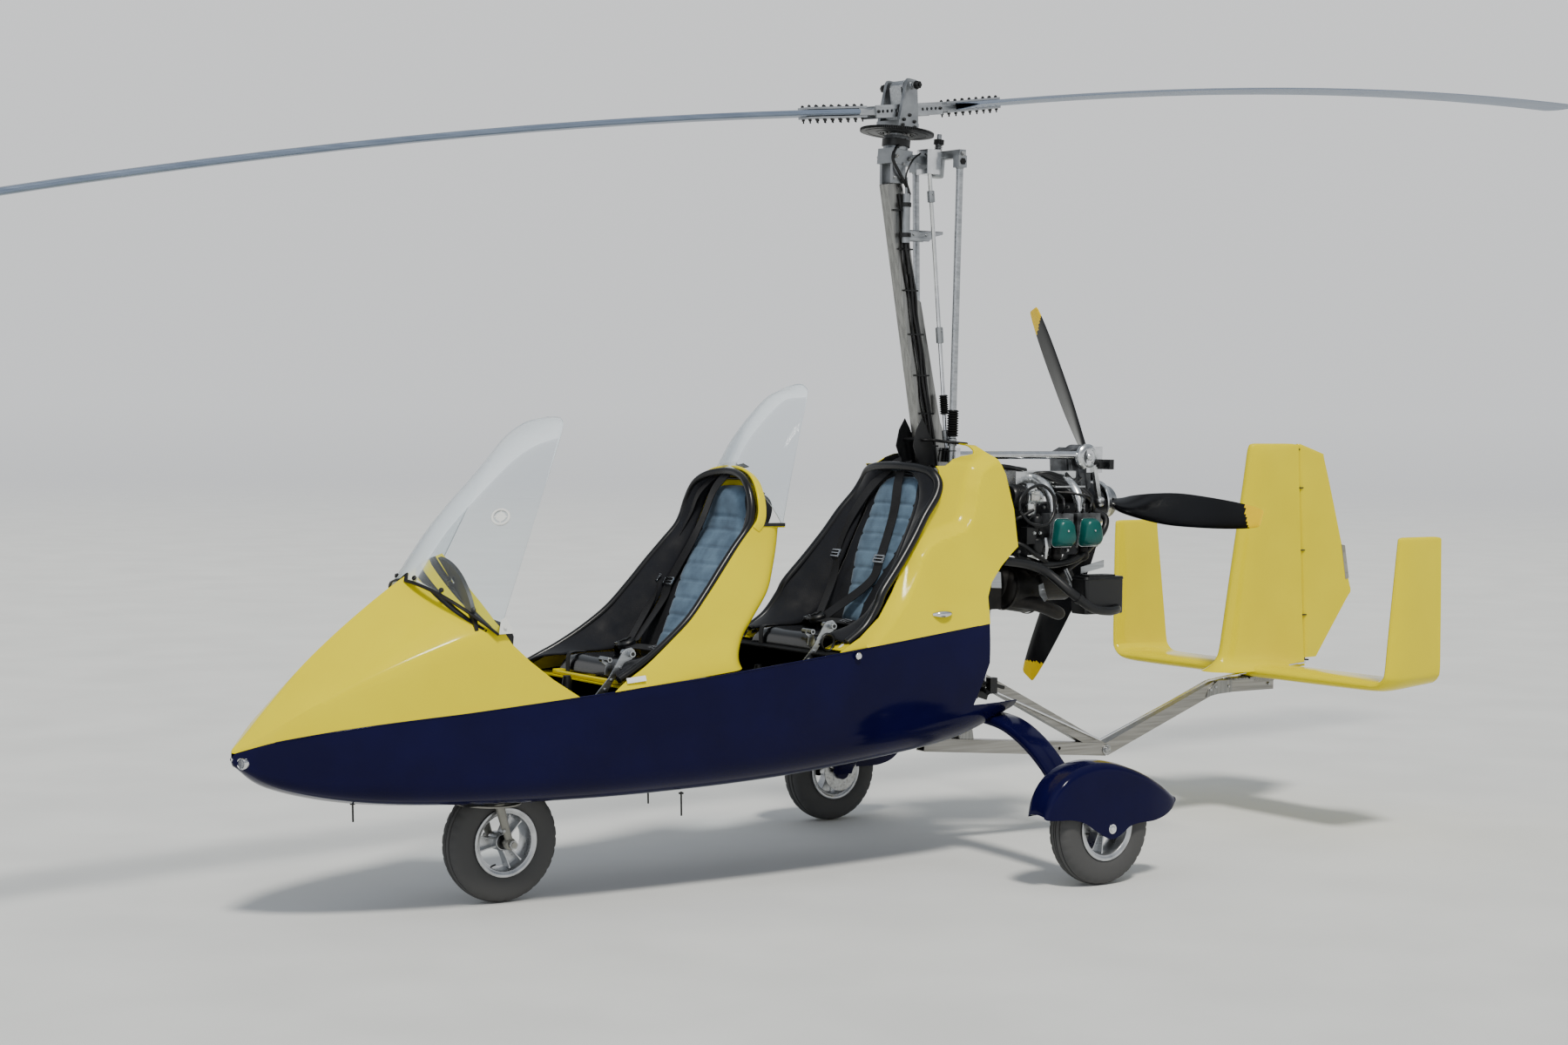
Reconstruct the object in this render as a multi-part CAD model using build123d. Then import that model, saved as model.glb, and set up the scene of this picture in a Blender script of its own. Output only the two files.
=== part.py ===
from build123d import *
import os
from math import cos, degrees, hypot, radians, sin

# Tandem two-seat gyrocopter with open cockpits. Millimetres, +X to the nose, +Y to port, +Z up.
# The origin is on the ground, under the middle of the rotor.

# Landing gear
TYRE_RADIUS = 203.0
BEAD_RADIUS = 102.0
RIM_WIDTH = 76.0
RIM_FLANGE = 114.0
HUB_RADIUS = 30.0
SPOKES = 3
AXLE_RADIUS = 10.0
AXLE_PLAY = 0.05
MAIN_AXLE_X = -303.0
HALF_TRACK = 808.0
LEG_WIDTH = 130.0
LEG_TOP = 540.0
SPAT_WALL = 4.0
SPAT_HALF = 74.0
NOSE_AXLE_X = 1629.0
STEER_X = 1690.0
KINGPIN_RADIUS = 16.0
FORK_GAP = 70.0
FORK_LEG = 13.0

# Body shell
SHELL = 5.0
SEAM = 0.25
OVERRUN = 10.0
SCREEN_THICKNESS = 4.0
SEAT_CORNER = 50.0
WELL_X = 1640.0
WELL_LENGTH = 380.0
WELL_WIDTH = 310.0
WELL_TOP = 475.0
FLOOR_Z = 430.0
FLOOR_THICKNESS = 4.0
FIREWALL_X = -117.0
FIREWALL_TOP = 1180.0
PANEL_X = 1862.0

# Seats
CUSHION_HALF = 190.0
CUSHION_DEPTH = 60.0
SOFT_GAP = 0.3

# Rotor
ROTOR_RADIUS = 4200.0
CHORD = 200.0
BLADE_DEPTH = 24.0
BLADE_WALL = 2.4
BLADE_ROOT = 250.0
PRECONE = 0.0356
DROOP_RADIUS = 29240.0
REST_HEADING = 5.45
MAST_LEAN = 5.0
REST_SLOPE = 7.2
BOLT_X = -5.0
BOLT_Z = 2832.0
BOLT_DROP = 90.0
BOLT_RADIUS = 8.0
RING_DROP = 168.0
RING_RADIUS = 136.0
CHEEK_GAP = 92.0
CHEEK_THICKNESS = 14.0

# Propeller
PROP_X = -1020.0
PROP_Z = 1304.0
PROP_RADIUS = 864.0
PROP_BLADES = 3
PROP_REST = -2.1
PROP_HUB = 62.0

# Tail
HINGE_X = -2135.0
RUDDER_GAP = 6.0
FIN_WALL = 4.0

# Mast and keel
MAST_WIDTH = 50.0
MAST_DEPTH = 70.0
TUBE_WALL = 3.0
KEEL_SIZE = 50.0

# Tub, lower hull. Columns: station x, half width at the sill, belly height, sill height.
TUB_STATIONS = (
    (2566.0, 14.0, 520.0, 560.0),
    (2450.0, 110.0, 440.0, 603.0),
    (2200.0, 215.0, 378.0, 645.0),
    (1850.0, 296.0, 348.0, 679.0),
    (1450.0, 338.0, 335.0, 716.0),
    (1050.0, 356.0, 336.0, 751.0),
    (650.0, 363.0, 350.0, 792.0),
    (250.0, 360.0, 384.0, 836.0),
    (-100.0, 345.0, 430.0, 874.0),
    (-360.0, 322.0, 520.0, 900.0),
)
TUB_REAR_CUT = ((-120.0, 590.0), (-185.0, 741.0), (-185.0, 1000.0), (-500.0, 1000.0), (-500.0, 590.0))
# Hood over the same stations. Columns: station x, ridge height.
HOOD_RIDGE = (
    (2566.0, 590.0),
    (2450.0, 752.0),
    (2200.0, 978.0),
    (1850.0, 1165.0),
    (1450.0, 1240.0),
)
HOOD_REAR_CUT = (
    (1400.0, 600.0),
    (1510.0, 706.0),
    (1690.0, 833.0),
    (1795.0, 960.0),
    (1850.0, 1180.0),
    (1850.0, 1400.0),
    (1400.0, 1400.0),
)
# Front screen. Columns: edge x, edge z, half width, middle x, middle z.
FRONT_SCREEN = (
    (1796.0, 930.0, 304.0, 2006.0, 1090.0),
    (1697.0, 1155.0, 267.0, 1853.0, 1269.0),
    (1610.0, 1352.0, 234.0, 1706.0, 1422.0),
    (1520.0, 1556.0, 200.0, 1550.0, 1572.0),
    (1440.0, 1606.0, 80.0, 1446.0, 1610.0),
)
# Rear screen, round the front seat's back. Same columns.
REAR_SCREEN = (
    (657.0, 1246.2, 230.0, 744.0, 1428.0),
    (600.0, 1440.0, 205.0, 650.0, 1580.0),
    (515.0, 1640.0, 150.0, 540.0, 1695.0),
    (440.0, 1728.0, 60.0, 446.0, 1738.0),
)
# Front seat shell. Columns: height, front x, rear x, half width.
SEAT_LEVELS = (
    (700.0, 1420.0, 900.0, 354.0),
    (800.0, 1250.0, 868.0, 325.0),
    (950.0, 1060.0, 800.0, 272.0),
    (1110.0, 900.0, 712.0, 246.0),
    (1246.0, 800.0, 650.0, 236.0),
)
# Rear cowl. Columns: station x, shoulder half width, shoulder height, top half width, top height.
COWL_STATIONS = (
    (490.0, 270.0, 1440.0, 150.0, 1538.0),
    (250.0, 265.0, 1440.0, 156.0, 1538.0),
    (-100.0, 258.0, 1438.0, 160.0, 1534.0),
    (-360.0, 250.0, 1430.0, 160.0, 1518.0),
)
COWL_FRONT_CUT = (
    (600.0, 700.0),
    (480.0, 818.0),
    (310.0, 925.0),
    (160.0, 1100.0),
    (-10.0, 1330.0),
    (-40.0, 1420.0),
    (-40.0, 1700.0),
    (600.0, 1700.0),
)
COWL_REAR_CUT = (
    (-183.0, 700.0),
    (-190.0, 979.0),
    (-270.0, 1088.0),
    (-360.0, 1156.0),
    (-320.0, 1421.0),
    (-240.0, 1520.0),
    (-240.0, 1700.0),
    (-500.0, 1700.0),
    (-500.0, 700.0),
)
# Seats. Columns: back foot x, z, back top x, z, base rear x, base front x, base top z.
SEATS = {
    "front": (1020.0, 800.0, 664.0, 1386.0, 1030.0, 1300.0, 806.0),
    "rear": (215.0, 880.0, -48.0, 1420.0, 225.0, 500.0, 866.0),
}

# Dials on the panel. Columns: y, z, radius.
DIALS = (
    (-150.0, 985.0, 40.0),
    (-50.0, 1010.0, 40.0),
    (50.0, 1010.0, 40.0),
    (150.0, 985.0, 40.0),
    (-100.0, 900.0, 32.0),
    (0.0, 905.0, 32.0),
    (100.0, 900.0, 32.0),
)

os.makedirs("parts", exist_ok=True)


def polygon(points):
    """Flat face through 3-D points."""
    return Face(Wire.make_polygon([Vector(*point) for point in points], close=True))


def side_prism(outline, y_low, y_high):
    """Outline of (x, z) points, made solid from y_low to y_high."""
    return Solid.extrude(polygon([(x, y_low, z) for x, z in outline]), Vector(0, y_high - y_low, 0))


def plan_prism(outline, z_low, z_high):
    """Outline of (x, y) points, made solid from z_low to z_high."""
    return Solid.extrude(polygon([(x, y, z_low) for x, y in outline]), Vector(0, 0, z_high - z_low))


def front_prism(outline, x_low, x_high):
    """Outline of (y, z) points, made solid from x_low to x_high."""
    return Solid.extrude(polygon([(x_low, y, z) for y, z in outline]), Vector(x_high - x_low, 0, 0))


def along(start, end):
    """Plane at start whose normal points to end, with its x axis level."""
    axis = Vector(*end) - Vector(*start)
    level = Vector(0, 0, 1).cross(axis)
    if level.length < 1e-6:
        level = Vector(0, 1, 0)
    return Plane(origin=Vector(*start), x_dir=level, z_dir=axis)


def rod(start, end, radius):
    """Round bar between two points."""
    length = (Vector(*end) - Vector(*start)).length
    return along(start, end) * Cylinder(radius, length, align=(Align.CENTER, Align.CENTER, Align.MIN))


def beam(start, end, width, depth, wall=0.0):
    """Rectangular bar or tube between two points; width is level, depth is upright."""
    length = (Vector(*end) - Vector(*start)).length
    low = (Align.CENTER, Align.CENTER, Align.MIN)
    solid = along(start, end) * Box(width, depth, length, align=low)
    if wall:
        solid -= along(start, end) * Box(width - 2 * wall, depth - 2 * wall, length, align=low)
    return solid


def both_sides(shape):
    """A port piece and its starboard twin."""
    return [shape, mirror(shape, about=Plane.XZ)]


def ring(outer, inner):
    """Thin open section: an outer and an inner run of edges, closed at both ends."""
    ends = [Edge.make_line(outer[0] @ 0, inner[0] @ 0), Edge.make_line(outer[-1] @ 1, inner[-1] @ 1)]
    return Face(Wire(outer + inner + ends))


def arcs(x, *triples):
    """Edges in the plane at x, each an arc through three (y, z) points."""
    return [Edge.make_three_point_arc(*[(x, *point) for point in triple]) for triple in triples]


def lathe_y(outline, x, y, z):
    """Outline of (radius, offset) points turned about a level axis across the aircraft."""
    face = polygon([(radius, offset, 0) for radius, offset in outline])
    return Pos(x, y, z) * revolve(face, Axis.Y)


def write(name, *shapes):
    """Writes one node; its solids stay separate."""
    flat = [solid for shape in shapes for solid in shape.solids()]
    export_step(flat[0] if len(flat) == 1 else Compound(flat), f"parts/{name}.step")


def sill_at(x):
    """Half width and height of the sill, between the tub's stations."""
    for near, far in zip(TUB_STATIONS, TUB_STATIONS[1:]):
        if far[0] <= x <= near[0]:
            share = (near[0] - x) / (near[0] - far[0])
            return (near[1] + share * (far[1] - near[1]), near[3] + share * (far[3] - near[3]))
    raise ValueError(x)


def sill_line(gap):
    """The sill as (x, z) points from nose to rear, raised by gap and run on past both ends."""
    line = [(x, sill + gap) for x, _, _, sill in TUB_STATIONS]
    return [(2700.0, line[0][1])] + line + [(-600.0, line[-1][1])]


def under_sill():
    """Everything below the sill, to trim what stands on it."""
    return side_prism(sill_line(SEAM) + [(-600.0, 0.0), (2700.0, 0.0)], -500, 500)


def hull_edges(x, half, belly, sill, inset):
    """Half-round hull: sides, bilge arcs and a slightly arched bottom."""
    w = half - inset
    low = belly + inset
    deep = sill - low
    port = [(1.01 * w, low + 0.65 * deep), (0.97 * w, low + 0.36 * deep), (0.86 * w, low + 0.15 * deep), (0.60 * w, low + 0.06 * deep)]
    star = [(-y, z) for y, z in port]
    return arcs(
        x,
        ((w, sill), port[0], port[1]),
        (port[1], port[2], port[3]),
        (port[3], (0, low), star[3]),
        (star[3], star[2], star[1]),
        (star[1], star[0], (-w, sill)),
    )


def hood_edges(x, ridge, inset):
    """Arch over the sill: leaning sides and one crown arc."""
    half, sill = sill_at(x)
    sill -= OVERRUN
    rise = ridge - sill
    port = [(half - inset, sill), (0.99 * half - inset, sill + 0.25 * rise), (0.96 * half - inset, sill + 0.5 * rise)]
    star = [(-y, z) for y, z in port]
    return arcs(x, port, (port[2], (0, ridge - inset), star[2]), (star[2], star[1], star[0]))


def cowl_edges(x, shoulder, shoulder_z, top, top_z, inset):
    """Arch over the sill: hollow sides, rounded shoulders and a nearly flat top."""
    half, sill = sill_at(max(x, TUB_STATIONS[-1][0]))
    sill -= OVERRUN
    mid_z = 0.5 * (sill + shoulder_z)
    mid = 0.5 * (half + shoulder) - 6
    port = [(half - inset, sill), (mid - inset, mid_z), (shoulder - inset, shoulder_z)]
    bend = (0.5 * (shoulder + top) + 22 - inset, 0.5 * (shoulder_z + top_z) + 18 - inset)
    crest = (top, top_z - inset)
    star = [(-y, z) for y, z in port]
    return arcs(
        x,
        port,
        (port[2], bend, crest),
        (crest, (0, top_z + 10 - inset), (-crest[0], crest[1])),
        ((-crest[0], crest[1]), (-bend[0], bend[1]), star[2]),
        (star[2], star[1], star[0]),
    )


def nose_cap(edges):
    """Flat plug that closes the blunt tip of a shell."""
    cap = Face(Wire(edges + [Edge.make_line(edges[-1] @ 1, edges[0] @ 0)]))
    return Solid.extrude(cap, Vector(-SHELL, 0, 0))


def tub_rows():
    """Tub stations with their sides run on above the sill, to be trimmed to it."""
    return [(x, half, belly, sill + OVERRUN) for x, half, belly, sill in TUB_STATIONS]


def make_tub():
    rows = tub_rows()
    shell = loft([ring(hull_edges(*row, 0.0), hull_edges(*row, SHELL)) for row in rows])
    shell += nose_cap(hull_edges(*rows[0], 0.0))
    shell -= side_prism(sill_line(0.0) + [(-600.0, 1500.0), (2700.0, 1500.0)], -500, 500)
    shell -= side_prism(TUB_REAR_CUT, -500, 500)
    leg_front = MAIN_AXLE_X + 0.5 * LEG_WIDTH + 0.3
    shell -= Pos(leg_front - 200, 0, LEG_TOP + 0.3 - 100) * Box(400, 900, 200)
    shell -= Pos(leg_front - 200, 0, LEG_TOP) * Box(400, MAST_WIDTH + 30, 200)
    return shell - Pos(WELL_X, 0, 340) * Box(WELL_LENGTH, WELL_WIDTH, 100)


def filled(section_edges, rows, inset):
    """Solid inside a body shell, closed across its open side at every station."""
    faces = []
    for row in rows:
        edges = section_edges(*row, inset)
        faces.append(Face(Wire(edges + [Edge.make_line(edges[-1] @ 1, edges[0] @ 0)])))
    return loft(faces)


def hull_room():
    """Solid that fills the tub inside its skin, just clear of it."""
    return filled(hull_edges, tub_rows(), SHELL + 0.2)


def make_hood():
    shell = loft([ring(hood_edges(*row, 0.0), hood_edges(*row, SHELL)) for row in HOOD_RIDGE])
    shell += nose_cap(hood_edges(*HOOD_RIDGE[0], 0.0))
    return shell - side_prism(HOOD_REAR_CUT, -500, 500) - under_sill()


def screen_section(edge_x, edge_z, half, mid_x, mid_z):
    """Crescent of clear sheet, one sheet thick."""
    share = SCREEN_THICKNESS / hypot(mid_x - edge_x, mid_z - edge_z)
    inner_x = mid_x - share * (mid_x - edge_x)
    inner_z = mid_z - share * (mid_z - edge_z)
    rim = half - SCREEN_THICKNESS
    outer = Edge.make_three_point_arc((edge_x, half, edge_z), (mid_x, 0, mid_z), (edge_x, -half, edge_z))
    inner = Edge.make_three_point_arc((edge_x, rim, edge_z), (inner_x, 0, inner_z), (edge_x, -rim, edge_z))
    return ring([outer], [inner])


def make_screen(rows):
    return loft([screen_section(*row) for row in rows])


def make_front_screen():
    """Front screen, trimmed to stand on the hood."""
    return make_screen(FRONT_SCREEN) - filled(hood_edges, HOOD_RIDGE, -0.2)


def seat_edges(z, front, rear, half, inset):
    """U of the seat shell at one height: two side walls and the rear wall."""
    w = half - inset
    back = rear + inset
    r = SEAT_CORNER - inset
    k = r * (1 - cos(radians(45)))
    return [
        Edge.make_line((front, w, z), (back + r, w, z)),
        Edge.make_three_point_arc((back + r, w, z), (back + k, w - k, z), (back, w - r, z)),
        Edge.make_line((back, w - r, z), (back, r - w, z)),
        Edge.make_three_point_arc((back, r - w, z), (back + k, k - w, z), (back + r, -w, z)),
        Edge.make_line((back + r, -w, z), (front, -w, z)),
    ]


def slab(low, high, half_low, half_high, depth, offset=0.0, crown=0.0):
    """Sloping slab behind the line from low to high (x, z); its top corners may be rounded."""
    up = Vector(high[0] - low[0], 0, high[1] - low[1])
    back = Vector(0, 1, 0).cross(up).normalized()
    if back.X > 0:
        back = back * -1
    plane = Plane(origin=Vector(low[0], 0, low[1]) + back * offset, x_dir=up, z_dir=back)
    outline = make_face(
        Polyline((0, -half_low), (up.length, -half_high), (up.length, half_high), (0, half_low), close=True)
    )
    if crown:
        outline = fillet(outline.vertices().sort_by(Axis.X)[-2:], crown)
    return plane * extrude(outline, amount=depth)


def seat_line(seat, below, above):
    """Ends (x, z) of a seat back's front line, run on past its foot and its top."""
    foot_x, foot_z, top_x, top_z = SEATS[seat][:4]
    length = hypot(top_x - foot_x, top_z - foot_z)
    ux, uz = (top_x - foot_x) / length, (top_z - foot_z) / length
    return (foot_x - below * ux, foot_z - below * uz), (top_x + above * ux, top_z + above * uz)


def seat_back(seat, half_low, half_high, crown):
    """Panel behind a seat's back cushion, ending on the seat pan."""
    foot_x, base_z = SEATS[seat][0], SEATS[seat][6]
    pan_low = base_z - CUSHION_DEPTH - SOFT_GAP - SHELL
    ends = seat_line(seat, 60, 14)
    back = slab(*ends, half_low, half_high, SHELL, CUSHION_DEPTH + SOFT_GAP, crown)
    return back - Pos(foot_x, 0, pan_low - 100) * Box(600, 800, 200)


def make_front_seat_shell():
    shell = loft([ring(seat_edges(*row, 0.0), seat_edges(*row, SHELL)) for row in SEAT_LEVELS])
    shell -= under_sill()
    base_rear, base_front, base_z = SEATS["front"][4:]
    shelf = plan_prism(((800, 236), (652, 236), (652, -236), (800, -236)), 1246 - SHELL, 1246)
    shelf -= slab(*seat_line("front", 0, 0), CUSHION_HALF + 1, CUSHION_HALF - 19, CUSHION_DEPTH + SOFT_GAP + 60, -60)
    pan_low = base_z - CUSHION_DEPTH - SOFT_GAP - SHELL
    pan = plan_prism(
        ((base_front + 40, 338), (base_rear - 120, 300), (base_rear - 120, -300), (base_front + 40, -338)),
        pan_low,
        pan_low + SHELL,
    )
    return shell + seat_back("front", 232, 150, 90) + shelf + pan


def make_rear_cowl():
    shell = loft([ring(cowl_edges(*row, 0.0), cowl_edges(*row, SHELL)) for row in COWL_STATIONS])
    shell -= side_prism(COWL_FRONT_CUT, -500, 500)
    shell -= side_prism(COWL_REAR_CUT, -500, 500)
    slot = ((-85, 66), (-125, 66), (-150, 124), (-400, 124), (-400, -124), (-150, -124), (-125, -66), (-85, -66))
    return shell - plan_prism(slot, 1400, 1700) - under_sill()


def make_rear_seat_pan():
    base_rear, base_front, base_z = SEATS["rear"][4:]
    pan_low = base_z - CUSHION_DEPTH - SOFT_GAP - SHELL
    sheet = plan_prism(
        ((base_front + 60, 400), (base_rear - 120, 400), (base_rear - 120, -400), (base_front + 60, -400)),
        pan_low,
        pan_low + SHELL,
    )
    return (sheet & hull_room()) + seat_back("rear", 225, 190, 60)


def make_cushions(seat):
    """Base cushion and backrest of one seat."""
    foot_x = SEATS[seat][0]
    base_rear, base_front, base_z = SEATS[seat][4:]
    base = Box(base_front - base_rear, 2 * CUSHION_HALF, CUSHION_DEPTH)
    base = Pos(0.5 * (base_rear + base_front), 0, base_z - 0.5 * CUSHION_DEPTH) * base
    back = slab(*seat_line(seat, 0, 0), CUSHION_HALF, CUSHION_HALF - 20, CUSHION_DEPTH, 0.0, 80)
    back -= Pos(foot_x, 0, base_z + SOFT_GAP - 150) * Box(600, 800, 300)
    return fillet(base.edges(), 18), back


def make_tyre(x, y):
    outline = (
        (BEAD_RADIUS, -34), (118, -40), (150, -50), (176, -48), (192, -40), (201, -24), (TYRE_RADIUS, 0),
        (201, 24), (192, 40), (176, 48), (150, 50), (118, 40), (BEAD_RADIUS, 34),
    )
    return lathe_y(outline, x, y, TYRE_RADIUS)


def make_rim(x, y, side):
    """Cast rim: barrel with flanges, hub and twin-rib spokes; side is the outboard direction."""
    seat = BEAD_RADIUS - SEAM
    half = 0.5 * RIM_WIDTH
    lip = half + 7
    barrel = (
        (seat, -half), (RIM_FLANGE, -half - 3), (RIM_FLANGE, -lip), (RIM_FLANGE - 18, -lip), (88, -half),
        (88, half), (RIM_FLANGE - 18, lip), (RIM_FLANGE, lip), (RIM_FLANGE, half + 3), (seat, half),
    )
    rim = lathe_y(barrel, x, y, TYRE_RADIUS)
    hub = lathe_y(((AXLE_RADIUS + AXLE_PLAY, -36), (HUB_RADIUS, -36), (HUB_RADIUS, 36), (AXLE_RADIUS + AXLE_PLAY, 36)), x, y, TYRE_RADIUS)
    rim += hub
    for index in range(SPOKES):
        for shift in (-15, 15):
            rib = Pos(shift, side * 8, 0.5 * (90 + HUB_RADIUS - 8)) * Box(8, 34, 90 - HUB_RADIUS + 8)
            rim += Pos(x, y, TYRE_RADIUS) * Rot(0, 20 + 360 / SPOKES * index, 0) * rib
        web = Pos(0, side * -2, 0.5 * (90 + HUB_RADIUS - 8)) * Box(30, 8, 90 - HUB_RADIUS + 8)
        rim += Pos(x, y, TYRE_RADIUS) * Rot(0, 20 + 360 / SPOKES * index, 0) * web
    return rim


def make_main_leg():
    """Bow leg: level centre and two falling ends, cut from one front outline."""
    top = [(0, LEG_TOP), (240, LEG_TOP), (420, 496), (600, 392), (705, 262), (722, 222)]
    low = [(722, 184), (690, 184), (676, 246), (578, 360), (405, 460), (236, 506), (0, 506)]
    outline = top + low
    whole = outline + [(-y, z) for y, z in reversed(outline[1:-1])]
    leg = front_prism(whole, MAIN_AXLE_X - 0.5 * LEG_WIDTH, MAIN_AXLE_X + 0.5 * LEG_WIDTH)
    for axle in both_sides(rod((MAIN_AXLE_X, 700, TYRE_RADIUS), (MAIN_AXLE_X, HALF_TRACK + SPAT_HALF + 8, TYRE_RADIUS), AXLE_RADIUS)):
        leg += axle
    return leg - mast_bar(0.2)


def make_spat():
    """Port wheel spat: teardrop cover open underneath, with a lobe down to the axle bolt."""
    y_in = HALF_TRACK - SPAT_HALF
    y_out = HALF_TRACK + SPAT_HALF
    outline = [(-20, 262), (-28, 300), (-70, 368), (-150, 418), (-250, 436), (-340, 424), (-430, 396), (-540, 340), (-632, 290), (-640, 280), (-600, 240), (-560, 222)]
    inner = [(-24 - SPAT_WALL, 240), (-32 - SPAT_WALL, 298), (-76, 362), (-152, 411), (-250, 429), (-338, 417), (-426, 389), (-536, 333), (-600, 298), (-600, 200)]
    shell = side_prism(outline, y_in, y_out)
    edges = shell.edges().filter_by(lambda edge: abs(edge.tangent_at(0.5).Y) < 0.1 and edge.center().Z > 290)
    shell = fillet(edges, 26)
    shell -= side_prism(inner, y_in + SPAT_WALL, y_out - SPAT_WALL)
    lobe = side_prism(((-215, 300), (-262, 215), (-285, 172), (-318, 164), (-348, 186), (-372, 260), (-385, 300)), y_out - SPAT_WALL - 6, y_out)
    shell += lobe
    return shell - rod((MAIN_AXLE_X, y_out - 60, TYRE_RADIUS), (MAIN_AXLE_X, y_out + 20, TYRE_RADIUS), AXLE_RADIUS + SEAM)


def make_nose_fork():
    """Kingpin, crown and two legs of tapered tube to the axle."""
    top = 455.0
    crown_z = 418.0
    fork = rod((STEER_X, 0, crown_z), (STEER_X, 0, top + 60), KINGPIN_RADIUS)
    fork += Pos(STEER_X, 0, crown_z + 4) * Box(60, 2 * FORK_GAP + 26, 16)
    for side in (1, -1):
        fork += rod((STEER_X, side * FORK_GAP, crown_z + 4), (NOSE_AXLE_X, side * FORK_GAP, TYRE_RADIUS), FORK_LEG)
        fork += rod((NOSE_AXLE_X, side * (FORK_GAP - 10), TYRE_RADIUS), (NOSE_AXLE_X, side * (FORK_GAP + 14), TYRE_RADIUS), 18)
    reach = FORK_GAP + 34
    return fork + rod((NOSE_AXLE_X, -reach, TYRE_RADIUS), (NOSE_AXLE_X, reach, TYRE_RADIUS), AXLE_RADIUS)


MAST_TOP = (36.0, 0.0, 2480.0)
MAST_FOOT = (-343.3, 0.0, 392.0)
KEEL_FRONT = (-140.0, 0.0, 408.0)
KEEL_NODE = (-1043.0, 0.0, 330.0)
BOOM_KNEE = (-1628.0, 0.0, 545.0)
BOOM_END = (-1960.0, 0.0, 545.0)
STRUT_TOP = (-318.0, 0.0, 690.0)
TIE_DOWN = (-800.0, 351.0)
TIE_DOWN_RADIUS = 6.5


def mast_at(z):
    """X of the mast's middle line at height z."""
    share = (z - MAST_FOOT[2]) / (MAST_TOP[2] - MAST_FOOT[2])
    return MAST_FOOT[0] + share * (MAST_TOP[0] - MAST_FOOT[0])


def mast_bar(gap):
    """Solid of the mast's outside, grown by gap, to cut what the mast passes through."""
    return beam(MAST_FOOT, MAST_TOP, MAST_WIDTH + 2 * gap, MAST_DEPTH + 2 * gap)


def make_mast():
    """Rectangular mast tube standing on the keel."""
    tube = beam(MAST_FOOT, MAST_TOP, MAST_WIDTH, MAST_DEPTH, TUBE_WALL)
    return tube - beam(KEEL_FRONT, KEEL_NODE, KEEL_SIZE + 4, KEEL_SIZE + 0.4)


def rear_leg_outline():
    """Side outline of the mast's rear leg, from the mast's rear face aft."""
    x_top = mast_at(2060) - 35.8
    return (
        (x_top, 2060),
        (x_top - 22, 2052),
        (-196, 1610),
        (-300, 1390),
        (-296, 1330),
        (mast_at(1330) - 35.8, 1330),
    )


def make_rear_leg():
    """Tapered second leg of the mast, running down and aft to the engine mount."""
    return side_prism(rear_leg_outline(), -20, 20)


def make_keel():
    keel = beam(KEEL_FRONT, KEEL_NODE, KEEL_SIZE, KEEL_SIZE, TUBE_WALL)
    strut = beam(STRUT_TOP, KEEL_NODE, KEEL_SIZE - 10, KEEL_SIZE - 6, TUBE_WALL) - mast_bar(0.2)
    boom = beam(KEEL_NODE, BOOM_KNEE, KEEL_SIZE, KEEL_SIZE, TUBE_WALL) + beam(BOOM_KNEE, BOOM_END, KEEL_SIZE, KEEL_SIZE, TUBE_WALL)
    keel -= rod((TIE_DOWN[0], -60, TIE_DOWN[1]), (TIE_DOWN[0], 60, TIE_DOWN[1]), TIE_DOWN_RADIUS)
    return keel + strut + boom


def fin_section(place, lead, trail, thick, rear, inset=0.0):
    """Aerofoil-like section: round nose, bowed sides, flat rear; place maps (along, across) to 3-D."""
    nose = lead - inset
    tail = trail + inset
    half = 0.5 * thick - inset
    stop = 0.5 * rear - inset
    shoulder = nose - 0.6 * half
    middle = nose + 0.4 * (tail - nose)
    return Face(Wire([
        Edge.make_three_point_arc(place(tail, stop), place(middle, half), place(shoulder, 0.72 * half)),
        Edge.make_three_point_arc(place(shoulder, 0.72 * half), place(nose, 0), place(shoulder, -0.72 * half)),
        Edge.make_three_point_arc(place(shoulder, -0.72 * half), place(middle, -half), place(tail, -stop)),
        Edge.make_line(place(tail, -stop), place(tail, stop)),
    ]))


# Centre fin. Columns: height, leading x, hinge x.
FIN_LEVELS = ((620.0, -1655.0, -2165.0), (700.0, -1676.0, -2160.0), (1518.0, -1817.0, -2108.0))
FIN_THICK = 70.0
FIN_REAR = 36.0
# Rudder. Columns: height, trailing x.
RUDDER_LEVELS = ((640.0, -2232.0), (911.0, -2434.0), (1500.0, -2258.0))
# End fins, port. Columns: height, y, leading x, trailing x.
END_FIN_LEVELS = ((600.0, 764.0, -1800.0, -2096.0), (660.0, 772.0, -1795.0, -2104.0), (1180.0, 799.0, -1820.0, -2061.0))
END_FIN_THICK = 42.0
PLANE_Z = 602.0
PLANE_THICK = 56.0
PLANE_LEAD = -1790.0
PLANE_TRAIL = -2108.0


def hinge_at(z):
    """X of the rudder's hinge line at height z."""
    low, high = FIN_LEVELS[0], FIN_LEVELS[-1]
    return low[2] + (z - low[0]) / (high[0] - low[0]) * (high[2] - low[2])


RUDDER_NOSE = 15.0
HINGE_PIN = 4.0
NOTCH_X = -2138.8


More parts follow.
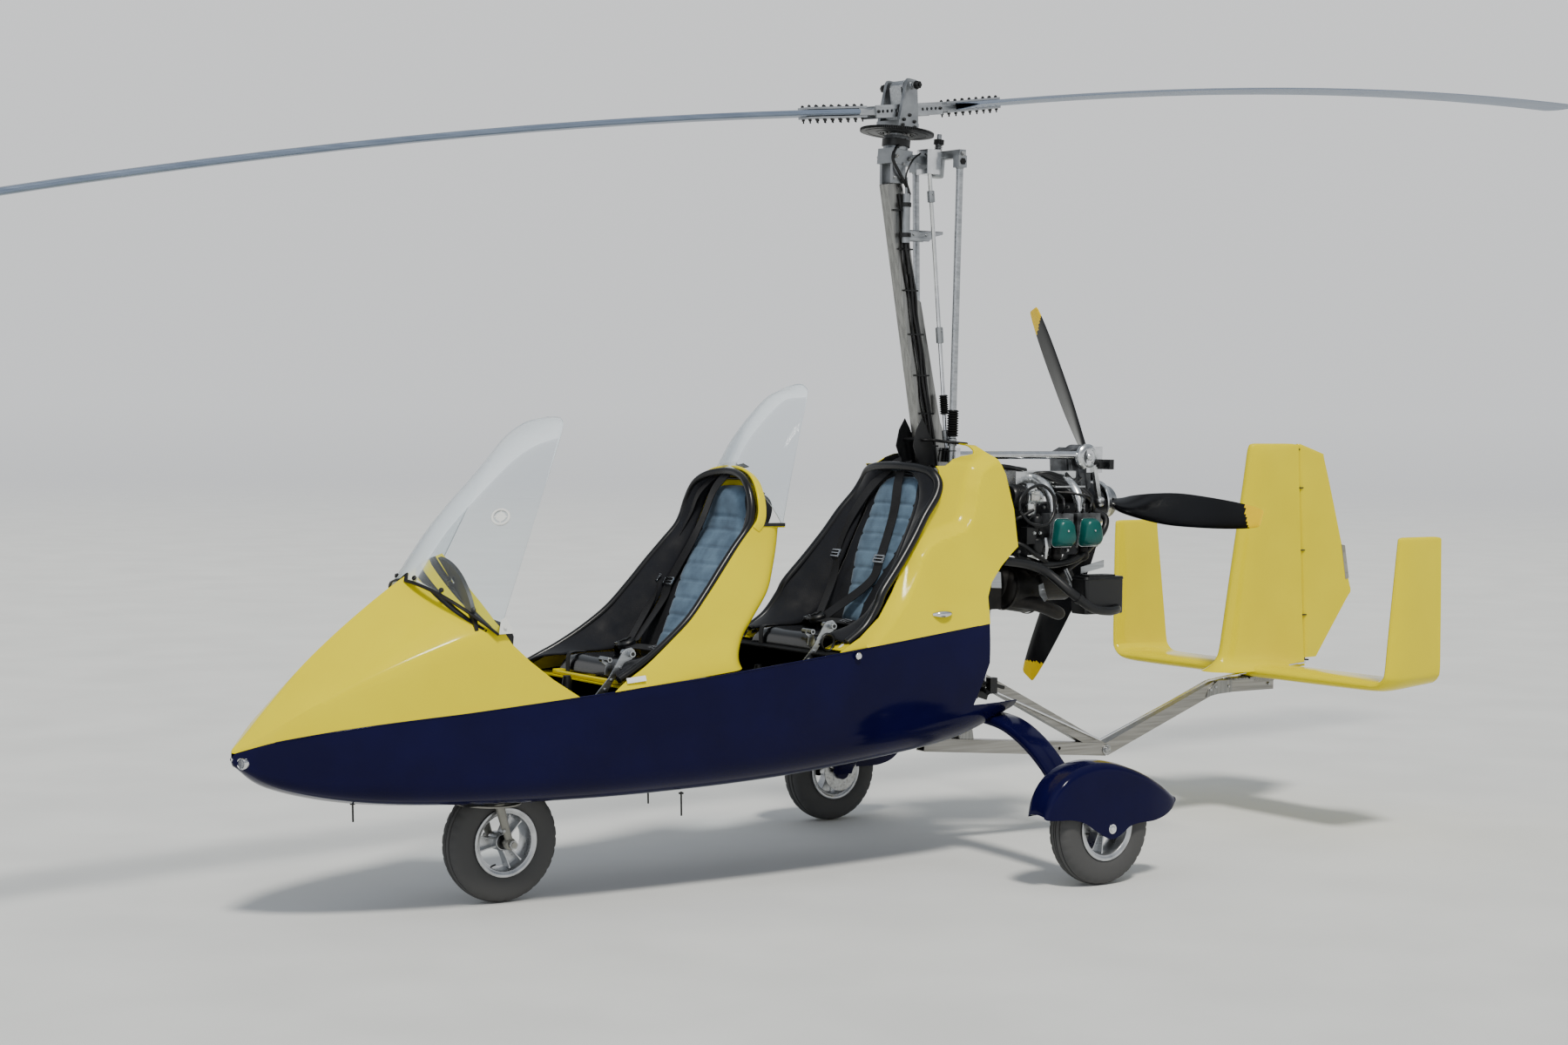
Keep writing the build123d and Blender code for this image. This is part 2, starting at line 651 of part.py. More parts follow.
def make_tail():
    """Tail plane, centre fin and two end fins in one hollow moulding."""
    rear_room = RUDDER_NOSE + RUDDER_GAP

    def level(z, y=0.0):
        return lambda x, side: (x, y + side, z)

    def station(y):
        return lambda x, side: (x, y, PLANE_Z + side)

    def fin(inset, trim=0.0):
        rows = [(FIN_LEVELS[0][0] + trim, *FIN_LEVELS[0][1:]), (FIN_LEVELS[-1][0] - trim, *FIN_LEVELS[-1][1:])]
        return loft([fin_section(level(z), lead, hinge + rear_room, FIN_THICK, FIN_REAR, inset) for z, lead, hinge in rows], ruled=True)

    def end_fin(inset, trim=0.0):
        first, last = END_FIN_LEVELS[0], END_FIN_LEVELS[-1]
        rows = [(first[0] + trim, *first[1:]), (last[0] - trim, *last[1:])]
        return loft([fin_section(level(z, y), lead, trail, END_FIN_THICK, 8.0 + 2 * inset, inset) for z, y, lead, trail in rows], ruled=True)

    def plane(inset, half_span):
        return loft([fin_section(station(y), PLANE_LEAD, PLANE_TRAIL, PLANE_THICK, 10.0 + 2 * inset, inset) for y in (-half_span, half_span)], ruled=True)

    tail = plane(0.0, 766.0) + fin(0.0)
    for piece in both_sides(end_fin(0.0)):
        tail += piece
    tail -= plane(FIN_WALL, 720.0)
    tail -= fin(FIN_WALL, 40.0)
    for piece in both_sides(end_fin(FIN_WALL, 34.0)):
        tail -= piece
    tail += Pos(-1900, 0, 573.6) * Box(120, 60, 6.8)
    return tail - Pos(NOTCH_X - 60, 0, 610) * Box(120, 60, 60)


def make_rudder_hinges():
    """Plates above and below the rudder, each with its pin on the hinge line."""
    hinges = []
    for z, front, end in ((1509.0, hinge_at(1509) + RUDDER_NOSE + RUDDER_GAP - 0.8, 1478.0), (630.0, NOTCH_X - 0.2, 664.0)):
        x = hinge_at(z)
        plate = Pos(0.5 * (x - 14 + front), 0, z) * Box(front - x + 14, 26, 6)
        hinges.append(plate + rod((x, 0, z), (hinge_at(end), 0, end), HINGE_PIN))
    return hinges


def make_rudder():
    """Rudder with a round nose on the hinge line and a kinked trailing edge."""
    faces = []
    for z, trail in RUDDER_LEVELS:
        x = hinge_at(z)
        faces.append(Face(Wire([
            Edge.make_three_point_arc((x, RUDDER_NOSE, z), (x + RUDDER_NOSE, 0, z), (x, -RUDDER_NOSE, z)),
            Edge.make_line((x, -RUDDER_NOSE, z), (trail, -2, z)),
            Edge.make_line((trail, -2, z), (trail, 2, z)),
            Edge.make_line((trail, 2, z), (x, RUDDER_NOSE, z)),
        ])))
    rudder = loft(faces, ruled=True)
    for low, high in ((620.0, 668.0), (1474.0, 1520.0)):
        rudder -= rod((hinge_at(low), 0, low), (hinge_at(high), 0, high), HINGE_PIN + AXLE_PLAY)
    return rudder


# Propeller blade. Columns: radius, chord, thickness, pitch angle.
PROP_SECTIONS = (
    (50.0, 46.0, 40.0, 50.0),
    (150.0, 84.0, 26.0, 40.0),
    (400.0, 118.0, 15.0, 24.0),
    (700.0, 96.0, 9.0, 15.0),
    (850.0, 70.0, 6.0, 12.0),
    (PROP_RADIUS, 36.0, 4.0, 12.0),
)
PROP_TILT = 1.72


def prop_frame():
    """Plane at the propeller's middle, its normal along the shaft, aft and slightly up."""
    return Plane(origin=(PROP_X, 0, PROP_Z), x_dir=(0, 1, 0), z_dir=(-cos(radians(PROP_TILT)), 0, sin(radians(PROP_TILT))))


def make_propeller_blades():
    blades = []
    for index in range(PROP_BLADES):
        faces = []
        for radius, chord, thick, pitch in PROP_SECTIONS:
            c, s = 0.5 * chord * cos(radians(pitch)), 0.5 * chord * sin(radians(pitch))
            nx, ny = 0.5 * thick * sin(radians(pitch)), 0.5 * thick * cos(radians(pitch))
            a, b = (radius, -c, -s), (radius, c, s)
            up, down = (radius, -nx, ny), (radius, nx, -ny)
            faces.append(Face(Wire([Edge.make_three_point_arc(a, up, b), Edge.make_three_point_arc(b, down, a)])))
        blade = loft(faces)
        turn = -PROP_REST + 360 / PROP_BLADES * index
        blades.append(prop_frame() * Rot(0, 0, turn) * blade)
    return blades


def make_propeller_hub():
    hub = Cylinder(PROP_HUB, 44) + Pos(0, 0, 30) * Cylinder(40, 20) + Pos(0, 0, -30) * Cylinder(50, 18)
    hub -= Pos(0, 0, -25.5) * Cylinder(PROP_SHAFT + AXLE_PLAY, 29)
    hub = prop_frame() * hub
    for blade in make_propeller_blades():
        hub -= blade
    return hub


def hub_frame():
    """Plane at the teeter bolt: normal along the spin axis, x towards the forward blade."""
    spin = Vector(-sin(radians(MAST_LEAN)), 0, cos(radians(MAST_LEAN)))
    heading = Vector(cos(radians(REST_HEADING)), sin(radians(REST_HEADING)), 0)
    across = spin.cross(heading).normalized()
    return Plane(origin=(BOLT_X, 0, BOLT_Z), x_dir=across.cross(spin), z_dir=spin)


def rotor_frame():
    """Plane at the teeter bolt that follows the rotor at rest, nose blade low."""
    lean = REST_SLOPE + MAST_LEAN * cos(radians(REST_HEADING))
    return hub_frame().location * Rot(0, lean, 0)


SPINDLE_RADIUS = 24.0
TOWER_BASE = -160.0


def make_hub_tower():
    """Two tapered cheeks on a base, with the teeter bolt through their tops and the spindle below."""
    y_in = 0.5 * CHEEK_GAP
    outline = ((-50, TOWER_BASE), (50, TOWER_BASE), (44, -110), (26, 14), (18, 24), (-18, 24), (-26, 14), (-44, -110))
    cheek = side_prism(outline, y_in, y_in + CHEEK_THICKNESS)
    tower = cheek + mirror(cheek, about=Plane.XZ)
    tower += Pos(0, 0, TOWER_BASE + 14) * Box(100, CHEEK_GAP + 2 * CHEEK_THICKNESS, 28)
    tower += rod((0, -y_in - 26, 0), (0, y_in + 26, 0), BOLT_RADIUS)
    tower += rod((0, y_in + CHEEK_THICKNESS, 0), (0, y_in + 24, 0), 14) + rod((0, -y_in - 24, 0), (0, -y_in - CHEEK_THICKNESS, 0), 14)
    tower += Pos(0, 0, TOWER_BASE - 35) * Cylinder(SPINDLE_RADIUS, 70)
    return hub_frame() * tower


def make_ring_gear():
    gear = Pos(0, 0, -RING_DROP) * Cylinder(RING_RADIUS, 12)
    gear -= Pos(0, 0, -RING_DROP) * Cylinder(SPINDLE_RADIUS + SEAM, 20)
    return hub_frame() * gear


def make_hub_bar():
    """Bar that hangs below the teeter bolt: two coned arms and the block that takes the bolt."""
    bar = Pos(0, 0, -0.5 * BOLT_DROP) * Box(56, 60, BOLT_DROP)
    bar += rod((0, -34, 0), (0, 34, 0), 22)
    for turn in (0, 180):
        arm = Pos(0.5 * ARM_LENGTH, 0, 0) * Box(ARM_LENGTH, 66, BLADE_DEPTH)
        bar += Rot(0, 0, turn) * Pos(0, 0, -BOLT_DROP) * Rot(0, -degrees(ARM_CONE), 0) * arm
    for side in (1, -1):
        bar += Pos(0, side * 36, -BOLT_DROP + 4) * Box(330, 6, 46)
    holes = [end * (66 + 22 * index) for index in range(5) for end in (1, -1)]
    for x in holes:
        bar -= rod((x, -42, -BOLT_DROP + 4), (x, 42, -BOLT_DROP + 4), 6)
    return rotor_frame() * (bar - rod((0, -40, 0), (0, 40, 0), BOLT_RADIUS + AXLE_PLAY))


def make_blade():
    """Hollow aerofoil blade pointing along x, bent to a long droop circle."""
    crest = PRECONE * DROOP_RADIUS
    rise = 0.5 * PRECONE * crest - BOLT_DROP

    def section(inset):
        front, back = 0.25 * CHORD - inset, -0.75 * CHORD + 4 * inset
        half = 0.5 * BLADE_DEPTH - inset
        nose, tail = front - 0.8 * half, 1.2
        return Face(Wire([
            Edge.make_three_point_arc((crest, back, rise + tail), (crest, 0, rise + half), (crest, nose, rise + 0.8 * half)),
            Edge.make_three_point_arc((crest, nose, rise + 0.8 * half), (crest, front, rise), (crest, nose, rise - 0.8 * half)),
            Edge.make_three_point_arc((crest, nose, rise - 0.8 * half), (crest, 0, rise - half), (crest, back, rise - tail)),
            Edge.make_line((crest, back, rise - tail), (crest, back, rise + tail)),
        ]))

    axis = Axis((crest, 0, rise - DROOP_RADIUS), (0, 1, 0))
    start = degrees((BLADE_ROOT - crest) / DROOP_RADIUS)
    stretch = degrees((ROTOR_RADIUS - BLADE_ROOT) / DROOP_RADIUS)
    outer = revolve(section(0.0).rotate(axis, start), axis, stretch)
    return outer - revolve(section(BLADE_WALL).rotate(axis, start), axis, stretch)


def make_blades():
    blade = make_blade()
    return [rotor_frame() * blade, rotor_frame() * Rot(0, 0, 180) * blade]


def make_blade_clamps():
    """Clamp plates above and below each blade root, bridging it to the hub bar."""
    clamps = []
    for turn in (0, 180):
        for side in (1, -1):
            plate = Pos(CLAMP_MIDDLE, 0, side * (0.5 * BLADE_DEPTH + CLAMP_LIFT + 4)) * Box(CLAMP_LENGTH, 58, 8)
            lifted = Pos(0, 0, 2.05 - BOLT_DROP) * Rot(0, -degrees(CLAMP_CONE), 0) * plate
            clamps.append(rotor_frame() * Rot(0, 0, turn) * lifted)
    return clamps


ARM_LENGTH = 242.0
ARM_CONE = 0.033
CLAMP_MIDDLE = 340.0
CLAMP_LENGTH = 280.0
CLAMP_CONE = 0.0231
CLAMP_LIFT = 0.65
HEAD_TOP = -182.0


def make_rotor_head():
    """Bearing housing, gimbal, torque arm and cross arm, on top of the mast."""
    housing = Pos(0, 0, HEAD_TOP - 26) * Cylinder(46, 52)
    housing += Pos(0, 0, HEAD_TOP - 78) * Box(96, 84, 56)
    housing -= Pos(0, 0, HEAD_TOP - 24) * Cylinder(SPINDLE_RADIUS + AXLE_PLAY, 60)
    head = hub_frame() * housing
    head += beam((18, 0, 2562), (CROSS_ARM_X, 0, ROD_TOP_Z + 34), 34, 30)
    head += beam((CROSS_ARM_X, -ROD_TOP_Y - 16, ROD_TOP_Z + 34), (CROSS_ARM_X, ROD_TOP_Y + 16, ROD_TOP_Z + 34), 30, 30)
    for side in (1, -1):
        head += rod((CROSS_ARM_X, side * ROD_TOP_Y, ROD_TOP_Z), (CROSS_ARM_X, side * ROD_TOP_Y, ROD_TOP_Z + 30), 11)
        head += Pos(27, side * 32.1, 2522) * Box(60, 13.8, 90)
    return head


CROSS_ARM_X = -181.0
ROD_TOP_Y = 132.0
ROD_TOP_Z = 2556.0
ROD_RADIUS = 13.0
ROD_FOOT = (-186.0, 100.0, 1380.0)


def make_control_rods():
    return both_sides(rod(ROD_FOOT, (CROSS_ARM_X, ROD_TOP_Y, ROD_TOP_Z - 0.6), ROD_RADIUS))


SHAFT_TOP = (-97.0, 60.0, 2516.0)
SHAFT_FOOT = (-195.0, 60.0, 1510.0)


def make_prerotator():
    """Upright drive shaft beside the mast, angle box, and the level tube aft to the engine."""
    drive = rod(SHAFT_TOP, SHAFT_FOOT, 8)
    drive += Pos(-100, 49.6, 2560) * Box(60, 64.8, 90)
    drive += Pos(-214, 51.6, 1488) * Box(56, 62.8, 52)
    drive += rod((-215, 60, 1487), (-870, 60, 1487), 14)
    return drive + Pos(-900, 60, 1470) * Box(80, 56, 100)


def make_trim_cylinder():
    cylinder = rod((-4, 44, 2262), (-4, 44, 2440), 15) + rod((-4, 44, 2440), (-4, 44, 2500), 5)
    return cylinder


CRANK_Z = 1206.0
ENGINE_FRONT = -430.0
PLENUM_Z = 1396.2
PROP_SHAFT = 20.0
CYLINDER_X = (-610.0, -745.0)


def make_engine_case():
    """Crankcase, front housing, gearbox and propeller shaft."""
    case = Pos(-680, 0, CRANK_Z) * Box(370, 190, 196)
    case += rod((ENGINE_FRONT, 0, CRANK_Z), (-500, 0, CRANK_Z), 112)
    case += rod((-860, 0, CRANK_Z + 66), (-968, 0, PROP_Z - 6), 84)
    case += rod((-860, 0, CRANK_Z), (-940, 0, CRANK_Z), 70)
    case -= prop_frame() * Box(200, 200, 2 * 46)
    return case + prop_frame() * Pos(0, 0, -36) * Cylinder(PROP_SHAFT, 48)


def make_cylinders():
    """Four finned cylinders with their heads, level with the crank."""
    blocks = []
    for x in CYLINDER_X:
        fins = [(0, 95.4)]
        for index in range(5):
            y = 98 + 15 * index
            fins += [(50, y), (60, y), (60, y + 6), (50, y + 6)]
        fins += [(50, 175), (0, 175)]
        outline = [fins[0], (50, 95.4)] + fins[1:]
        barrel = lathe_y(outline, x, 0, CRANK_Z)
        head = Pos(x, 205, CRANK_Z + 6) * Box(116, 60, 118)
        blocks += both_sides(barrel + head)
    return blocks


def make_valve_covers():
    """Trapezoidal valve covers on the outer faces of the heads."""
    covers = []
    for x in CYLINDER_X:
        big = plan_section(x, CRANK_Z + 8, 100, 104, 235.3)
        small = plan_section(x, CRANK_Z + 8, 72, 80, 276)
        covers += both_sides(loft([big, small], ruled=True))
    return covers


def plan_section(x, z, wide, tall, y):
    """Trapezoid in the plane at y, wider below."""
    low, high = 0.5 * wide, 0.36 * wide
    return polygon([(x - low, y, z - 0.5 * tall), (x + low, y, z - 0.5 * tall), (x + high, y, z + 0.5 * tall), (x - high, y, z + 0.5 * tall)])


def make_intake():
    """Plenum on top and four pipes that curve down to the heads."""
    intake = Pos(-680, 0, PLENUM_Z) * Box(300, 120, 60)
    for x in CYLINDER_X:
        for side in (1, -1):
            centre = Axis((x, side * 60, PLENUM_Z - 125), (1, 0, 0))
            start = Plane(origin=(x, side * 60, PLENUM_Z), x_dir=(1, 0, 0), z_dir=(0, 1, 0))
            circle = Face(Wire([Edge.make_circle(20, start)]))
            intake += revolve(circle, centre, -90 * side)
    return intake


def make_exhaust():
    """Four header pipes and the silencer under the engine."""
    exhaust = rod((-470, 0, 1000), (-820, 0, 1000), 74) - rod((-473, 0, 1000), (-817, 0, 1000), 71)
    for x in CYLINDER_X:
        for side in (1, -1):
            exhaust += rod((x, side * 205, 1152.8), (x, side * 205, 1112), 19)
            exhaust += Pos(x, side * 205, 1112) * Rot(90, 0, 0) * Sphere(23)
            exhaust += rod((x, side * 205, 1112), (x, side * 62, 1034), 19)
    return exhaust


def make_air_box():
    """Black air box aft with its thick curved hose."""
    box = Pos(-735, 300, 930) * Box(150, 110, 90)
    box += rod((-660, 270, 960), (-360, 230, 1076), 24)
    box += Pos(-735, 231.4, 1056.4) * Box(30, 6, 192.8)
    return box + Pos(-735, 240, 965) * Box(30, 28, 10)


def make_engine_mount():
    """Four steel tubes from the mast and its rear leg to the engine's front housing."""
    upper = rod((-262, 12, 1352), (-440, 70, 1262), 11)
    lower = rod((mast_at(1000), 12, 1000), (-440, 62, 1132), 11)
    tubes = []
    for tube in (upper, lower):
        tube -= Pos(ENGINE_FRONT - 99.8, 60, 1200) * Box(200, 200, 400)
        tube -= mast_bar(0.2)
        tube -= side_prism(rear_leg_outline(), -20.2, 20.2)
        tubes += both_sides(tube)
    return tubes


def make_firewall():
    """Bulkhead behind the rear seat, trimmed to the tub and the cowl."""
    sheet = Pos(FIREWALL_X, 0, 0.5 * FIREWALL_TOP) * Box(4, 900, FIREWALL_TOP)
    below = sheet & hull_room() & under_sill()
    return below + (sheet & filled(cowl_edges, COWL_STATIONS, SHELL + 0.2))


def make_floor():
    """Cockpit floor from the rear seat to the pedals, trimmed to the hull."""
    sheet = plan_prism(((1430, 350), (420, 350), (420, -350), (1430, -350)), FLOOR_Z, FLOOR_Z + FLOOR_THICKNESS)
    return sheet & hull_room()


def make_wheel_well():
    """Box over the nose wheel, open below, with the kingpin's bearing on top."""
    half_x, half_y = 0.5 * WELL_LENGTH, 0.5 * WELL_WIDTH
    well = Pos(WELL_X, 0, 0.5 * (352 + WELL_TOP)) * Box(WELL_LENGTH, WELL_WIDTH, WELL_TOP - 352)
    well -= Pos(WELL_X, 0, 0.5 * (340 + WELL_TOP - 4)) * Box(WELL_LENGTH - 8, WELL_WIDTH - 8, WELL_TOP - 4 - 340)
    well += Pos(STEER_X, 0, WELL_TOP + 24) * Cylinder(30, 56)
    return well - Pos(STEER_X, 0, WELL_TOP) * Cylinder(KINGPIN_RADIUS + AXLE_PLAY, 200)


def make_instrument_panel():
    """Upright dark panel under the dash cowl, with dials."""
    sheet = Pos(PANEL_X, 0, 1000) * Box(12, 800, 440)
    panel = sheet & filled(hood_edges, HOOD_RIDGE, SHELL + 0.2)
    for y, z, radius in DIALS:
        panel += rod((PANEL_X - 14, y, z), (PANEL_X - 6, y, z), radius)
    return panel


write("tub", make_tub())
write("hood", make_hood())
write("front_screen", make_front_screen())
write("rear_screen", make_screen(REAR_SCREEN))
write("front_seat_shell", make_front_seat_shell())
write("rear_cowl", make_rear_cowl())
write("rear_seat_pan", make_rear_seat_pan())
for seat in SEATS:
    cushion, backrest = make_cushions(seat)
    write(f"{seat}_cushion", cushion)
    write(f"{seat}_backrest", backrest)
write("firewall", make_firewall())
write("floor", make_floor())
write("wheel_well", make_wheel_well())
write("instrument_panel", make_instrument_panel())
write("mast", make_mast())
write("mast_rear_leg", make_rear_leg())
write("keel", make_keel())
write("gear_leg", make_main_leg())
for name, spat in zip(("left_spat", "right_spat"), both_sides(make_spat())):
    write(name, spat)
write("tail", make_tail())
write("rudder", make_rudder())
write("rudder_hinges", *make_rudder_hinges())
write("nose_fork", make_nose_fork())
write("nose_tyre", make_tyre(NOSE_AXLE_X, 0))
write("nose_rim", make_rim(NOSE_AXLE_X, 0, 1))
for name, side in (("left", 1), ("right", -1)):
    write(f"{name}_tyre", make_tyre(MAIN_AXLE_X, side * HALF_TRACK))
    write(f"{name}_rim", make_rim(MAIN_AXLE_X, side * HALF_TRACK, side))
write("engine_case", make_engine_case())
write("cylinders", *make_cylinders())
write("valve_covers", *make_valve_covers())
write("intake", make_intake())
write("exhaust", make_exhaust())
write("air_box", make_air_box())
write("engine_mount", *make_engine_mount())
write("propeller_hub", make_propeller_hub())
write("propeller_blades", *make_propeller_blades())
write("rotor_head", make_rotor_head())
write("control_rods", *make_control_rods())
write("prerotator", make_prerotator())
write("trim_cylinder", make_trim_cylinder())
write("hub_tower", make_hub_tower())
write("ring_gear", make_ring_gear())
write("hub_bar", make_hub_bar())
write("blade_clamps", *make_blade_clamps())
write("rotor_blades", *make_blades())
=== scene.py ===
import logging
import math
from dataclasses import dataclass, field
from enum import Enum
from typing import Callable, Optional, Sequence

import bmesh
import bpy
from mathutils import Matrix, Vector


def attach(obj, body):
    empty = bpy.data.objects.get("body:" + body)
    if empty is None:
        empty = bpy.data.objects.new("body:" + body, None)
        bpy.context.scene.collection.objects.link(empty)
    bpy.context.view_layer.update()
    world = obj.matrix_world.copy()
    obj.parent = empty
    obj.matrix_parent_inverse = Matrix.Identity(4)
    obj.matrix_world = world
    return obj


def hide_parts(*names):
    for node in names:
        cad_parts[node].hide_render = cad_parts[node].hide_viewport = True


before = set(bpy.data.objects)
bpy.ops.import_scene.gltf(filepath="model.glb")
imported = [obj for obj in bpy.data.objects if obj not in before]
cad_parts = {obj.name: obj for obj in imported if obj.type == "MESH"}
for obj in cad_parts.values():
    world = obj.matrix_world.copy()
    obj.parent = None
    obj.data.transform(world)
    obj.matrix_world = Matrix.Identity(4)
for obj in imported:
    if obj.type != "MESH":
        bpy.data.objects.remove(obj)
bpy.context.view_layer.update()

LOG = logging.getLogger("gyrocopter")
MM = 0.001

Numbers = Sequence[float]
Outline = Sequence[Sequence[float]]
Points = list[tuple[float, float]]
Piece = bpy.types.Object
Tree = bpy.types.NodeTree
Socket = bpy.types.NodeSocket


class Body(Enum):
    """The moving bodies of the aircraft."""

    AIRFRAME = "airframe"
    NOSE_FORK = "nose_fork"
    NOSE_WHEEL = "nose_wheel"
    LEFT_WHEEL = "left_wheel"
    RIGHT_WHEEL = "right_wheel"
    RUDDER = "rudder"
    PROPELLER = "propeller"
    ROTOR_HUB = "rotor_hub"
    ROTOR = "rotor"


# Every piece in the order it was made, for the report.
PIECES: list[Piece] = []


# Shader nodes and finishes


def linear(colour: str) -> tuple[float, float, float, float]:
    """Turns an sRGB colour to linear light.

    Args:
        colour: Hex value such as "#F2DF00".

    Returns:
        Red, green, blue and alpha.
    """
    parts = [int(colour[i : i + 2], 16) / 255 for i in (1, 3, 5)]
    red, green, blue = (c / 12.92 if c <= 0.04045 else ((c + 0.055) / 1.055) ** 2.4 for c in parts)
    return red, green, blue, 1.0


def per_metre(size: float) -> float:
    """Texture scale at which a pattern repeats about every size millimetres."""
    return 1.0 / (size * MM)


def add_node(
    tree: Tree,
    kind: str,
    inputs: Optional[dict] = None,
    ramp: Optional[Sequence[tuple[float, str]]] = None,
    **settings: object,
) -> bpy.types.Node:
    """Adds one shader node.

    Args:
        tree: The node tree that gets the node.
        kind: The node's Blender type.
        inputs: Socket name or number, with a value, or with a socket to link from.
        ramp: Stops of a colour ramp, each a place and a hex colour.
        settings: Attributes of the node.

    Returns:
        The new node.
    """
    node = tree.nodes.new(kind)
    for name, value in settings.items():
        setattr(node, name, value)
    for name, value in (inputs or {}).items():
        if isinstance(value, Socket):
            tree.links.new(value, node.inputs[name])
        else:
            node.inputs[name].default_value = value
    if ramp:
        stops = node.color_ramp.elements
        while len(stops) < len(ramp):
            stops.new(0.5)
        for stop, (place, colour) in zip(stops, ramp):
            stop.position = place
            stop.color = linear(colour)
    return node


@dataclass(frozen=True)
class Finish:
    """A surface finish: patches of changing colour and gloss over a fine grain."""

    name: str
    slot: str
    colour: str
    roughness: float = 0.5
    metallic: float = 0.0
    ior: float = 1.45
    coat: float = 0.0
    sheen: float = 0.0
    # Second colour, of the patches.
    shade: str = ""
    # Sizes in millimetres: the patches, the grain, and the grain's height.
    spots: float = 120.0
    grain: float = 3.0
    relief: float = 0.03
    # Share by which the gloss changes from patch to patch.
    change: float = 0.2
    # How far the grain is drawn out along x, y and z.
    stretch: tuple[float, float, float] = (1.0, 1.0, 1.0)

    def material(self) -> bpy.types.Material:
        """Makes the finish's material the first time it is asked for.

        Returns:
            The material.
        """
        known = bpy.data.materials.get(self.name)
        if known:
            return known
        material = bpy.data.materials.new(self.name)
        material.use_nodes = True
        tree = material.node_tree
        tree.nodes.clear()
        place = add_node(tree, "ShaderNodeTexCoord").outputs["Object"]
        if self.stretch != (1.0, 1.0, 1.0):
            place = add_node(tree, "ShaderNodeMapping", {"Vector": place, "Scale": self.stretch}).outputs[0]
        patch = {"Vector": place, "Scale": per_metre(self.spots), "Detail": 4.0}
        noise = add_node(tree, "ShaderNodeTexNoise", patch).outputs[0]
        gloss = {
            "Value": noise, "From Min": 0.3, "From Max": 0.7,
            "To Min": self.roughness * (1 - self.change), "To Max": self.roughness * (1 + self.change),
        }
        relief = {"Height": self.height(tree, place), "Distance": self.relief * MM}
        values = {
            "Base Color": linear(self.colour), "Metallic": self.metallic,
            "Roughness": add_node(tree, "ShaderNodeMapRange", gloss).outputs[0],
            "Normal": add_node(tree, "ShaderNodeBump", relief).outputs[0],
        }
        if self.shade:
            stops = [(0.35, self.shade), (0.65, self.colour)]
            values["Base Color"] = add_node(tree, "ShaderNodeValToRGB", {"Fac": noise}, ramp=stops).outputs[0]
        if not self.metallic:
            values["IOR"] = self.ior
        if self.coat:
            values.update({"Coat Weight": self.coat, "Coat Roughness": 0.04})
        if self.sheen:
            values.update({"Sheen Weight": self.sheen, "Sheen Roughness": 0.4})
        shader = add_node(tree, "ShaderNodeBsdfPrincipled", values).outputs[0]
        add_node(tree, "ShaderNodeOutputMaterial", {"Surface": self.surface(tree, shader)})
        return material

    def height(self, tree: Tree, place: Socket) -> Socket:
        """Height of the grain: an even, irregular one.

        Args:
            tree: The material's node tree.
            place: The coordinates of the surface, in metres.

        Returns:
            The socket that gives the height, from 0 to 1.
        """
        grain = {"Vector": place, "Scale": per_metre(self.grain), "Detail": 3.0}
        return add_node(tree, "ShaderNodeTexNoise", grain).outputs[0]

    def surface(self, tree: Tree, shader: Socket) -> Socket:
        """What the output shows: the shader as it is, for a finish that lets no light through."""
        return shader


@dataclass(frozen=True)
class Woven(Finish):
    """Woven cloth: threads crossing at right angles, drawn as coarse as they need to be to show."""

    def height(self, tree: Tree, place: Socket) -> Socket:
        """Height of the weave.

        Args:
            tree: The material's node tree.
            place: The coordinates of the surface, in metres.

        Returns:
            The socket that gives the height, from 0 to 1.
        """
        threads = []
        for direction in ("X", "Y", "Z"):
            inputs = {"Vector": place, "Scale": per_metre(self.grain) / (2 * math.pi), "Distortion": 0.6}
            threads.append(add_node(tree, "ShaderNodeTexWave", inputs, bands_direction=direction).outputs[1])
        x, y, z = threads
        crossed = add_node(tree, "ShaderNodeMath", {0: x, 1: y}, operation="MAXIMUM").outputs[0]
        return add_node(tree, "ShaderNodeMath", {0: crossed, 1: z}, operation="MAXIMUM").outputs[0]


@dataclass(frozen=True)
class Clear(Finish):
    """Clear acrylic: see-through, with a mirror gloss that grows where it is seen at a slant."""

    haze: float = 0.02

    def surface(self, tree: Tree, shader: Socket) -> Socket:
        """Mixes the gloss with what shows through.

        Args:
            tree: The material's node tree.
            shader: The gloss.

        Returns:
            The socket that gives the mix.
        """
        clear = add_node(tree, "ShaderNodeBsdfTransparent", {"Color": linear(self.colour)}).outputs[0]
        slant = add_node(tree, "ShaderNodeLayerWeight", {"Blend": 0.18}).outputs["Fresnel"]
        spread = {"Value": slant, "To Min": self.haze, "To Max": 0.75}
        share = add_node(tree, "ShaderNodeMapRange", spread).outputs[0]
        return add_node(tree, "ShaderNodeMixShader", {0: share, 1: clear, 2: shader}).outputs[0]


LENGTHWISE = (0.03, 1.0, 1.0)
UPRIGHT = (1.0, 1.0, 0.03)

# Polyester gelcoat over a glass-fibre moulding: wet gloss with the long soft waves of the mould.
YELLOW = Finish(
    "gelcoat_yellow", "yellow_gelcoat", "#DCCB00", 0.17, ior=1.22, coat=0.08, shade="#D8C600", spots=260,
    grain=90, relief=0.25, change=0.3,
)
NAVY = Finish(
    "gelcoat_navy", "navy_gelcoat", "#0B0A33", 0.13, ior=1.2, shade="#09082B", spots=260, grain=80,
    relief=0.2, change=0.3,
)
# The moulding's unpolished inner face: matt, with the print of the glass mat.
LINER = Finish(
    "moulding_inside", "black_panel", "#101114", 0.7, ior=1.3, shade="#0B0C0E", grain=12, relief=0.2,
)
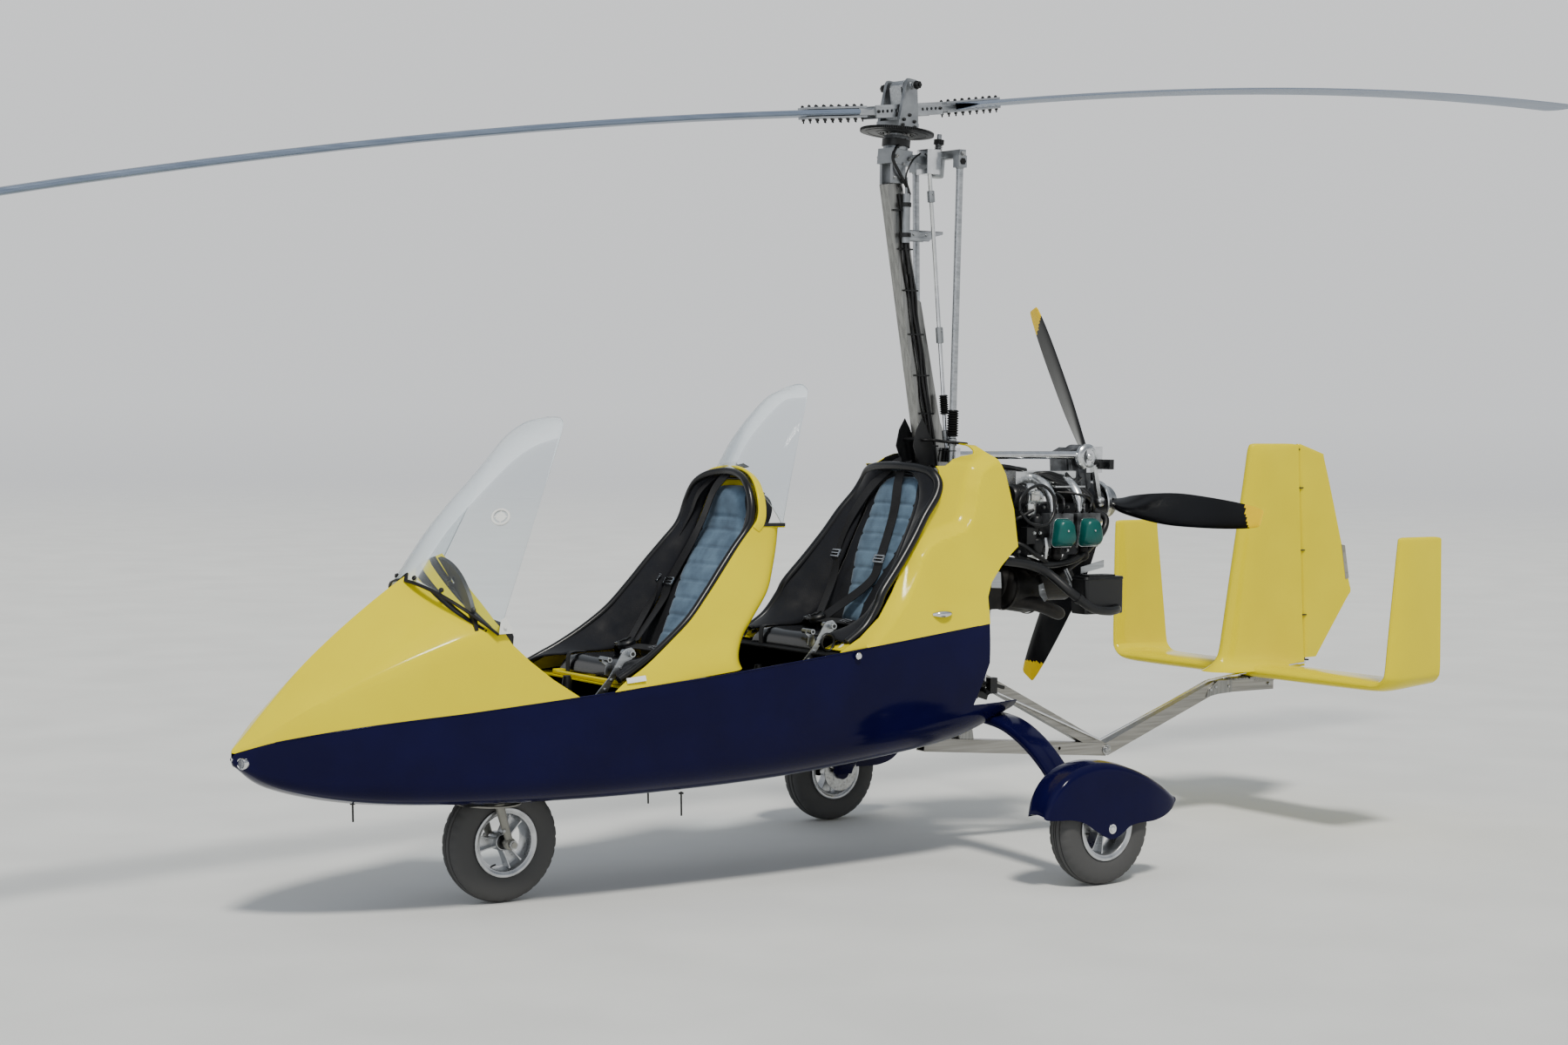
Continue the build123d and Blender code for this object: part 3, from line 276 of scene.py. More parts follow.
# Cast acrylic: nearly invisible face on, a bright line where the sheet is cut.
SCREEN = Clear("acrylic_sheet", "clear_sheet", "#F6F9FB", 0.05, grain=400, relief=0.3)
SCREEN_EDGE = Finish("acrylic_cut_edge", "clear_sheet", "#F2F7FA", 0.25, shade="#DCE8EE", ior=1.49)
LENS = Clear("moulded_lamp_lens", "clear_sheet", "#F4F7F8", 0.05, haze=0.12)
# Coated nylon pack cloth: dull black with a plain weave and a faint sheen.
CORDURA = Woven(
    "nylon_pack_cloth", "seat_vinyl", "#15171D", 0.75, ior=1.3, sheen=0.12, shade="#0E0F14", spots=70,
    grain=3.2, relief=0.2,
)
# Spacer mesh over foam: open knit, a blue grey that fades in patches.
PANEL_CLOTH = Woven(
    "spacer_mesh_cloth", "seat_vinyl", "#5C7285", 0.8, ior=1.3, sheen=0.2, shade="#46596B", spots=60, grain=4,
    relief=0.35,
)
# Woven polyester webbing: flat black, ribbed across.
WEBBING = Woven(
    "polyester_webbing", "seat_vinyl", "#0E0E10", 0.6, ior=1.3, sheen=0.1, shade="#131316", relief=0.25,
)
# Coated vinyl, embossed with a fine leather grain: smooth and black with a wet shine.
VINYL = Finish("coated_vinyl", "seat_vinyl", "#0A0B0E", 0.2, coat=0.4, shade="#0D0E12", grain=5, relief=0.12)
PIPING = Finish(
    "vinyl_edge_roll", "seat_vinyl", "#09090B", 0.3, ior=1.4, shade="#0E0F11", grain=4, relief=0.1,
)
# Injection-moulded nylon, lightly sparked in the mould: an even satin black.
PLASTIC = Finish(
    "moulded_black_nylon", "black_panel", "#0E0F11", 0.4, shade="#090A0C", grain=2.5, relief=0.05,
)
WHITE_PLASTIC = Finish("moulded_white_abs", "black_panel", "#E4E5E2", 0.4, shade="#D5D6D2")
# Stainless tube, brushed along its length: streaks in the highlights.
STAINLESS = Finish(
    "brushed_stainless_mast", "stainless", "#9A9A97", 0.3, 1.0, shade="#7E7E7C", spots=9, grain=2.2,
    relief=0.01, stretch=UPRIGHT,
)
KEEL_STEEL = Finish(
    "brushed_stainless_keel", "stainless", "#A5A39E", 0.34, 1.0, shade="#86847F", spots=9, grain=2.2,
    relief=0.012, stretch=LENGTHWISE,
)
# Drawn and polished steel: a mirror with faint smears.
POLISHED = Finish("polished_steel", "stainless", "#E2E3E4", 0.14, 1.0, shade="#CFD0D2", spots=40)
# Aluminium blasted with glass bead and left bare: soft, pale and even.
BLASTED = Finish(
    "bead_blasted_aluminium", "bead_blasted_alloy", "#9FA2A5", 0.42, 1.0, shade="#898C8F", spots=45,
    grain=1.6, relief=0.03,
)
# Milled and lightly brushed aluminium plate.
PLATE_ALLOY = Finish(
    "milled_aluminium", "bead_blasted_alloy", "#B6B9BC", 0.34, 1.0, shade="#9B9EA1", spots=9, grain=2.0,
    relief=0.01, stretch=LENGTHWISE,
)
# Extruded aluminium blade, anodised: a slate blue that streaks lengthwise.
BLADE = Finish(
    "anodised_extrusion", "blade_alloy", "#7F8CA0", 0.36, 0.6, shade="#727F93", spots=14, grain=3,
    relief=0.006, stretch=LENGTHWISE,
)
# Sand-cast engine alloy, dulled by heat and oil.
ENGINE_CAST = Finish(
    "cast_engine_alloy", "engine_alloy", "#75777A", 0.5, 0.85, shade="#37383A", spots=45, grain=3,
    relief=0.12,
)
ENGINE_DARK = Finish(
    "oiled_crankcase_alloy", "engine_alloy", "#2A2B2F", 0.42, 0.6, shade="#121315", spots=45, grain=4,
    relief=0.15,
)
INTAKE_ALLOY = Finish(
    "cast_intake_alloy", "engine_alloy", "#DCDEDE", 0.26, 1.0, shade="#B9BBBC", spots=45, grain=2.5,
    relief=0.05,
)
# Baked enamel on a cast cover: deep teal with a slight orange peel.
TEAL = Finish(
    "baked_teal_enamel", "teal_cover", "#00524D", 0.3, ior=1.4, shade="#00443F", grain=3.5, relief=0.08,
)
# Powder-coated steel, and heat-blackened steel whose colour is darkened further as painted shade for the
# shadow that falls on the silencer.
BLACK_STEEL = Finish(
    "powder_coated_steel", "black_steel", "#0E0F11", 0.4, shade="#090A0B", grain=2.5, relief=0.04,
)
# Silencer steel: dark from heat, and darker still as painted shade.
EXHAUST = Finish(
    "heat_blackened_steel_darkened_as_shade", "black_steel", "#2B2927", 0.5, 0.6, shade="#131211", spots=45, grain=4,
    relief=0.1,
)
# Painted fork and spacer steel; zinc-plated bolts with a cool shine.
GREY_STEEL = Finish("painted_grey_steel", "grey_steel", "#9A9890", 0.38, 0.4, shade="#82817A", grain=3)
ZINC = Finish("zinc_plated_steel", "grey_steel", "#B9BABA", 0.3, 1.0, shade="#8F9090", spots=12)
# Vulcanised rubber: dull black, dusty on the tread.
RUBBER = Finish("tyre_rubber", "tyre_rubber", "#08080A", 0.7, ior=1.22, shade="#0D0D0D", spots=45, relief=0.1)
HOSE = Finish(
    "moulded_rubber_hose", "tyre_rubber", "#0B0C0D", 0.38, ior=1.4, shade="#121315", spots=40, relief=0.05,
)
SEAL = Finish("extruded_rubber_seal", "tyre_rubber", "#0A0A0B", 0.5, ior=1.35, shade="#101011", relief=0.04)
# Cast aluminium wheel in clear lacquer.
WHEEL_ALLOY = Finish(
    "lacquered_cast_wheel", "bead_blasted_alloy", "#C9CBCD", 0.3, 0.9, shade="#ABADB0", spots=45, grain=2.5,
    relief=0.05,
)
# Carbon composite in black paint, the tips sprayed yellow.
PROP_BLACK = Finish(
    "painted_composite", "blade_composite", "#050507", 0.22, ior=1.4, shade="#0A0A0D", grain=60,
)
PROP_YELLOW = Finish(
    "sprayed_yellow_tip", "blade_composite", "#FFD800", 0.24, ior=1.3, shade="#F5CC00", grain=60,
)
# Screeded floor, sealed matt: nearly white, with the faintest mottle.
FLOOR = Finish(
    "sealed_screed", "", "#D9DAD8", 0.85, ior=1.3, shade="#D3D4D2", spots=600, grain=8, relief=0.05,
)


# Shapes


def blend_rows(rows: Outline, steps: int, closed: bool = False) -> list[Vector]:
    """Puts more rows between those of a table, on smooth curves through them.

    Args:
        rows: Points, or rows of sizes, with the same number of columns.
        steps: How many rows each stretch becomes.
        closed: Whether the last row runs on to the first.

    Returns:
        The rows as vectors.
    """
    table = [Vector(row) for row in rows]
    count = len(table)
    if count < 3 and not closed:
        return [table[0].lerp(table[-1], i / steps) for i in range(steps + 1)]
    made = []
    for i in range(count if closed else count - 1):
        b, c = table[i], table[(i + 1) % count]
        a = table[i - 1] if closed or i else b + (b - c)
        d = table[(i + 2) % count] if closed or i + 2 < count else c + (c - b)
        for step in range(steps):
            t = step / steps
            bend, twist = 2 * a - 5 * b + 4 * c - d, 3 * b - a - 3 * c + d
            made.append(0.5 * (2 * b + (c - a) * t + bend * t * t + twist * t**3))
    return made if closed else made + [table[-1]]


def arc(start: Numbers, middle: Numbers, end: Numbers, steps: int) -> list[Vector]:
    """Points on the circle through three points.

    Args:
        start: Where the arc starts; the first of the new points.
        middle: A point that it goes through.
        end: Where it ends; left out of the new points.
        steps: Number of new points.

    Returns:
        The points, on a straight line where the three given ones are on one.
    """
    a, b, c = Vector(start), Vector(middle), Vector(end)
    ab, ac = b - a, c - a
    along, rise = ab.dot(ab), ac.dot(ac)
    mixed = ab.dot(ac)
    denominator = 2 * (along * rise - mixed * mixed)
    if abs(denominator) < 1e-6 * along * rise:
        return [a.lerp(c, i / steps) for i in range(steps)]
    centre = a + ab * (rise * (along - mixed) / denominator) + ac * (along * (rise - mixed) / denominator)
    u = a - centre
    radius = u.length
    u.normalize()
    v = (b - centre) - (b - centre).dot(u) * u
    v.normalize()
    turn = math.atan2((c - centre).dot(v), (c - centre).dot(u))
    if turn <= 0:
        turn += 2 * math.pi
    turns = [turn * i / steps for i in range(steps)]
    return [centre + radius * (math.cos(t) * u + math.sin(t) * v) for t in turns]


def axes(origin: Numbers, normal: Numbers, level: Numbers = (1.0, 0.0, 0.0)) -> Matrix:
    """Makes a frame.

    Args:
        origin: Its origin.
        normal: Direction of its z axis.
        level: Direction that its x axis keeps as near to as it can.

    Returns:
        The frame as a matrix.
    """
    z = Vector(normal).normalized()
    x = Vector(level) - Vector(level).dot(z) * z
    if x.length < 1e-3:
        x = Vector((0, 1, 0)) - z.y * z
    x.normalize()
    y = z.cross(x)
    turned = Matrix((x, y, z)).transposed().to_4x4()
    return Matrix.Translation(Vector(origin)) @ turned


def spin(degrees: float) -> Matrix:
    """Rotation about the z axis."""
    return Matrix.Rotation(math.radians(degrees), 4, "Z")


def inside(outline: Outline, x: float, z: float) -> bool:
    """Whether a point lies inside a closed outline.

    Args:
        outline: The outline's corners.
        x: First coordinate of the point.
        z: Second coordinate.

    Returns:
        True inside, False outside.
    """
    found = False
    for (x1, z1), (x2, z2) in zip(outline, [*outline[1:], outline[0]]):
        if (z1 > z) != (z2 > z) and x < (x2 - x1) * (z - z1) / (z2 - z1) + x1:
            found = not found
    return found


def circle(radius: float, sides: int, flat: float = 1.0) -> Points:
    """Corners of a round outline, or of an oval one that is flat times as tall as it is wide."""
    turns = [2 * math.pi * i / sides for i in range(sides)]
    return [(radius * math.cos(t), flat * radius * math.sin(t)) for t in turns]


def bar_outline(width: float, depth: float, corner: float = 0.0, steps: int = 3) -> Points:
    """Rectangular outline about its middle.

    Args:
        width: Size along x.
        depth: Size along y.
        corner: Radius of the corners; 0 leaves them square.
        steps: Stretches of each rounded corner.

    Returns:
        The corners in order.
    """
    if not corner:
        return [(sx * width / 2, sy * depth / 2) for sx, sy in ((1, -1), (1, 1), (-1, 1), (-1, -1))]
    points = []
    for turn, sx, sy in ((-90, 1, -1), (0, 1, 1), (90, -1, 1), (180, -1, -1)):
        for step in range(steps + 1):
            t = math.radians(turn + 90 * step / steps)
            x = sx * (width / 2 - corner) + corner * math.cos(t)
            points.append((x, sy * (depth / 2 - corner) + corner * math.sin(t)))
    return points


def both_sides(path: Outline) -> list[tuple[float, ...]]:
    """A port run of points carried on to its mirror image, the last point shared."""
    return [*path, *[(x, -y, z) for x, y, z in reversed(path[:-1])]]


def along_run(points: Sequence[Vector], share: float) -> Vector:
    """Point on a run of points.

    Args:
        points: The run.
        share: How far along its length, from 0 to 1.

    Returns:
        The point.
    """
    lengths = [(b - a).length for a, b in zip(points, points[1:])]
    left = share * sum(lengths)
    for (a, b), length in zip(zip(points, points[1:]), lengths):
        if left <= length:
            return a.lerp(b, left / max(length, 1e-6))
        left -= length
    return points[-1]


def side_plane(y: float = 0.0) -> Matrix:
    """Frame for an outline drawn from the side: x forward, y up, z to starboard, at a distance to port."""
    return axes((0, y, 0), (0, -1, 0), (1, 0, 0))


def round_edges(piece: Piece, radius: float, crease: float) -> None:
    """Rounds a piece's sharp edges.

    Args:
        piece: The piece.
        radius: Radius in millimetres.
        crease: Angle in degrees above which an edge is sharp.
    """
    rounding = piece.modifiers.new("edge", "BEVEL")
    rounding.width = radius * MM
    rounding.segments = 2
    rounding.limit_method = "ANGLE"
    rounding.angle_limit = math.radians(crease)
    rounding.harden_normals = True


class Form:
    """A mesh in the making, in millimetres, which settle() turns into a piece in metres."""

    # How far in millimetres beyond its ends each side of a cut takes faces with it.
    REACH = 12.0

    def __init__(self) -> None:
        """Starts an empty form; new faces take the first finish."""
        self.mesh = bmesh.new()
        self.paint = 0

    def skin(self, loops: Sequence[Sequence[Numbers]], closed: bool = True, caps: bool = True) -> list:
        """Faces between loops of points.

        Args:
            loops: Rows with the same number of points each.
            closed: Whether each row runs on to its own start.
            caps: Whether closed rows get a face at both ends.

        Returns:
            The new faces.
        """
        rows = [[self.mesh.verts.new(point) for point in loop] for loop in loops]
        count = len(rows[0])
        made = []
        for near, far in zip(rows, rows[1:]):
            for i in range(count if closed else count - 1):
                j = (i + 1) % count
                made.append(self.mesh.faces.new((near[i], near[j], far[j], far[i])))
        if closed and caps:
            made.append(self.mesh.faces.new(rows[0][::-1]))
            made.append(self.mesh.faces.new(rows[-1]))
        for face in made:
            face.material_index = self.paint
        return made

    def lathe(self, profile: Outline, place: Matrix, sides: int = 40, ring: bool = False) -> None:
        """Turns a profile about the z axis of a frame.

        Args:
            profile: Points by radius and height.
            place: The frame.
            sides: Corners of the round section.
            ring: Whether the profile is closed, so that the middle stays open.
        """
        rows = [*profile, profile[0]] if ring else profile
        loops = []
        for radius, height in rows:
            loops.append([place @ Vector((x, y, height)) for x, y in circle(max(radius, 0.02), sides)])
        self.skin(loops, caps=not ring)

    def plate(self, outline: Outline, place: Matrix, low: float, high: float) -> None:
        """Flat plate: an (x, y) outline in a frame, from height low to high."""
        self.skin([[place @ Vector((x, y, z)) for x, y in outline] for z in (low, high)])

    def block(self, centre: Numbers, size: Numbers, place: Optional[Matrix] = None) -> None:
        """Rectangular block about its centre."""
        where = (place or Matrix.Identity(4)) @ Matrix.Translation(Vector(centre))
        self.plate(bar_outline(size[0], size[1]), where, -size[2] / 2, size[2] / 2)

    def sweep(
        self, section: Outline, path: Outline, steps: int = 5, level: Numbers = (0.0, 0.0, 1.0),
        grow: float | Numbers = 1.0, closed: bool = False,
    ) -> None:
        """Carries a section along a smooth curve.

        Args:
            section: Closed (x, y) outline; its y stays near level.
            path: Points that the curve goes through.
            steps: Rows for each stretch of the path; 0 keeps straight runs.
            level: Direction that the section's y keeps to.
            grow: Scale of the section, one or one for each point of the path.
            closed: Whether the path runs on to its start.
        """
        scale = grow if isinstance(grow, (tuple, list)) else [grow] * len(path)
        rows = [(*point, size) for point, size in zip(path, scale)]
        run = blend_rows(rows, steps, closed) if steps else [Vector(row) for row in rows]
        loops = []
        last = len(run) - 1
        for i, row in enumerate(run):
            before = run[i - 1] if i or closed else row
            after = run[(i + 1) % len(run)] if i < last or closed else row
            going = (after.to_3d() - before.to_3d()).normalized()
            up = Vector(level) - Vector(level).dot(going) * going
            if up.length < 1e-3:
                up = Vector((1, 0, 0)) - going.x * going
            up.normalize()
            across = going.cross(up)
            loops.append([row.to_3d() + row.w * (x * across + y * up) for x, y in section])
        if closed:
            loops.append(loops[0])
        self.skin(loops, caps=not closed)

    def tube(
        self, path: Outline, radius: float | Numbers, sides: int = 14, steps: int = 5, closed: bool = False,
    ) -> None:
        """Round bar or pipe along a smooth curve; radius is one, or one for each point."""
        self.sweep(circle(1.0, sides), path, steps, (0.13, 0.21, 0.97), radius, closed)

    def bolt(self, at: Numbers, axis: Numbers, across: float = 13.0, stud: float = 0.0) -> None:
        """Hexagon head on a washer.

        Args:
            at: Where it sits.
            axis: Direction in which the head stands out.
            across: Size of the head across its flats.
            stud: Length of the thread that shows beyond it.
        """
        place = axes(at, axis)
        r = across / 2
        self.lathe(((0, 0), (1.25 * r, 0), (1.25 * r, 0.18 * r), (0, 0.18 * r)), place, 16)
        head = ((0, 0.15), (1.1, 0.15), (1.15, 1.0), (1.0, 1.25), (0, 1.25))
        self.lathe([(a * r, b * r) for a, b in head], place, 6)
        if stud:
            self.lathe(((0, r), (0.5 * r, r), (0.5 * r, r + stud), (0, r + stud + 1)), place, 10)

    def bolt_in(self, place: Matrix, at: Numbers, way: Numbers, across: float, stud: float = 0.0) -> None:
        """Bolt whose place and direction are given in a frame."""
        self.bolt(place @ Vector(at), place.to_3x3() @ Vector(way), across, stud)

    def spring(self, start: Numbers, end: Numbers, radius: float, wire: float, turns: int) -> None:
        """Coil spring.

        Args:
            start: One end of its middle line.
            end: The other end.
            radius: Radius of the coil.
            wire: Radius of the wire.
            turns: Number of turns.
        """
        a, b = Vector(start), Vector(end)
        place = axes(a, b - a)
        length = (b - a).length
        count = turns * 10
        points = []
        for i in range(count + 1):
            t = 2 * math.pi * turns * i / count
            points.append(place @ Vector((radius * math.cos(t), radius * math.sin(t), length * i / count)))
        self.tube(points, wire, 6, 0)

    def mirror(self) -> None:
        """Adds the starboard twin of everything so far."""
        first = self.mesh.verts[:] + self.mesh.edges[:] + self.mesh.faces[:]
        copy = bmesh.ops.duplicate(self.mesh, geom=first)
        twins = [item for item in copy["geom"] if isinstance(item, bmesh.types.BMVert)]
        faces = [item for item in copy["geom"] if isinstance(item, bmesh.types.BMFace)]
        for vert in twins:
            vert.co.y = -vert.co.y
        bmesh.ops.reverse_faces(self.mesh, faces=faces)

    def cut(self, outline: Outline, plane: str = "xz") -> None:
        """Takes away what lies inside an outline.

        Args:
            outline: The outline's corners.
            plane: How it is drawn: from the side (xz) or from above (xy).
        """
        second = 2 if plane == "xz" else 1
        through = Vector((0, 1, 0)) if second == 2 else Vector((0, 0, 1))
        corners = [(float(a), float(b)) for a, b in outline]
        for start, end in zip(corners, corners[1:] + corners[:1]):
            low = [min(pair) - self.REACH for pair in zip(start, end)]
            high = [max(pair) + self.REACH for pair in zip(start, end)]
            on, way = Vector(), Vector()
            on[0], on[second] = start
            way[0], way[second] = end[0] - start[0], end[1] - start[1]
            near = []
            for face in self.mesh.faces:
                xs = [v.co.x for v in face.verts]
                zs = [v.co[second] for v in face.verts]
                if max(xs) >= low[0] and min(xs) <= high[0] and max(zs) >= low[1] and min(zs) <= high[1]:
                    near.append(face)
            geometry = set(near)
            for face in near:
                geometry.update(face.edges)
                geometry.update(face.verts)
            normal = way.cross(through).normalized()
            bmesh.ops.bisect_plane(self.mesh, geom=list(geometry), plane_co=on, plane_no=normal, dist=0.01)
        gone = []
        for face in self.mesh.faces:
            centre = face.calc_center_median()
            if inside(corners, centre.x, centre[second]):
                gone.append(face)
        bmesh.ops.delete(self.mesh, geom=gone, context="FACES")

    def settle(
        self, name: str, *finishes: Finish, body: Body = Body.AIRFRAME, wall: float = 0.0, edge: float = 0.0,
        crease: float = 38.0, stands_for: Sequence[str] = (), rim: int = 0, weld: float = 0.02,
        smooth: int = 0,
    ) -> Piece:
        """Turns the form into a piece of the aircraft.

        Args:
            name: The piece's name.
            finishes: Its finishes; faces refer to them by number.
            body: The body that it rides on.
            wall: Thickness in millimetres that an open sheet gets, inward; 0 for a closed solid.
            edge: Radius in millimetres of the rounded edges.
            crease: Angle in degrees above which an edge stays sharp.
            stands_for: CAD nodes that the piece replaces.
            rim: Number of the finish on a sheet's cut edge, counted from the face's own.
            weld: Distance in millimetres under which points become one.
            smooth: Levels of subdivision.

        Returns:
            The piece.
        """
        bmesh.ops.remove_doubles(self.mesh, verts=self.mesh.verts, dist=weld)
        if wall:
            middle = sum((v.co for v in self.mesh.verts), Vector()) / len(self.mesh.verts)
            self.mesh.normal_update()
            lean = sum(f.calc_area() * f.normal.dot(f.calc_center_median() - middle) for f in self.mesh.faces)
            if lean < 0:
                bmesh.ops.reverse_faces(self.mesh, faces=self.mesh.faces)
        else:
            bmesh.ops.recalc_face_normals(self.mesh, faces=self.mesh.faces)
        data = bpy.data.meshes.new(name)
        self.mesh.to_mesh(data)
        self.mesh.free()
        data.transform(Matrix.Scale(MM, 4))
        for finish in finishes:
            data.materials.append(finish.material())
        data.shade_smooth()
        data.set_sharp_from_angle(angle=math.radians(crease))
        piece = bpy.data.objects.new(name, data)
        bpy.context.scene.collection.objects.link(piece)
        if smooth:
            piece.modifiers.new("smooth", "SUBSURF").render_levels = smooth
            piece.modifiers["smooth"].levels = smooth
        if wall:
            thicken = piece.modifiers.new("wall", "SOLIDIFY")
            thicken.thickness = wall * MM
            thicken.offset = -1.0
            thicken.use_even_offset = True
            thicken.material_offset_rim = rim
            thicken.material_offset = min(len(finishes) - 1, 1) if rim == 0 else 0
        if edge:
            round_edges(piece, edge, crease)
        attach(piece, body.value)
        if stands_for:
            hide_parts(*stands_for)
        PIECES.append(piece)
        return piece


def paint(node: str, finish: Finish, edge: float = 0.0) -> None:
    """Dresses a CAD node that keeps its shape.

    Args:
        node: The node's name.
        finish: Its finish.
        edge: Radius in millimetres of the rounded edges.
    """
    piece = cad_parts[node]
    piece.data.materials.clear()
    piece.data.materials.append(finish.material())
    if edge:
        join = piece.modifiers.new("join", "WELD")
        join.merge_threshold = 0.05 * MM
        round_edges(piece, edge, 35)
    PIECES.append(piece)


# The body shell

# Lower hull: station x, half width at the sill, belly height, sill height.
TUB = (
    (2566, 14, 520, 560), (2450, 110, 440, 603), (2200, 215, 378, 645), (1850, 296, 348, 679),
    (1450, 338, 335, 716), (1050, 356, 336, 751), (650, 363, 350, 792), (250, 360, 384, 836),
    (-100, 345, 430, 874), (-360, 322, 520, 900),
)
TUB_ROWS = blend_rows(TUB, 10)


def sill_at(x: float) -> tuple[float, float]:
    """Where the sill is at a station.

    Args:
        x: The station.

    Returns:
        Half width and height of the sill.
    """
    row = TUB_ROWS[0] if x > 0 else TUB_ROWS[-1]
    for near, far in zip(TUB_ROWS, TUB_ROWS[1:]):
        if far[0] <= x <= near[0]:
            row = near.lerp(far, (near[0] - x) / (near[0] - far[0]))
            break
    return row[1], row[3]


def below_sill(drop: float = 0.0) -> Points:
    """Outline from the side of all that lies below the sill, lowered by drop."""
    line = [(row[0], row[3] - drop) for row in TUB_ROWS]
    return [(2700, line[0][1]), *line, (-700, line[-1][1]), (-700, -50), (2700, -50)]


def mirrored(points: Outline) -> list[tuple[float, ...]]:
    """A half section run on to its mirror image, the last point shared."""
    return [*points, *[(-p[0], *p[1:]) for p in reversed(points[:-1])]]


@dataclass
class Hull:
    """Navy tub and yellow hood, with the lamps, the belly plate and the sill's rounded edge."""

    rear_cut: Outline = ((-120, 590), (-185, 741), (-185, 1000), (-500, 1000), (-500, 590))
    # Hood: station x, ridge height.
    ridge: Outline = (
        (2566, 576), (2530, 612), (2450, 702), (2324, 834), (2158, 972), (1989, 1091), (1850, 1166),
        (1640, 1215), (1450, 1240),
    )
    hood_cut: Outline = (
        (1380, 600), (1400, 640), (1510, 706), (1610, 770), (1690, 833), (1750, 890), (1795, 960),
        (1826, 1060), (1850, 1180), (1850, 1400), (1380, 1400),
    )
    well: tuple[float, float, float] = (1640, 190, 155)
    wall: float = 5
    # How far the crown is drawn in towards a ridge, from 0, round, to 1, straight.
    crease: float = 0.8
    rows: list[Vector] = field(default_factory=list)

    def hood_rows(self) -> list[Vector]:
        """Works out the hood's rows the first time they are asked for.

        Returns:
            Rows of station x, half width, sill height and ridge height.
        """
        if not self.rows:
            self.rows.extend(blend_rows([(x, *sill_at(x), ridge) for x, ridge in self.ridge], 8))
        return self.rows

    def hood_section(self, half: float, sill: float, ridge: float, steps: int = 12) -> Points:
        """Half section of the hood from the sill to the softly creased ridge.

        Args:
            half: Half width at the sill.
            sill: Height of the sill.
            ridge: Height of the ridge.
            steps: Stretches of the crown.

        Returns:
            Points across and up.
        """
        rise = ridge - sill
        low, mid = (0.99 * half, sill + 0.25 * rise), (0.96 * half, sill + 0.5 * rise)
        side = arc((half, sill, 0), (*low, 0), (*mid, 0), 5)
        crown = arc((*mid, 0), (0, ridge, 0), (-mid[0], mid[1], 0), 2 * steps)[: steps + 1]
        points = [(p.x, p.y) for p in side]
        for p in crown[:-1]:
            straight = ridge + (mid[1] - ridge) * p.x / mid[0]
            points.append((p.x, p.y + self.crease * (straight - p.y)))
        return [*points, (0.0, ridge)]

    def height(self, x: float, y: float) -> float:
        """Height of the hood's surface over a point.

        Args:
            x: Station of the point.
            y: Its distance from the middle.

        Returns:
            The height.
        """
        rows = self.hood_rows()
        for near, far in zip(rows, rows[1:]):
            if far[0] <= x <= near[0]:
                row = near.lerp(far, (near[0] - x) / (near[0] - far[0]))
                section = self.hood_section(row[1], row[2], row[3])
                for (y1, z1), (y2, z2) in zip(section, section[1:]):
                    if y2 <= abs(y) <= y1:
                        return z1 + (z2 - z1) * (y1 - abs(y)) / max(y1 - y2, 1e-6)
                return section[0][1]
        return rows[-1][3]

    @staticmethod
    def tub_section(half: float, belly: float, sill: float) -> Points:
        """Half section of the tub from the sill to the keel line.

        Args:
            half: Half width at the sill.
            belly: Height of the keel line.
            sill: Height of the sill.

        Returns:
            Points across and up.
        """
        deep = sill - belly
        points = [
            (half, sill), (1.01 * half, belly + 0.65 * deep), (0.97 * half, belly + 0.36 * deep),
            (0.86 * half, belly + 0.15 * deep), (0.60 * half, belly + 0.06 * deep), (0, belly),
            (-0.60 * half, belly + 0.06 * deep),
        ]
        flat = [Vector((*p, 0)) for p in points]
        run = arc(flat[0], flat[1], flat[2], 10) + arc(flat[2], flat[3], flat[4], 9)
        run += arc(flat[4], flat[5], flat[6], 12)[:7]
        return [(p.x, p.y) for p in run]

    def build(self) -> None:
        """Makes the tub, the hood and their fittings."""
        self.make_tub()
        self.make_hood()
        self.make_sill_edge()
        self.make_lamps()
        self.make_belly()

    def make_tub(self) -> None:
        """Lower hull, open over the nose wheel and cut back at the rear."""
        form = Form()
        loops = []
        for x, half, belly, sill in TUB_ROWS:
            section = mirrored(self.tub_section(half, belly, sill))
            loops.append([(x, y, z) for y, z in section])
        tip = [(2571.0, 0.25 * y, 542 + 0.3 * (z - 542)) for _, y, z in loops[0]]
        form.skin([tip, *loops], closed=False)
        form.cut(self.rear_cut)
        x, reach, half = self.well
        form.cut([(x + px, py) for px, py in bar_outline(2 * reach, 2 * half, 60, 5)], "xy")
        form.settle("tub_shell", NAVY, LINER, wall=self.wall, edge=1.2, stands_for=["tub"])

    def make_hood(self) -> None:
        """Nose hood from the tip to the front cockpit."""
        form = Form()
        loops = []
        for x, half, sill, ridge in self.hood_rows():
            loops.append([(x, y, z) for y, z in mirrored(self.hood_section(half, sill + 0.6, ridge))])
        tip = [(2571.0, 0.25 * y, 560.6 + 0.4 * (z - 560.6)) for _, y, z in loops[0]]
        form.skin([tip, *loops], closed=False)
        form.cut(self.hood_cut)
        form.settle("hood_shell", YELLOW, LINER, wall=self.wall, edge=1.5, stands_for=["hood"])

    def make_sill_edge(self) -> None:
        """Rounded edge of the tub along both sills, where the cockpits are open."""
        form = Form()
        form.tube([(x, half - 1.0, z - 2.2) for x, half, _, z in TUB_ROWS if -150 < x < 2480], 3.4, 10, 1)
        form.mirror()
        form.settle("sill_edge", NAVY)

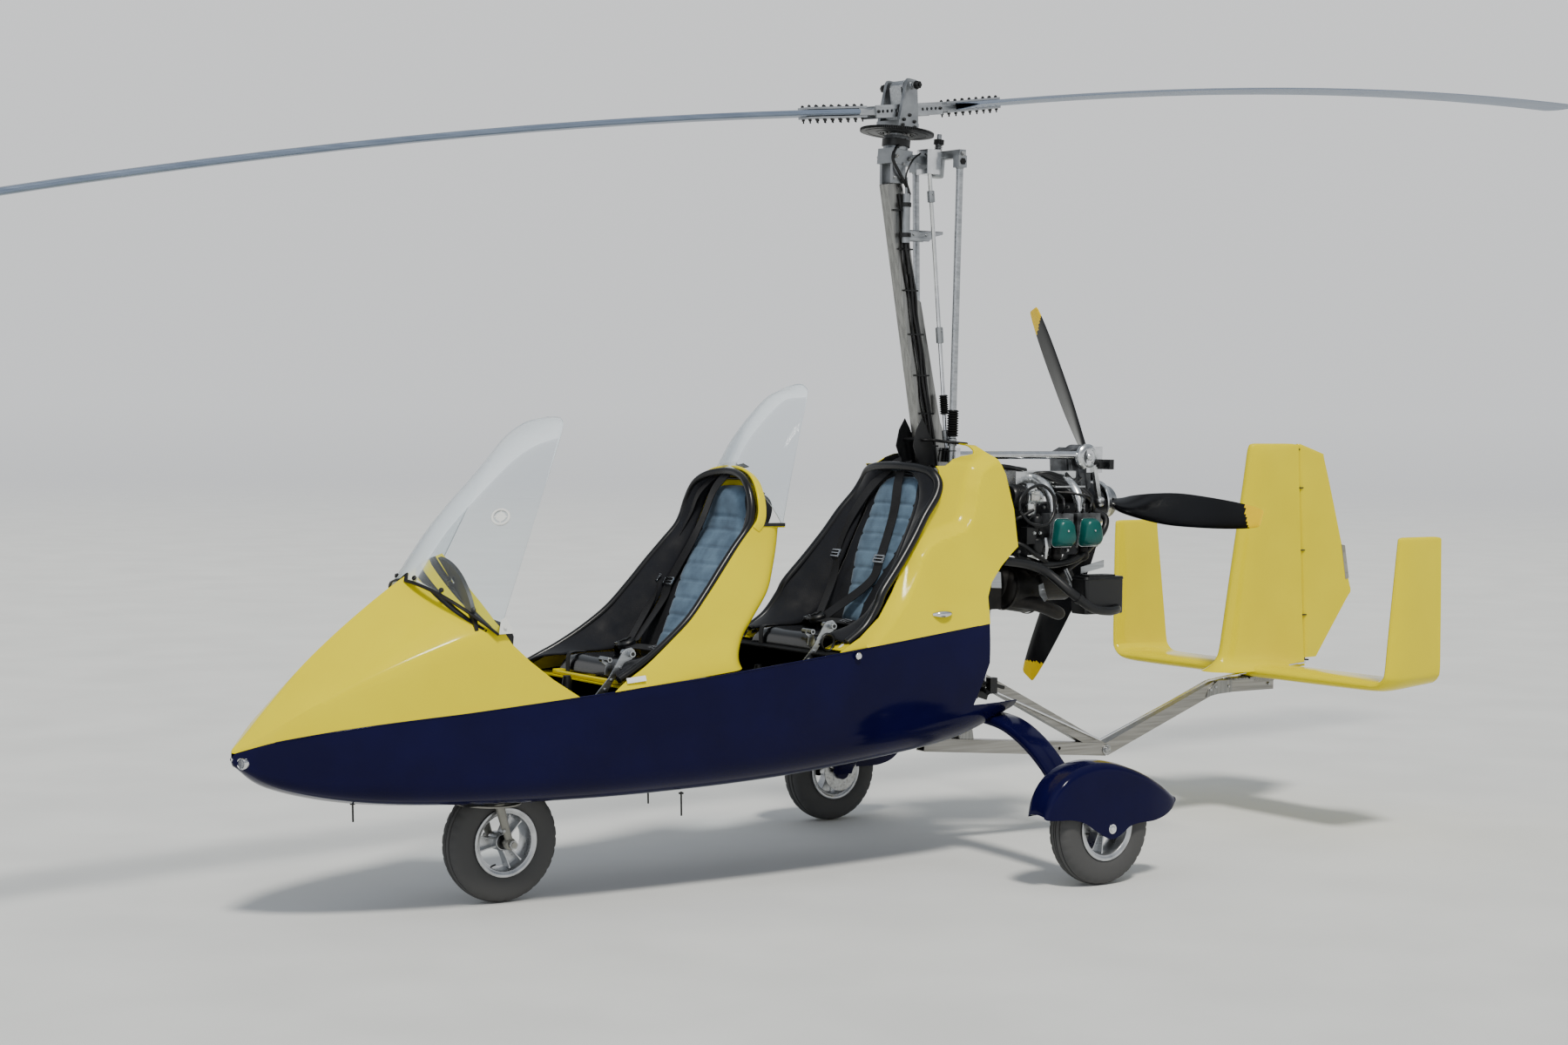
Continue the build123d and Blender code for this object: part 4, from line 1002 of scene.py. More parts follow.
    def make_lamps(self) -> None:
        """Two round lamps in the nose, their bezels, the steel side lamps and the sill knobs."""
        bezels, lenses, marker, knob = Form(), Form(), Form(), Form()
        for side in (1, -1):
            place = axes((2546, side * 31, 530), (1.0, side * 0.34, -0.04))
            bezels.lathe(((19, -14), (19, 6), (17.5, 9), (15.5, 8), (14, 2), (9, -5), (0, -8)), place, 32)
            lenses.lathe(((15, 3), (14, 7), (9, 10), (0, 11.5)), place, 28)
        bezels.lathe(((7, -6), (7, 5), (4.5, 6), (4.2, -4), (0, -4)), axes((2568, 0, 541), (1, 0, 0)), 20)
        bezels.settle("nose_lamps", POLISHED, edge=0.4)
        lenses.settle("nose_lamp_lenses", LENS)
        half, _ = sill_at(39)
        spots = ((78, 14, 925), (60, 4, 926), (38, 1, 926), (10, 4, 927), (-8, 14, 927))
        path = [(x, half - inward, z) for x, inward, z in spots]
        marker.tube(path, (6, 11, 13, 9, 3), 16, 4)
        marker.mirror()
        marker.settle("side_lamps", POLISHED)
        half, _ = sill_at(431)
        profile = ((5, -4), (5, 8), (12, 9), (12.5, 15), (10, 18), (0, 19))
        knob.lathe(profile, axes((431, half, 797), (0, 1, 0)), 24)
        knob.mirror()
        knob.settle("sill_knobs", POLISHED, edge=0.5)

    def make_belly(self) -> None:
        """Trim plate round the fork and short rods under the belly."""
        plate, rods = Form(), Form()
        rows = []
        for radius, drop in ((1.0, 0.0), (1.0, -5.0), (0.86, -8.5), (0.84, 0.0)):
            oval = circle(112, 48, 1.45)
            rows.append([(1690 + x * radius, y * radius, 345 + drop - 0.008 * x) for x, y in oval])
        plate.skin([*rows, rows[0]], caps=False)
        plate.settle("belly_plate_lip", GREY_STEEL)
        for x, y, low, high in ((2180, 40, 318, 382), (1030, 180, 262, 345), (1015, -60, 270, 340)):
            rods.tube([(x, y, high), (x - 2, y, low)], 3.2, 8, 1)
            rods.lathe(((0, 0), (9, 0), (9, 5), (0, 6)), axes((x, y, high - 8), (0, 0, 1)), 12)
        rods.settle("belly_rods", BLACK_STEEL)


@dataclass
class Screens:
    """Clear front screen on the hood and the slim screen behind the front seat's head."""

    hood: Hull
    # Edge x, edge z, half width, middle x, middle z.
    front: Outline = (
        (1800, 921, 305, 1988, 1082), (1697, 1155, 267, 1853, 1269), (1610, 1352, 234, 1706, 1422),
        (1540, 1512, 207, 1580, 1540), (1478, 1590, 140, 1488, 1596), (1438, 1614, 50, 1441, 1616),
    )
    rear: Outline = (
        (657, 1247, 230, 744, 1428), (600, 1440, 205, 650, 1580), (515, 1640, 150, 540, 1695),
        (462, 1714, 95, 470, 1726), (436, 1738, 30, 438, 1741),
    )
    sheet: float = 4
    across: int = 64
    clips: Sequence[float] = (0.12, 0.27, 0.42)

    def build(self) -> None:
        """Makes both screens, the seal, the clips and the stripes under the screen."""
        foot = self.make_front()
        self.make_rear()
        self.make_seal(foot)
        self.make_clips(foot)
        self.make_stripes(foot)
        self.make_vent()
        self.make_clip_rod()

    def column(self, rows: Sequence[Vector], share: float) -> list[Vector]:
        """Points up a screen.

        Args:
            rows: The screen's rows: edge x, edge z, half width, middle x, middle z.
            share: How far across, from port (0) to starboard (1).

        Returns:
            One point for each row.
        """
        points = []
        for edge_x, edge_z, half, mid_x, mid_z in rows:
            run = arc((edge_x, half, edge_z), (mid_x, 0, mid_z), (edge_x, -half, edge_z), self.across)
            run.append(Vector((edge_x, -half, edge_z)))
            place = share * self.across
            low = min(int(place), self.across - 1)
            points.append(run[low].lerp(run[low + 1], place - low))
        return points

    def foot_of(self, points: Sequence[Vector]) -> tuple[Vector, int]:
        """Where a column of the front screen leaves the hood.

        Args:
            points: The column, from below.

        Returns:
            The foot, and the number of the first point above it.
        """
        start = 0
        for step, point in enumerate(points):
            if point.z < self.hood.height(point.x, point.y) + 1 and point.x > 1790:
                start = step
        if not start:
            return points[0], 1
        low, high = points[start], points[start + 1]
        for _ in range(14):
            mid = low.lerp(high, 0.5)
            if mid.z < self.hood.height(mid.x, mid.y) + 1:
                low = mid
            else:
                high = mid
        return high, start + 1

    def make_front(self) -> list[Vector]:
        """Makes the front screen, standing on the hood.

        Returns:
            The line of its foot.
        """
        rows = blend_rows(self.front, 10)
        columns, feet = [], []
        for index in range(41):
            points = self.column(rows, index / 40)
            foot, first = self.foot_of(points)
            feet.append(foot)
            rest = [foot, *points[first:]]
            columns.append([foot] + [along_run(rest, i / 44) for i in range(1, 45)])
        form = Form()
        form.skin(columns, closed=False)
        nodes = ["front_screen"]
        form.settle("front_screen_sheet", SCREEN, SCREEN_EDGE, wall=self.sheet, rim=1, stands_for=nodes)
        return feet

    def make_vent(self) -> None:
        """Round vent in the side of the front screen: a pale ring with a cross bar and a louvre."""
        rows = blend_rows(self.front, 20)
        spots = ((0.175, 28), (0.175, 32), (0.2, 28))
        at, up, over = (self.column(rows, share)[step] for share, step in spots)
        normal = (over - at).cross(up - at)
        place = axes(at, normal if normal.y > 0 else -normal, up - at)
        form = Form()
        form.lathe(((23, -3), (31, -3), (32, 1), (30, 4), (24, 4), (23, 1)), place, 40, ring=True)
        form.lathe(((0, -1), (17, -1), (17, 2), (0, 2.6)), place, 32)
        for turn in (20, 110):
            form.block((0, 0, 0.5), (44, 5, 3), place @ spin(turn))
        form.settle("screen_vent", WHITE_PLASTIC, edge=0.4)

    def make_clip_rod(self) -> None:
        """Small clip on the middle of the hood's rear edge with a short rod through it."""
        clip, rod = Form(), Form()
        x, y = 1874, 120
        z = self.hood.height(x, y)
        clip.block((x, y, z + 7), (26, 20, 14))
        clip.block((x - 4, y, z + 20), (12, 14, 18))
        rod.tube([(x - 30, y - 40, z + 26), (x, y, z + 24), (x + 10, y + 34, z + 12)], 2.6, 8, 4)
        clip.settle("hood_clip", PLASTIC, edge=1.5)
        rod.settle("hood_clip_rod", POLISHED)

    def make_rear(self) -> None:
        """Slim screen round the front seat's head."""
        rows = blend_rows(self.rear, 10)
        form = Form()
        form.skin([self.column(rows, index / 36) for index in range(37)], closed=False)
        nodes = ["rear_screen"]
        form.settle("rear_screen_sheet", SCREEN, SCREEN_EDGE, wall=self.sheet, rim=1, stands_for=nodes)

    @staticmethod
    def make_seal(foot: Sequence[Vector]) -> None:
        """Makes the rubber strip along the screen's foot.

        Args:
            foot: The line of the foot.
        """
        strip = Form()
        path = [(p.x + 1, p.y, p.z + 1) for p in foot]
        strip.sweep(bar_outline(13, 7, 3), path, 1, (0.5, 0, 1))
        strip.settle("screen_seal", SEAL)

    def make_clips(self, foot: Sequence[Vector]) -> None:
        """Makes the screws along the screen's foot and the two corner plates.

        Args:
            foot: The line of the foot.
        """
        screws, plates = Form(), Form()
        for share in self.clips:
            for place in (share, 1 - share):
                point = foot[round(place * (len(foot) - 1))]
                at = Vector((point.x - 4, point.y, point.z + 16))
                out = Vector((0.55, 0.9 * at.y / 300, 0.45))
                screws.lathe(((0, -3), (8, -3), (8.5, 2), (6, 4.4), (0, 5)), axes(at, out), 18)
                screws.lathe(((0, 4), (3.2, 4.2), (3.2, 7), (0, 7.4)), axes(at, out), 6)
        corner = ((-2, -12), (52, -6), (20, 44), (6, 36))
        plates.plate(corner, axes((1798, 304.5, 935), (0.12, 1, 0.22), (-1, 0, -0.1)), 0, 2.4)
        plates.bolt((1780, 309, 944), (0.1, 1, 0.2), 9)
        plates.mirror()
        screws.settle("screen_clips", BLACK_STEEL, edge=0.3)
        plates.settle("screen_corner_plates", WHITE_PLASTIC, edge=0.4)

    def cut_x(self, z: float) -> float:
        """Station of the hood's rear edge.

        Args:
            z: Height at which it is asked for.

        Returns:
            The station.
        """
        for (x1, z1), (x2, z2) in zip(self.hood.hood_cut, self.hood.hood_cut[1:]):
            if z1 <= z <= z2:
                return x1 + (x2 - x1) * (z - z1) / (z2 - z1)
        return 1850.0

    def make_stripes(self, foot: Sequence[Vector]) -> None:
        """Makes two black stripes across the hood inside the screen, which run together at the corners.

        Args:
            foot: The line of the screen's foot.
        """
        form = Form()
        for start, end in ((0.24, 0.40), (0.60, 0.76)):
            near, far = [], []
            for point in foot[3:-3]:
                room = point.x - self.cut_x(point.z + 12) - 3
                for line, share in ((near, start), (far, end)):
                    x, y = point.x - share * room, point.y * (1 - 0.03 * share)
                    line.append((x, y, self.hood.height(x, y) + 0.9))
            form.skin([near, far], closed=False)
        form.settle("dash_stripes", SEAL, wall=0.6)


@dataclass
class Cowl:
    """Yellow cowl round the rear seat, with its moulded hollow and the rubber edge of its top notch."""

    # Station x, shoulder half width, shoulder height, top half width, top height.
    stations: Outline = (
        (490, 270, 1440, 150, 1538), (250, 265, 1440, 156, 1538), (-100, 258, 1438, 160, 1534),
        (-420, 250, 1428, 160, 1516),
    )
    front_cut: Outline = (
        (600, 700), (520, 795), (480, 818), (400, 858), (310, 925), (230, 1010), (160, 1100), (70, 1220),
        (-10, 1330), (-34, 1378), (-40, 1410), (-36, 1436), (-26, 1451), (-70, 1452), (-107, 1473),
        (-150, 1487), (-204, 1495), (-208, 1507), (-193, 1537), (-170, 1560), (-160, 1700), (600, 1700),
    )
    rear_cut: Outline = (
        (-183, 700), (-190, 979), (-214, 1030), (-270, 1088), (-330, 1135), (-360, 1156), (-352, 1290),
        (-320, 1421), (-285, 1485), (-240, 1520), (-240, 1700), (-500, 1700), (-500, 700),
    )
    notch: Outline = (
        (-85, 66), (-125, 66), (-150, 124), (-500, 124), (-500, -124), (-150, -124), (-125, -66), (-85, -66),
    )
    notch_edge: Outline = (
        (-238, 126, 1530), (-200, 126, 1533), (-152, 126, 1536), (-128, 70, 1542), (-86, 66, 1543),
        (-84, 0, 1546),
    )
    flap: Outline = ((-150, 118), (-196, 118), (-200, 90), (-150, 66))
    # Ledge and groove of the hollow, as seen from the side: x, z.
    groove: Outline = (
        (330, 838), (262, 890), (190, 972), (128, 1070), (98, 1130), (62, 1165), (0, 1190), (-60, 1204),
        (-115, 1221), (-146, 1256), (-168, 1309), (-182, 1368), (-208, 1427), (-258, 1462), (-300, 1480),
        (-340, 1620),
    )
    depth: float = 44
    wall: float = 5

    def section(self, row: Vector) -> Points:
        """Half section from the sill to the middle of the top.

        Args:
            row: Station x, shoulder half width and height, top half width and height.

        Returns:
            Points across and up.
        """
        x, shoulder, shoulder_z, top, top_z = row
        half, sill = sill_at(max(x, -360))
        middle = (0.5 * (half + shoulder) - 6, 0.5 * (sill + shoulder_z))
        bend = (0.5 * (shoulder + top) + 22, 0.5 * (shoulder_z + top_z) + 18)
        side = arc((half, sill, 0), (*middle, 0), (shoulder, shoulder_z, 0), 60)
        over = arc((shoulder, shoulder_z, 0), (*bend, 0), (top, top_z, 0), 14)
        crown = arc((top, top_z, 0), (0, top_z + 10, 0), (-top, top_z, 0), 16)[:8]
        return [(p.x, p.y) for p in side + over + crown] + [(0.0, top_z + 10)]

    def hollow(self, x: float, z: float) -> float:
        """How far the hollow draws the side in.

        Args:
            x: Station of the point.
            z: Its height.

        Returns:
            The distance, from 0 to the hollow's depth.
        """
        region = [*self.groove, (700, 1620), (700, 700)]
        if not inside(region, x, z):
            return 0.0
        here = Vector((x, z))
        near = 1e9
        for a, b in zip(self.groove, self.groove[1:]):
            start, way = Vector(a), Vector(b) - Vector(a)
            share = min(max((here - start).dot(way) / way.length_squared, 0), 1)
            near = min(near, (here - start - share * way).length)
        t = min(near / 46, 1.0)
        fade = min(max((z - 860) / 240, 0.25), 1.0) * min(max((1540 - z) / 70, 0.0), 1.0)
        return self.depth * fade * math.sin(0.5 * math.pi * t)

    def build(self) -> None:
        """Makes the cowl shell, its edge trim and the flaps in its notch."""
        form, trim, flap = Form(), Form(), Form()
        loops = []
        for row in blend_rows(self.stations, 30):
            x = row[0]
            half = []
            for y, z in self.section(row):
                half.append((max(y - self.hollow(x, z) * min(y / 200, 1.0), 0.0), z))
            loops.append([(x, y, z) for y, z in mirrored(half)])
        form.skin(loops, closed=False)
        form.cut(self.front_cut)
        form.cut(self.rear_cut)
        form.cut(self.notch, "xy")
        form.settle("rear_cowl_shell", YELLOW, LINER, wall=self.wall, edge=1.6, stands_for=["rear_cowl"])
        trim.tube(both_sides(self.notch_edge), 5.5, 10, 4)
        trim.settle("cowl_notch_trim", SEAL)
        for side in (1, -1):
            rows = [(x, side * y) for x, y in self.flap]
            flap.plate(rows, Matrix.Translation((0, 0, 1502)), 0, 3)
        flap.settle("notch_flaps", SEAL, edge=0.6)


# Seats


@dataclass
class Seat:
    """One seat: cushions, dark side linings that paint the shade beside them, edge roll, harness and the
    lever bracket beside it.
    """

    name: str
    # Back foot x, z; back top x, z; base rear x, base front x, base top z.
    sizes: tuple[float, float, float, float, float, float, float]
    # Middle line of the edge roll, port half, from its foot to the middle of the top.
    roll: Outline
    roll_radius: float
    lever: tuple[float, float, float]
    # Middle line of each shoulder strap: distance from the middle, share up the back, height.
    straps: Sequence[Outline]
    half: float = 190
    depth: float = 60
    panel_half: float = 120
    head_rise: float = 10
    seam: float = 68
    # Share up the back and share of the panel's full half width.
    panel_shape: Outline = (
        (0.0, 0.36), (0.12, 0.42), (0.3, 0.66), (0.45, 0.9), (0.6, 1.0), (0.84, 1.0), (0.92, 0.9),
        (0.97, 0.72), (1.0, 0.5),
    )

    def back_place(self) -> Matrix:
        """Frame on the back's front face at its foot.

        Returns:
            The frame: x to port, y up the back, z out of it.
        """
        foot_x, foot_z, top_x, top_z = self.sizes[:4]
        way = Vector((top_x - foot_x, 0, top_z - foot_z)).normalized()
        return axes((foot_x, 0, foot_z), Vector((0, 1, 0)).cross(way), (0, 1, 0))

    def back_length(self) -> float:
        """Length of the back from foot to top."""
        foot_x, foot_z, top_x, top_z = self.sizes[:4]
        return math.hypot(top_x - foot_x, top_z - foot_z)

    def on_back(self, across: float, share: float, rise: float) -> Vector:
        """Point by its distance from the middle, its share up the back and its height above it."""
        return self.back_place() @ Vector((across, share * self.back_length(), rise))

    def back_half(self, share: float) -> float:
        """Half width of the back cushion at a share of its length, rounded at the top."""
        rounded = max(1 - max((share - 0.80) / 0.2, 0) ** 2.6, 0.0) ** 0.5
        return (self.half - 4 - 20 * share + 5 * math.sin(math.pi * share)) * max(rounded, 0.36)

    def panel_width(self, share: float) -> float:
        """Half width of the cloth panel.

        Args:
            share: Share of the panel's length.

        Returns:
            The half width in millimetres.
        """
        for (low, narrow), (high, wide) in zip(self.panel_shape, self.panel_shape[1:]):
            if share <= high:
                return self.panel_half * (narrow + (wide - narrow) * (share - low) / (high - low))
        return self.panel_half * self.panel_shape[-1][1]

    def head(self, share: float) -> float:
        """Height that the head pad adds at a share of the back."""
        return self.head_rise * math.exp(-(((share - 0.95) / 0.14) ** 2))

    @staticmethod
    def pad(
        form: Form, place: Matrix, length: float, half: Callable[[float], float],
        crown: Callable[[float, float], float], under: float, rows: int = 64, columns: int = 40,
    ) -> None:
        """Adds a closed crowned pad.

        Args:
            form: The form that gets it.
            place: Frame with x across, y along its length and z out of it.
            length: Length in millimetres.
            half: Half width at a share of the length.
            crown: Height of the top at shares across (-1 to 1) and along (0 to 1).
            under: Height of the flat back.
            rows: Steps along the length.
            columns: Steps across.
        """
        top, low = [], []
        for i in range(rows + 1):
            v = 0.5 - 0.5 * math.cos(math.pi * i / rows)
            upper, lower = [], []
            for j in range(columns + 1):
                u = -math.cos(math.pi * j / columns)
                x, y = u * half(v), v * length
                tight = (1 - abs(u) ** 5) * (1 - abs(2 * v - 1) ** 9)
                height = under + (crown(u, v) - under) * max(tight, 0.0) ** 0.4
                upper.append(place @ Vector((x, y, height)))
                lower.append(place @ Vector((x * 0.97, y, under - 0.5)))
            top.append(upper)
            low.append(lower)
        rims = []
        for grid in (top, low):
            ends = [row[-1] for row in grid[:-1]], [row[0] for row in grid[:0:-1]]
            rims.append([*grid[0][:-1], *ends[0], *grid[-1][:0:-1], *ends[1]])
            form.skin(grid, closed=False)
        form.skin(rims, caps=False)

    def build(self) -> None:
        """Makes the seat's pieces."""
        self.make_base()
        self.make_back()
        self.make_shade_lining()
        self.make_roll()
        self.make_harness()
        self.make_lever()

    def make_base(self) -> None:
        """Makes the box cushion in black vinyl, softly crowned and dished, with a sewn edge."""
        rear, front, top = self.sizes[4:]
        form = Form()
        place = axes((front - 2, 0, top - self.depth + 2), (0, 0, 1), (0, 1, 0))

        def crown(u: float, v: float) -> float:
            """Height of the cushion's top: dished, with a sewn seam near each side.

            Args:
                u: Share across, from -1 to 1.
                v: Share along the length, from 0 to 1.

            Returns:
                The height in millimetres.
            """
            dish = -7 * math.exp(-((u / 0.55) ** 2)) * math.sin(math.pi * v)
            seam = 2.5 * math.exp(-(((abs(u) - 0.72) / 0.03) ** 2))
            return self.depth - 2 + dish + 4 * abs(u) ** 3 - seam

        def width(v: float) -> float:
            """Half width of the cushion."""
            return self.half - 3 + 4 * math.sin(math.pi * v)

        self.pad(form, place, front - rear - 4, width, crown, 0.0)
        name = f"{self.name}_base_cushion"
        piece = form.settle(name, VINYL, stands_for=[f"{self.name}_cushion"], crease=60)

    def make_back(self) -> None:
        """Makes the back cushion with its bolsters and head pad, the sewn cloth panel and the piping."""
        length = self.back_length()
        place = self.back_place()
        edge_at = (self.panel_half + 16) / self.half

        def crown(u: float, v: float) -> float:
            """Height of the back's front: high bolsters, a low middle and the head pad.

            Args:
                u: Share across, from -1 to 1.
                v: Share along the length, from 0 to 1.

            Returns:
                The height in millimetres.
            """
            side = 1 / (1 + math.exp(-(abs(u) - edge_at) * 26))
            fold = 3.5 * abs(math.sin(math.pi * v * 3.5)) ** 8 * side
            return -8 + 27 * side * (1 - 0.5 * max(v - 0.7, 0) / 0.3) - fold + self.head(v) * (1 - 0.3 * side)

        low = max(self.sizes[6] - self.sizes[1], 0)
        start = low / math.sin(math.atan2(self.sizes[3] - self.sizes[1], self.sizes[0] - self.sizes[2])) + 3
        base = place @ Matrix.Translation((0, start, 0))
        form = Form()
        self.pad(form, base, length - start - 2, self.back_half, crown, -self.depth + 2)
        name = f"{self.name}_back_cushion"
        back = form.settle(name, CORDURA, stands_for=[f"{self.name}_backrest"], crease=60)
        panel, run = Form(), (length - start) * 0.965

        def channel(u: float, v: float) -> float:
            """Height of the panel, drawn in at its seams.

            Args:
                u: Share across, from -1 to 1.
                v: Share along the length, from 0 to 1.

            Returns:
                The height in millimetres.
            """
            at = v * run / self.seam
            near = abs(at - round(at)) * self.seam if v < 0.74 else abs(v - 0.80) * run
            seam = 5.0 * math.exp(-((near / 7.0) ** 2))
            puff = 2.0 * (1 - abs(u) ** 3)
            return -3 - seam + puff + self.head(v)

        self.pad(panel, base @ Matrix.Translation((0, 10, 0)), run, self.panel_width, channel, -14, 170, 24)
        cloth = panel.settle(f"{self.name}_back_panel", PANEL_CLOTH, crease=70)
        edge, rim = Form(), []
        for v in [i / 24 for i in range(25)]:
            spot = (self.back_half(v) - 1, v * (length - start - 4), -4 + 0.8 * self.head(v))
            rim.append(base @ Vector(spot))
        edge.tube([*rim, *[Vector((p.x, -p.y, p.z)) for p in reversed(rim)]], 5.0, 10, 1)
        edge.settle(f"{self.name}_back_piping", PIPING)

    def make_shade_lining(self) -> None:
        """Makes the dark padded cloth from the cushions' edges out to the roll on both sides: painted shade
        for the shadow between the cushions and the flanks.
        """
        rear, front, top = self.sizes[4:]
        inner = [(front - 6, self.half - 8, top - 14), (front - 90, self.half - 6, top - 8)]
        inner.append((rear + 60, self.half - 6, top - 2))
        for share in (0.06, 0.2, 0.35, 0.5, 0.65, 0.8, 0.92):
            inner.append(tuple(self.on_back(self.back_half(share) - 12, share, -2 + 0.6 * self.head(share))))
        inner.append(tuple(self.on_back(0.36 * self.half, 1.0, self.head(1.0) - 4)))
        inner.append(tuple(self.on_back(0, 1.01, self.head(1.0) - 4)))
        near, far = blend_rows(inner, 6), blend_rows(self.roll, 6)
        form, loops = Form(), []
        out = Vector((0.675, -0.3, 0.594)).normalized()
        for i in range(61):
            share = i / 60
            a, b = along_run(near, share), along_run(far, share)
            row = []
            for step in range(9):
                t = step / 8
                swell = 4 * t * (1 - t) * min(12, 0.22 * (b - a).length)
                row.append(a.lerp(b, t) + out * (swell + 2.5 * math.sin(i * 0.9) * t * (1 - t)))
            loops.append(row)
        form.skin(loops, closed=False)
        form.mirror()
        # Dark cloth as painted shade over the shadowed flanks inside the roll.
        piece = form.settle(f"{self.name}_side_shade_lining", CORDURA, CORDURA, wall=6)

    def make_roll(self) -> None:
        """Makes the black roll round the edge of the seat opening."""
        form = Form()
        form.tube(both_sides(self.roll), self.roll_radius, 18, 6)
        form.settle(f"{self.name}_edge_roll", PIPING)

    def make_harness(self) -> None:
        """Makes the shoulder and lap straps, the loop at the base, the buckle and the adjusters."""
        out = self.back_place().to_3x3() @ Vector((0, 0, 1))
        rear, front, top = self.sizes[4:]
        buckle = Vector((rear + 92, -34, top + 26))
        straps, metal = Form(), Form()
        section = bar_outline(48, 2.8)
        for side, strap in zip((1, -1), self.straps):
            path = [self.on_back(*point) for point in strap]
            straps.sweep(section, [*path, buckle + Vector((-20, side * 18, 10))], 7, out)
            lap = [(rear + 20, side * 186, top - 10), (rear + 40, side * 160, top + 16)]
            lap += [(rear + 72, side * 96, top + 26), (buckle.x, buckle.y + side * 24, buckle.z)]
            straps.sweep(section, lap, 7, (0.25, 0, 1))
            across, share, rise = strap[-2]
            frame_at = axes(self.on_back(across, share, rise + 4), out, (0, 1, 0.0))
            for y in (-12, 0, 12):
                metal.block((0, y, 2), (58, 4, 4), frame_at)
            for x in (-27, 27):
                metal.block((x, 0, 2), (4, 28, 4), frame_at)
            lap_at = axes((rear + 66, side * 108, top + 29), (0.2, 0, 1), (0.2, side, 0))
            for y in (-13, 13):
                metal.block((0, y, 0), (52, 4, 4), lap_at)
            for x in (-24, 0, 24):
                metal.block((x, 0, 0), (4, 28, 4), lap_at)
        y = -0.62 * self.half
        loop = [(front - 60, y, top + 3), (front - 12, y, top + 3), (front + 4, y, top - 10)]
        loop += [(front + 6, y, top - 50), (front + 2, y, top - 78), (front - 40, y, top - 84)]
        straps.sweep(bar_outline(24, 3), loop, 6, (1, 0, 1))
        straps.settle(f"{self.name}_harness", WEBBING, edge=0.5)
        metal.settle(f"{self.name}_adjusters", POLISHED, edge=0.8)
        disc = Form()
        spot = axes(buckle + Vector((0, 0, 4)), (0.35, 0, 1))
        disc.lathe(((0, -10), (30, -10), (33, -4), (32, 8), (26, 14), (0, 16)), spot, 36)
        disc.lathe(((0, 15), (11, 16), (11, 20), (0, 21)), spot, 24)
        disc.block((0, 0, 17), (44, 9, 7), spot)
        disc.settle(f"{self.name}_buckle", PLASTIC, edge=1.0)

    def make_lever(self) -> None:
        """Makes the plate bracket with three tube ends beside the cushion."""
        form = Form()
        place = axes(self.lever, (0, 1, 0), (-1, 0, 0))
        arm = (
            (-96, -78), (-62, -82), (-20, -16), (24, 46), (50, 54), (62, 66), (62, 84), (50, 94), (28, 90),
            (12, 74), (-34, 0), (-92, -62),
        )
        form.plate(arm, place, 0, 5)
        lug = ((-34, 6), (-10, -4), (0, 16), (-14, 58), (-40, 64), (-44, 46), (-30, 34))
        form.plate(lug, place, -30, -25)
        ends = ((44, 74, -40, 24, 11, 20), (-32, 56, -56, 4, 9, 20), (-76, -70, -30, 14, 7, 16))
        for px, py, low, high, radius, sides in ends:
            form.tube([place @ Vector((px, py, low)), place @ Vector((px, py, high))], radius, sides, 1)
        for px, py in ((-50, -40), (-26, -10), (6, 30)):
            form.bolt(place @ Vector((px, py, 5)), (0, 1, 0), 9)
        form.settle(f"{self.name}_lever_bracket", PLATE_ALLOY, edge=1.0)
        tips = Form()
        for px, py, depth, r in ((44, 74, 24, 6.5), (-32, 56, 4, 5), (-6, 12, 5, 4)):
            spot = place @ Matrix.Translation((px, py, depth))
            tips.lathe(((0, -1), (r, -1), (r, 0.8), (0, 0.8)), spot, 18)
        tips.settle(f"{self.name}_lever_bores", PLASTIC)


FRONT_SEAT = Seat(
    "front", (1020, 800, 664, 1386, 1030, 1300, 806), roll_radius=13, lever=(1338, 268, 762), panel_half=136,
    head_rise=66,
    roll=(
        (1362, 314, 756), (1306, 308, 784), (1242, 297, 817), (1154, 281, 872), (1062, 266, 942),
        (984, 252, 1026), (918, 240, 1104), (856, 228, 1174), (808, 222, 1226), (784, 221, 1266),
        (772, 206, 1326), (764, 168, 1384), (750, 102, 1418), (738, 0, 1430),
    ),
    straps=(
        (
            (14, 1.08, 36), (2, 1.02, 72), (-34, 0.9, 78), (-80, 0.76, 40), (-120, 0.62, 13), (-138, 0.40, 8),
            (-120, 0.28, 10),
        ),
        (
            (-44, 1.08, 34), (-78, 1.02, 66), (-142, 0.9, 68), (-186, 0.78, 40), (-210, 0.6, 30),
            (-206, 0.4, 28), (-170, 0.26, 22),
        ),
    ),
)
REAR_SEAT = Seat(
    "rear", (215, 880, -48, 1420, 225, 500, 866), roll_radius=17, lever=(520, 268, 822), panel_half=132,
    head_rise=20,
    roll=(
        (436, 314, 836), (356, 310, 890), (300, 304, 962), (272, 298, 1012), (192, 284, 1101),
        (117, 269, 1191), (58, 256, 1271), (-2, 243, 1340), (-26, 228, 1388), (-24, 196, 1424),
        (-18, 146, 1438), (-12, 80, 1444), (-8, 0, 1446),
    ),
    straps=(
        (
            (8, 1.07, 12), (12, 1.02, 26), (18, 0.92, 26), (34, 0.78, 12), (45, 0.64, 5), (60, 0.42, 4),
            (58, 0.26, 8),
        ),
        (
            (-30, 1.07, 12), (-62, 1.02, 24), (-124, 0.9, 26), (-172, 0.74, 24), (-192, 0.58, 26),
            (-186, 0.42, 26), (-150, 0.26, 20),
        ),
    ),
)


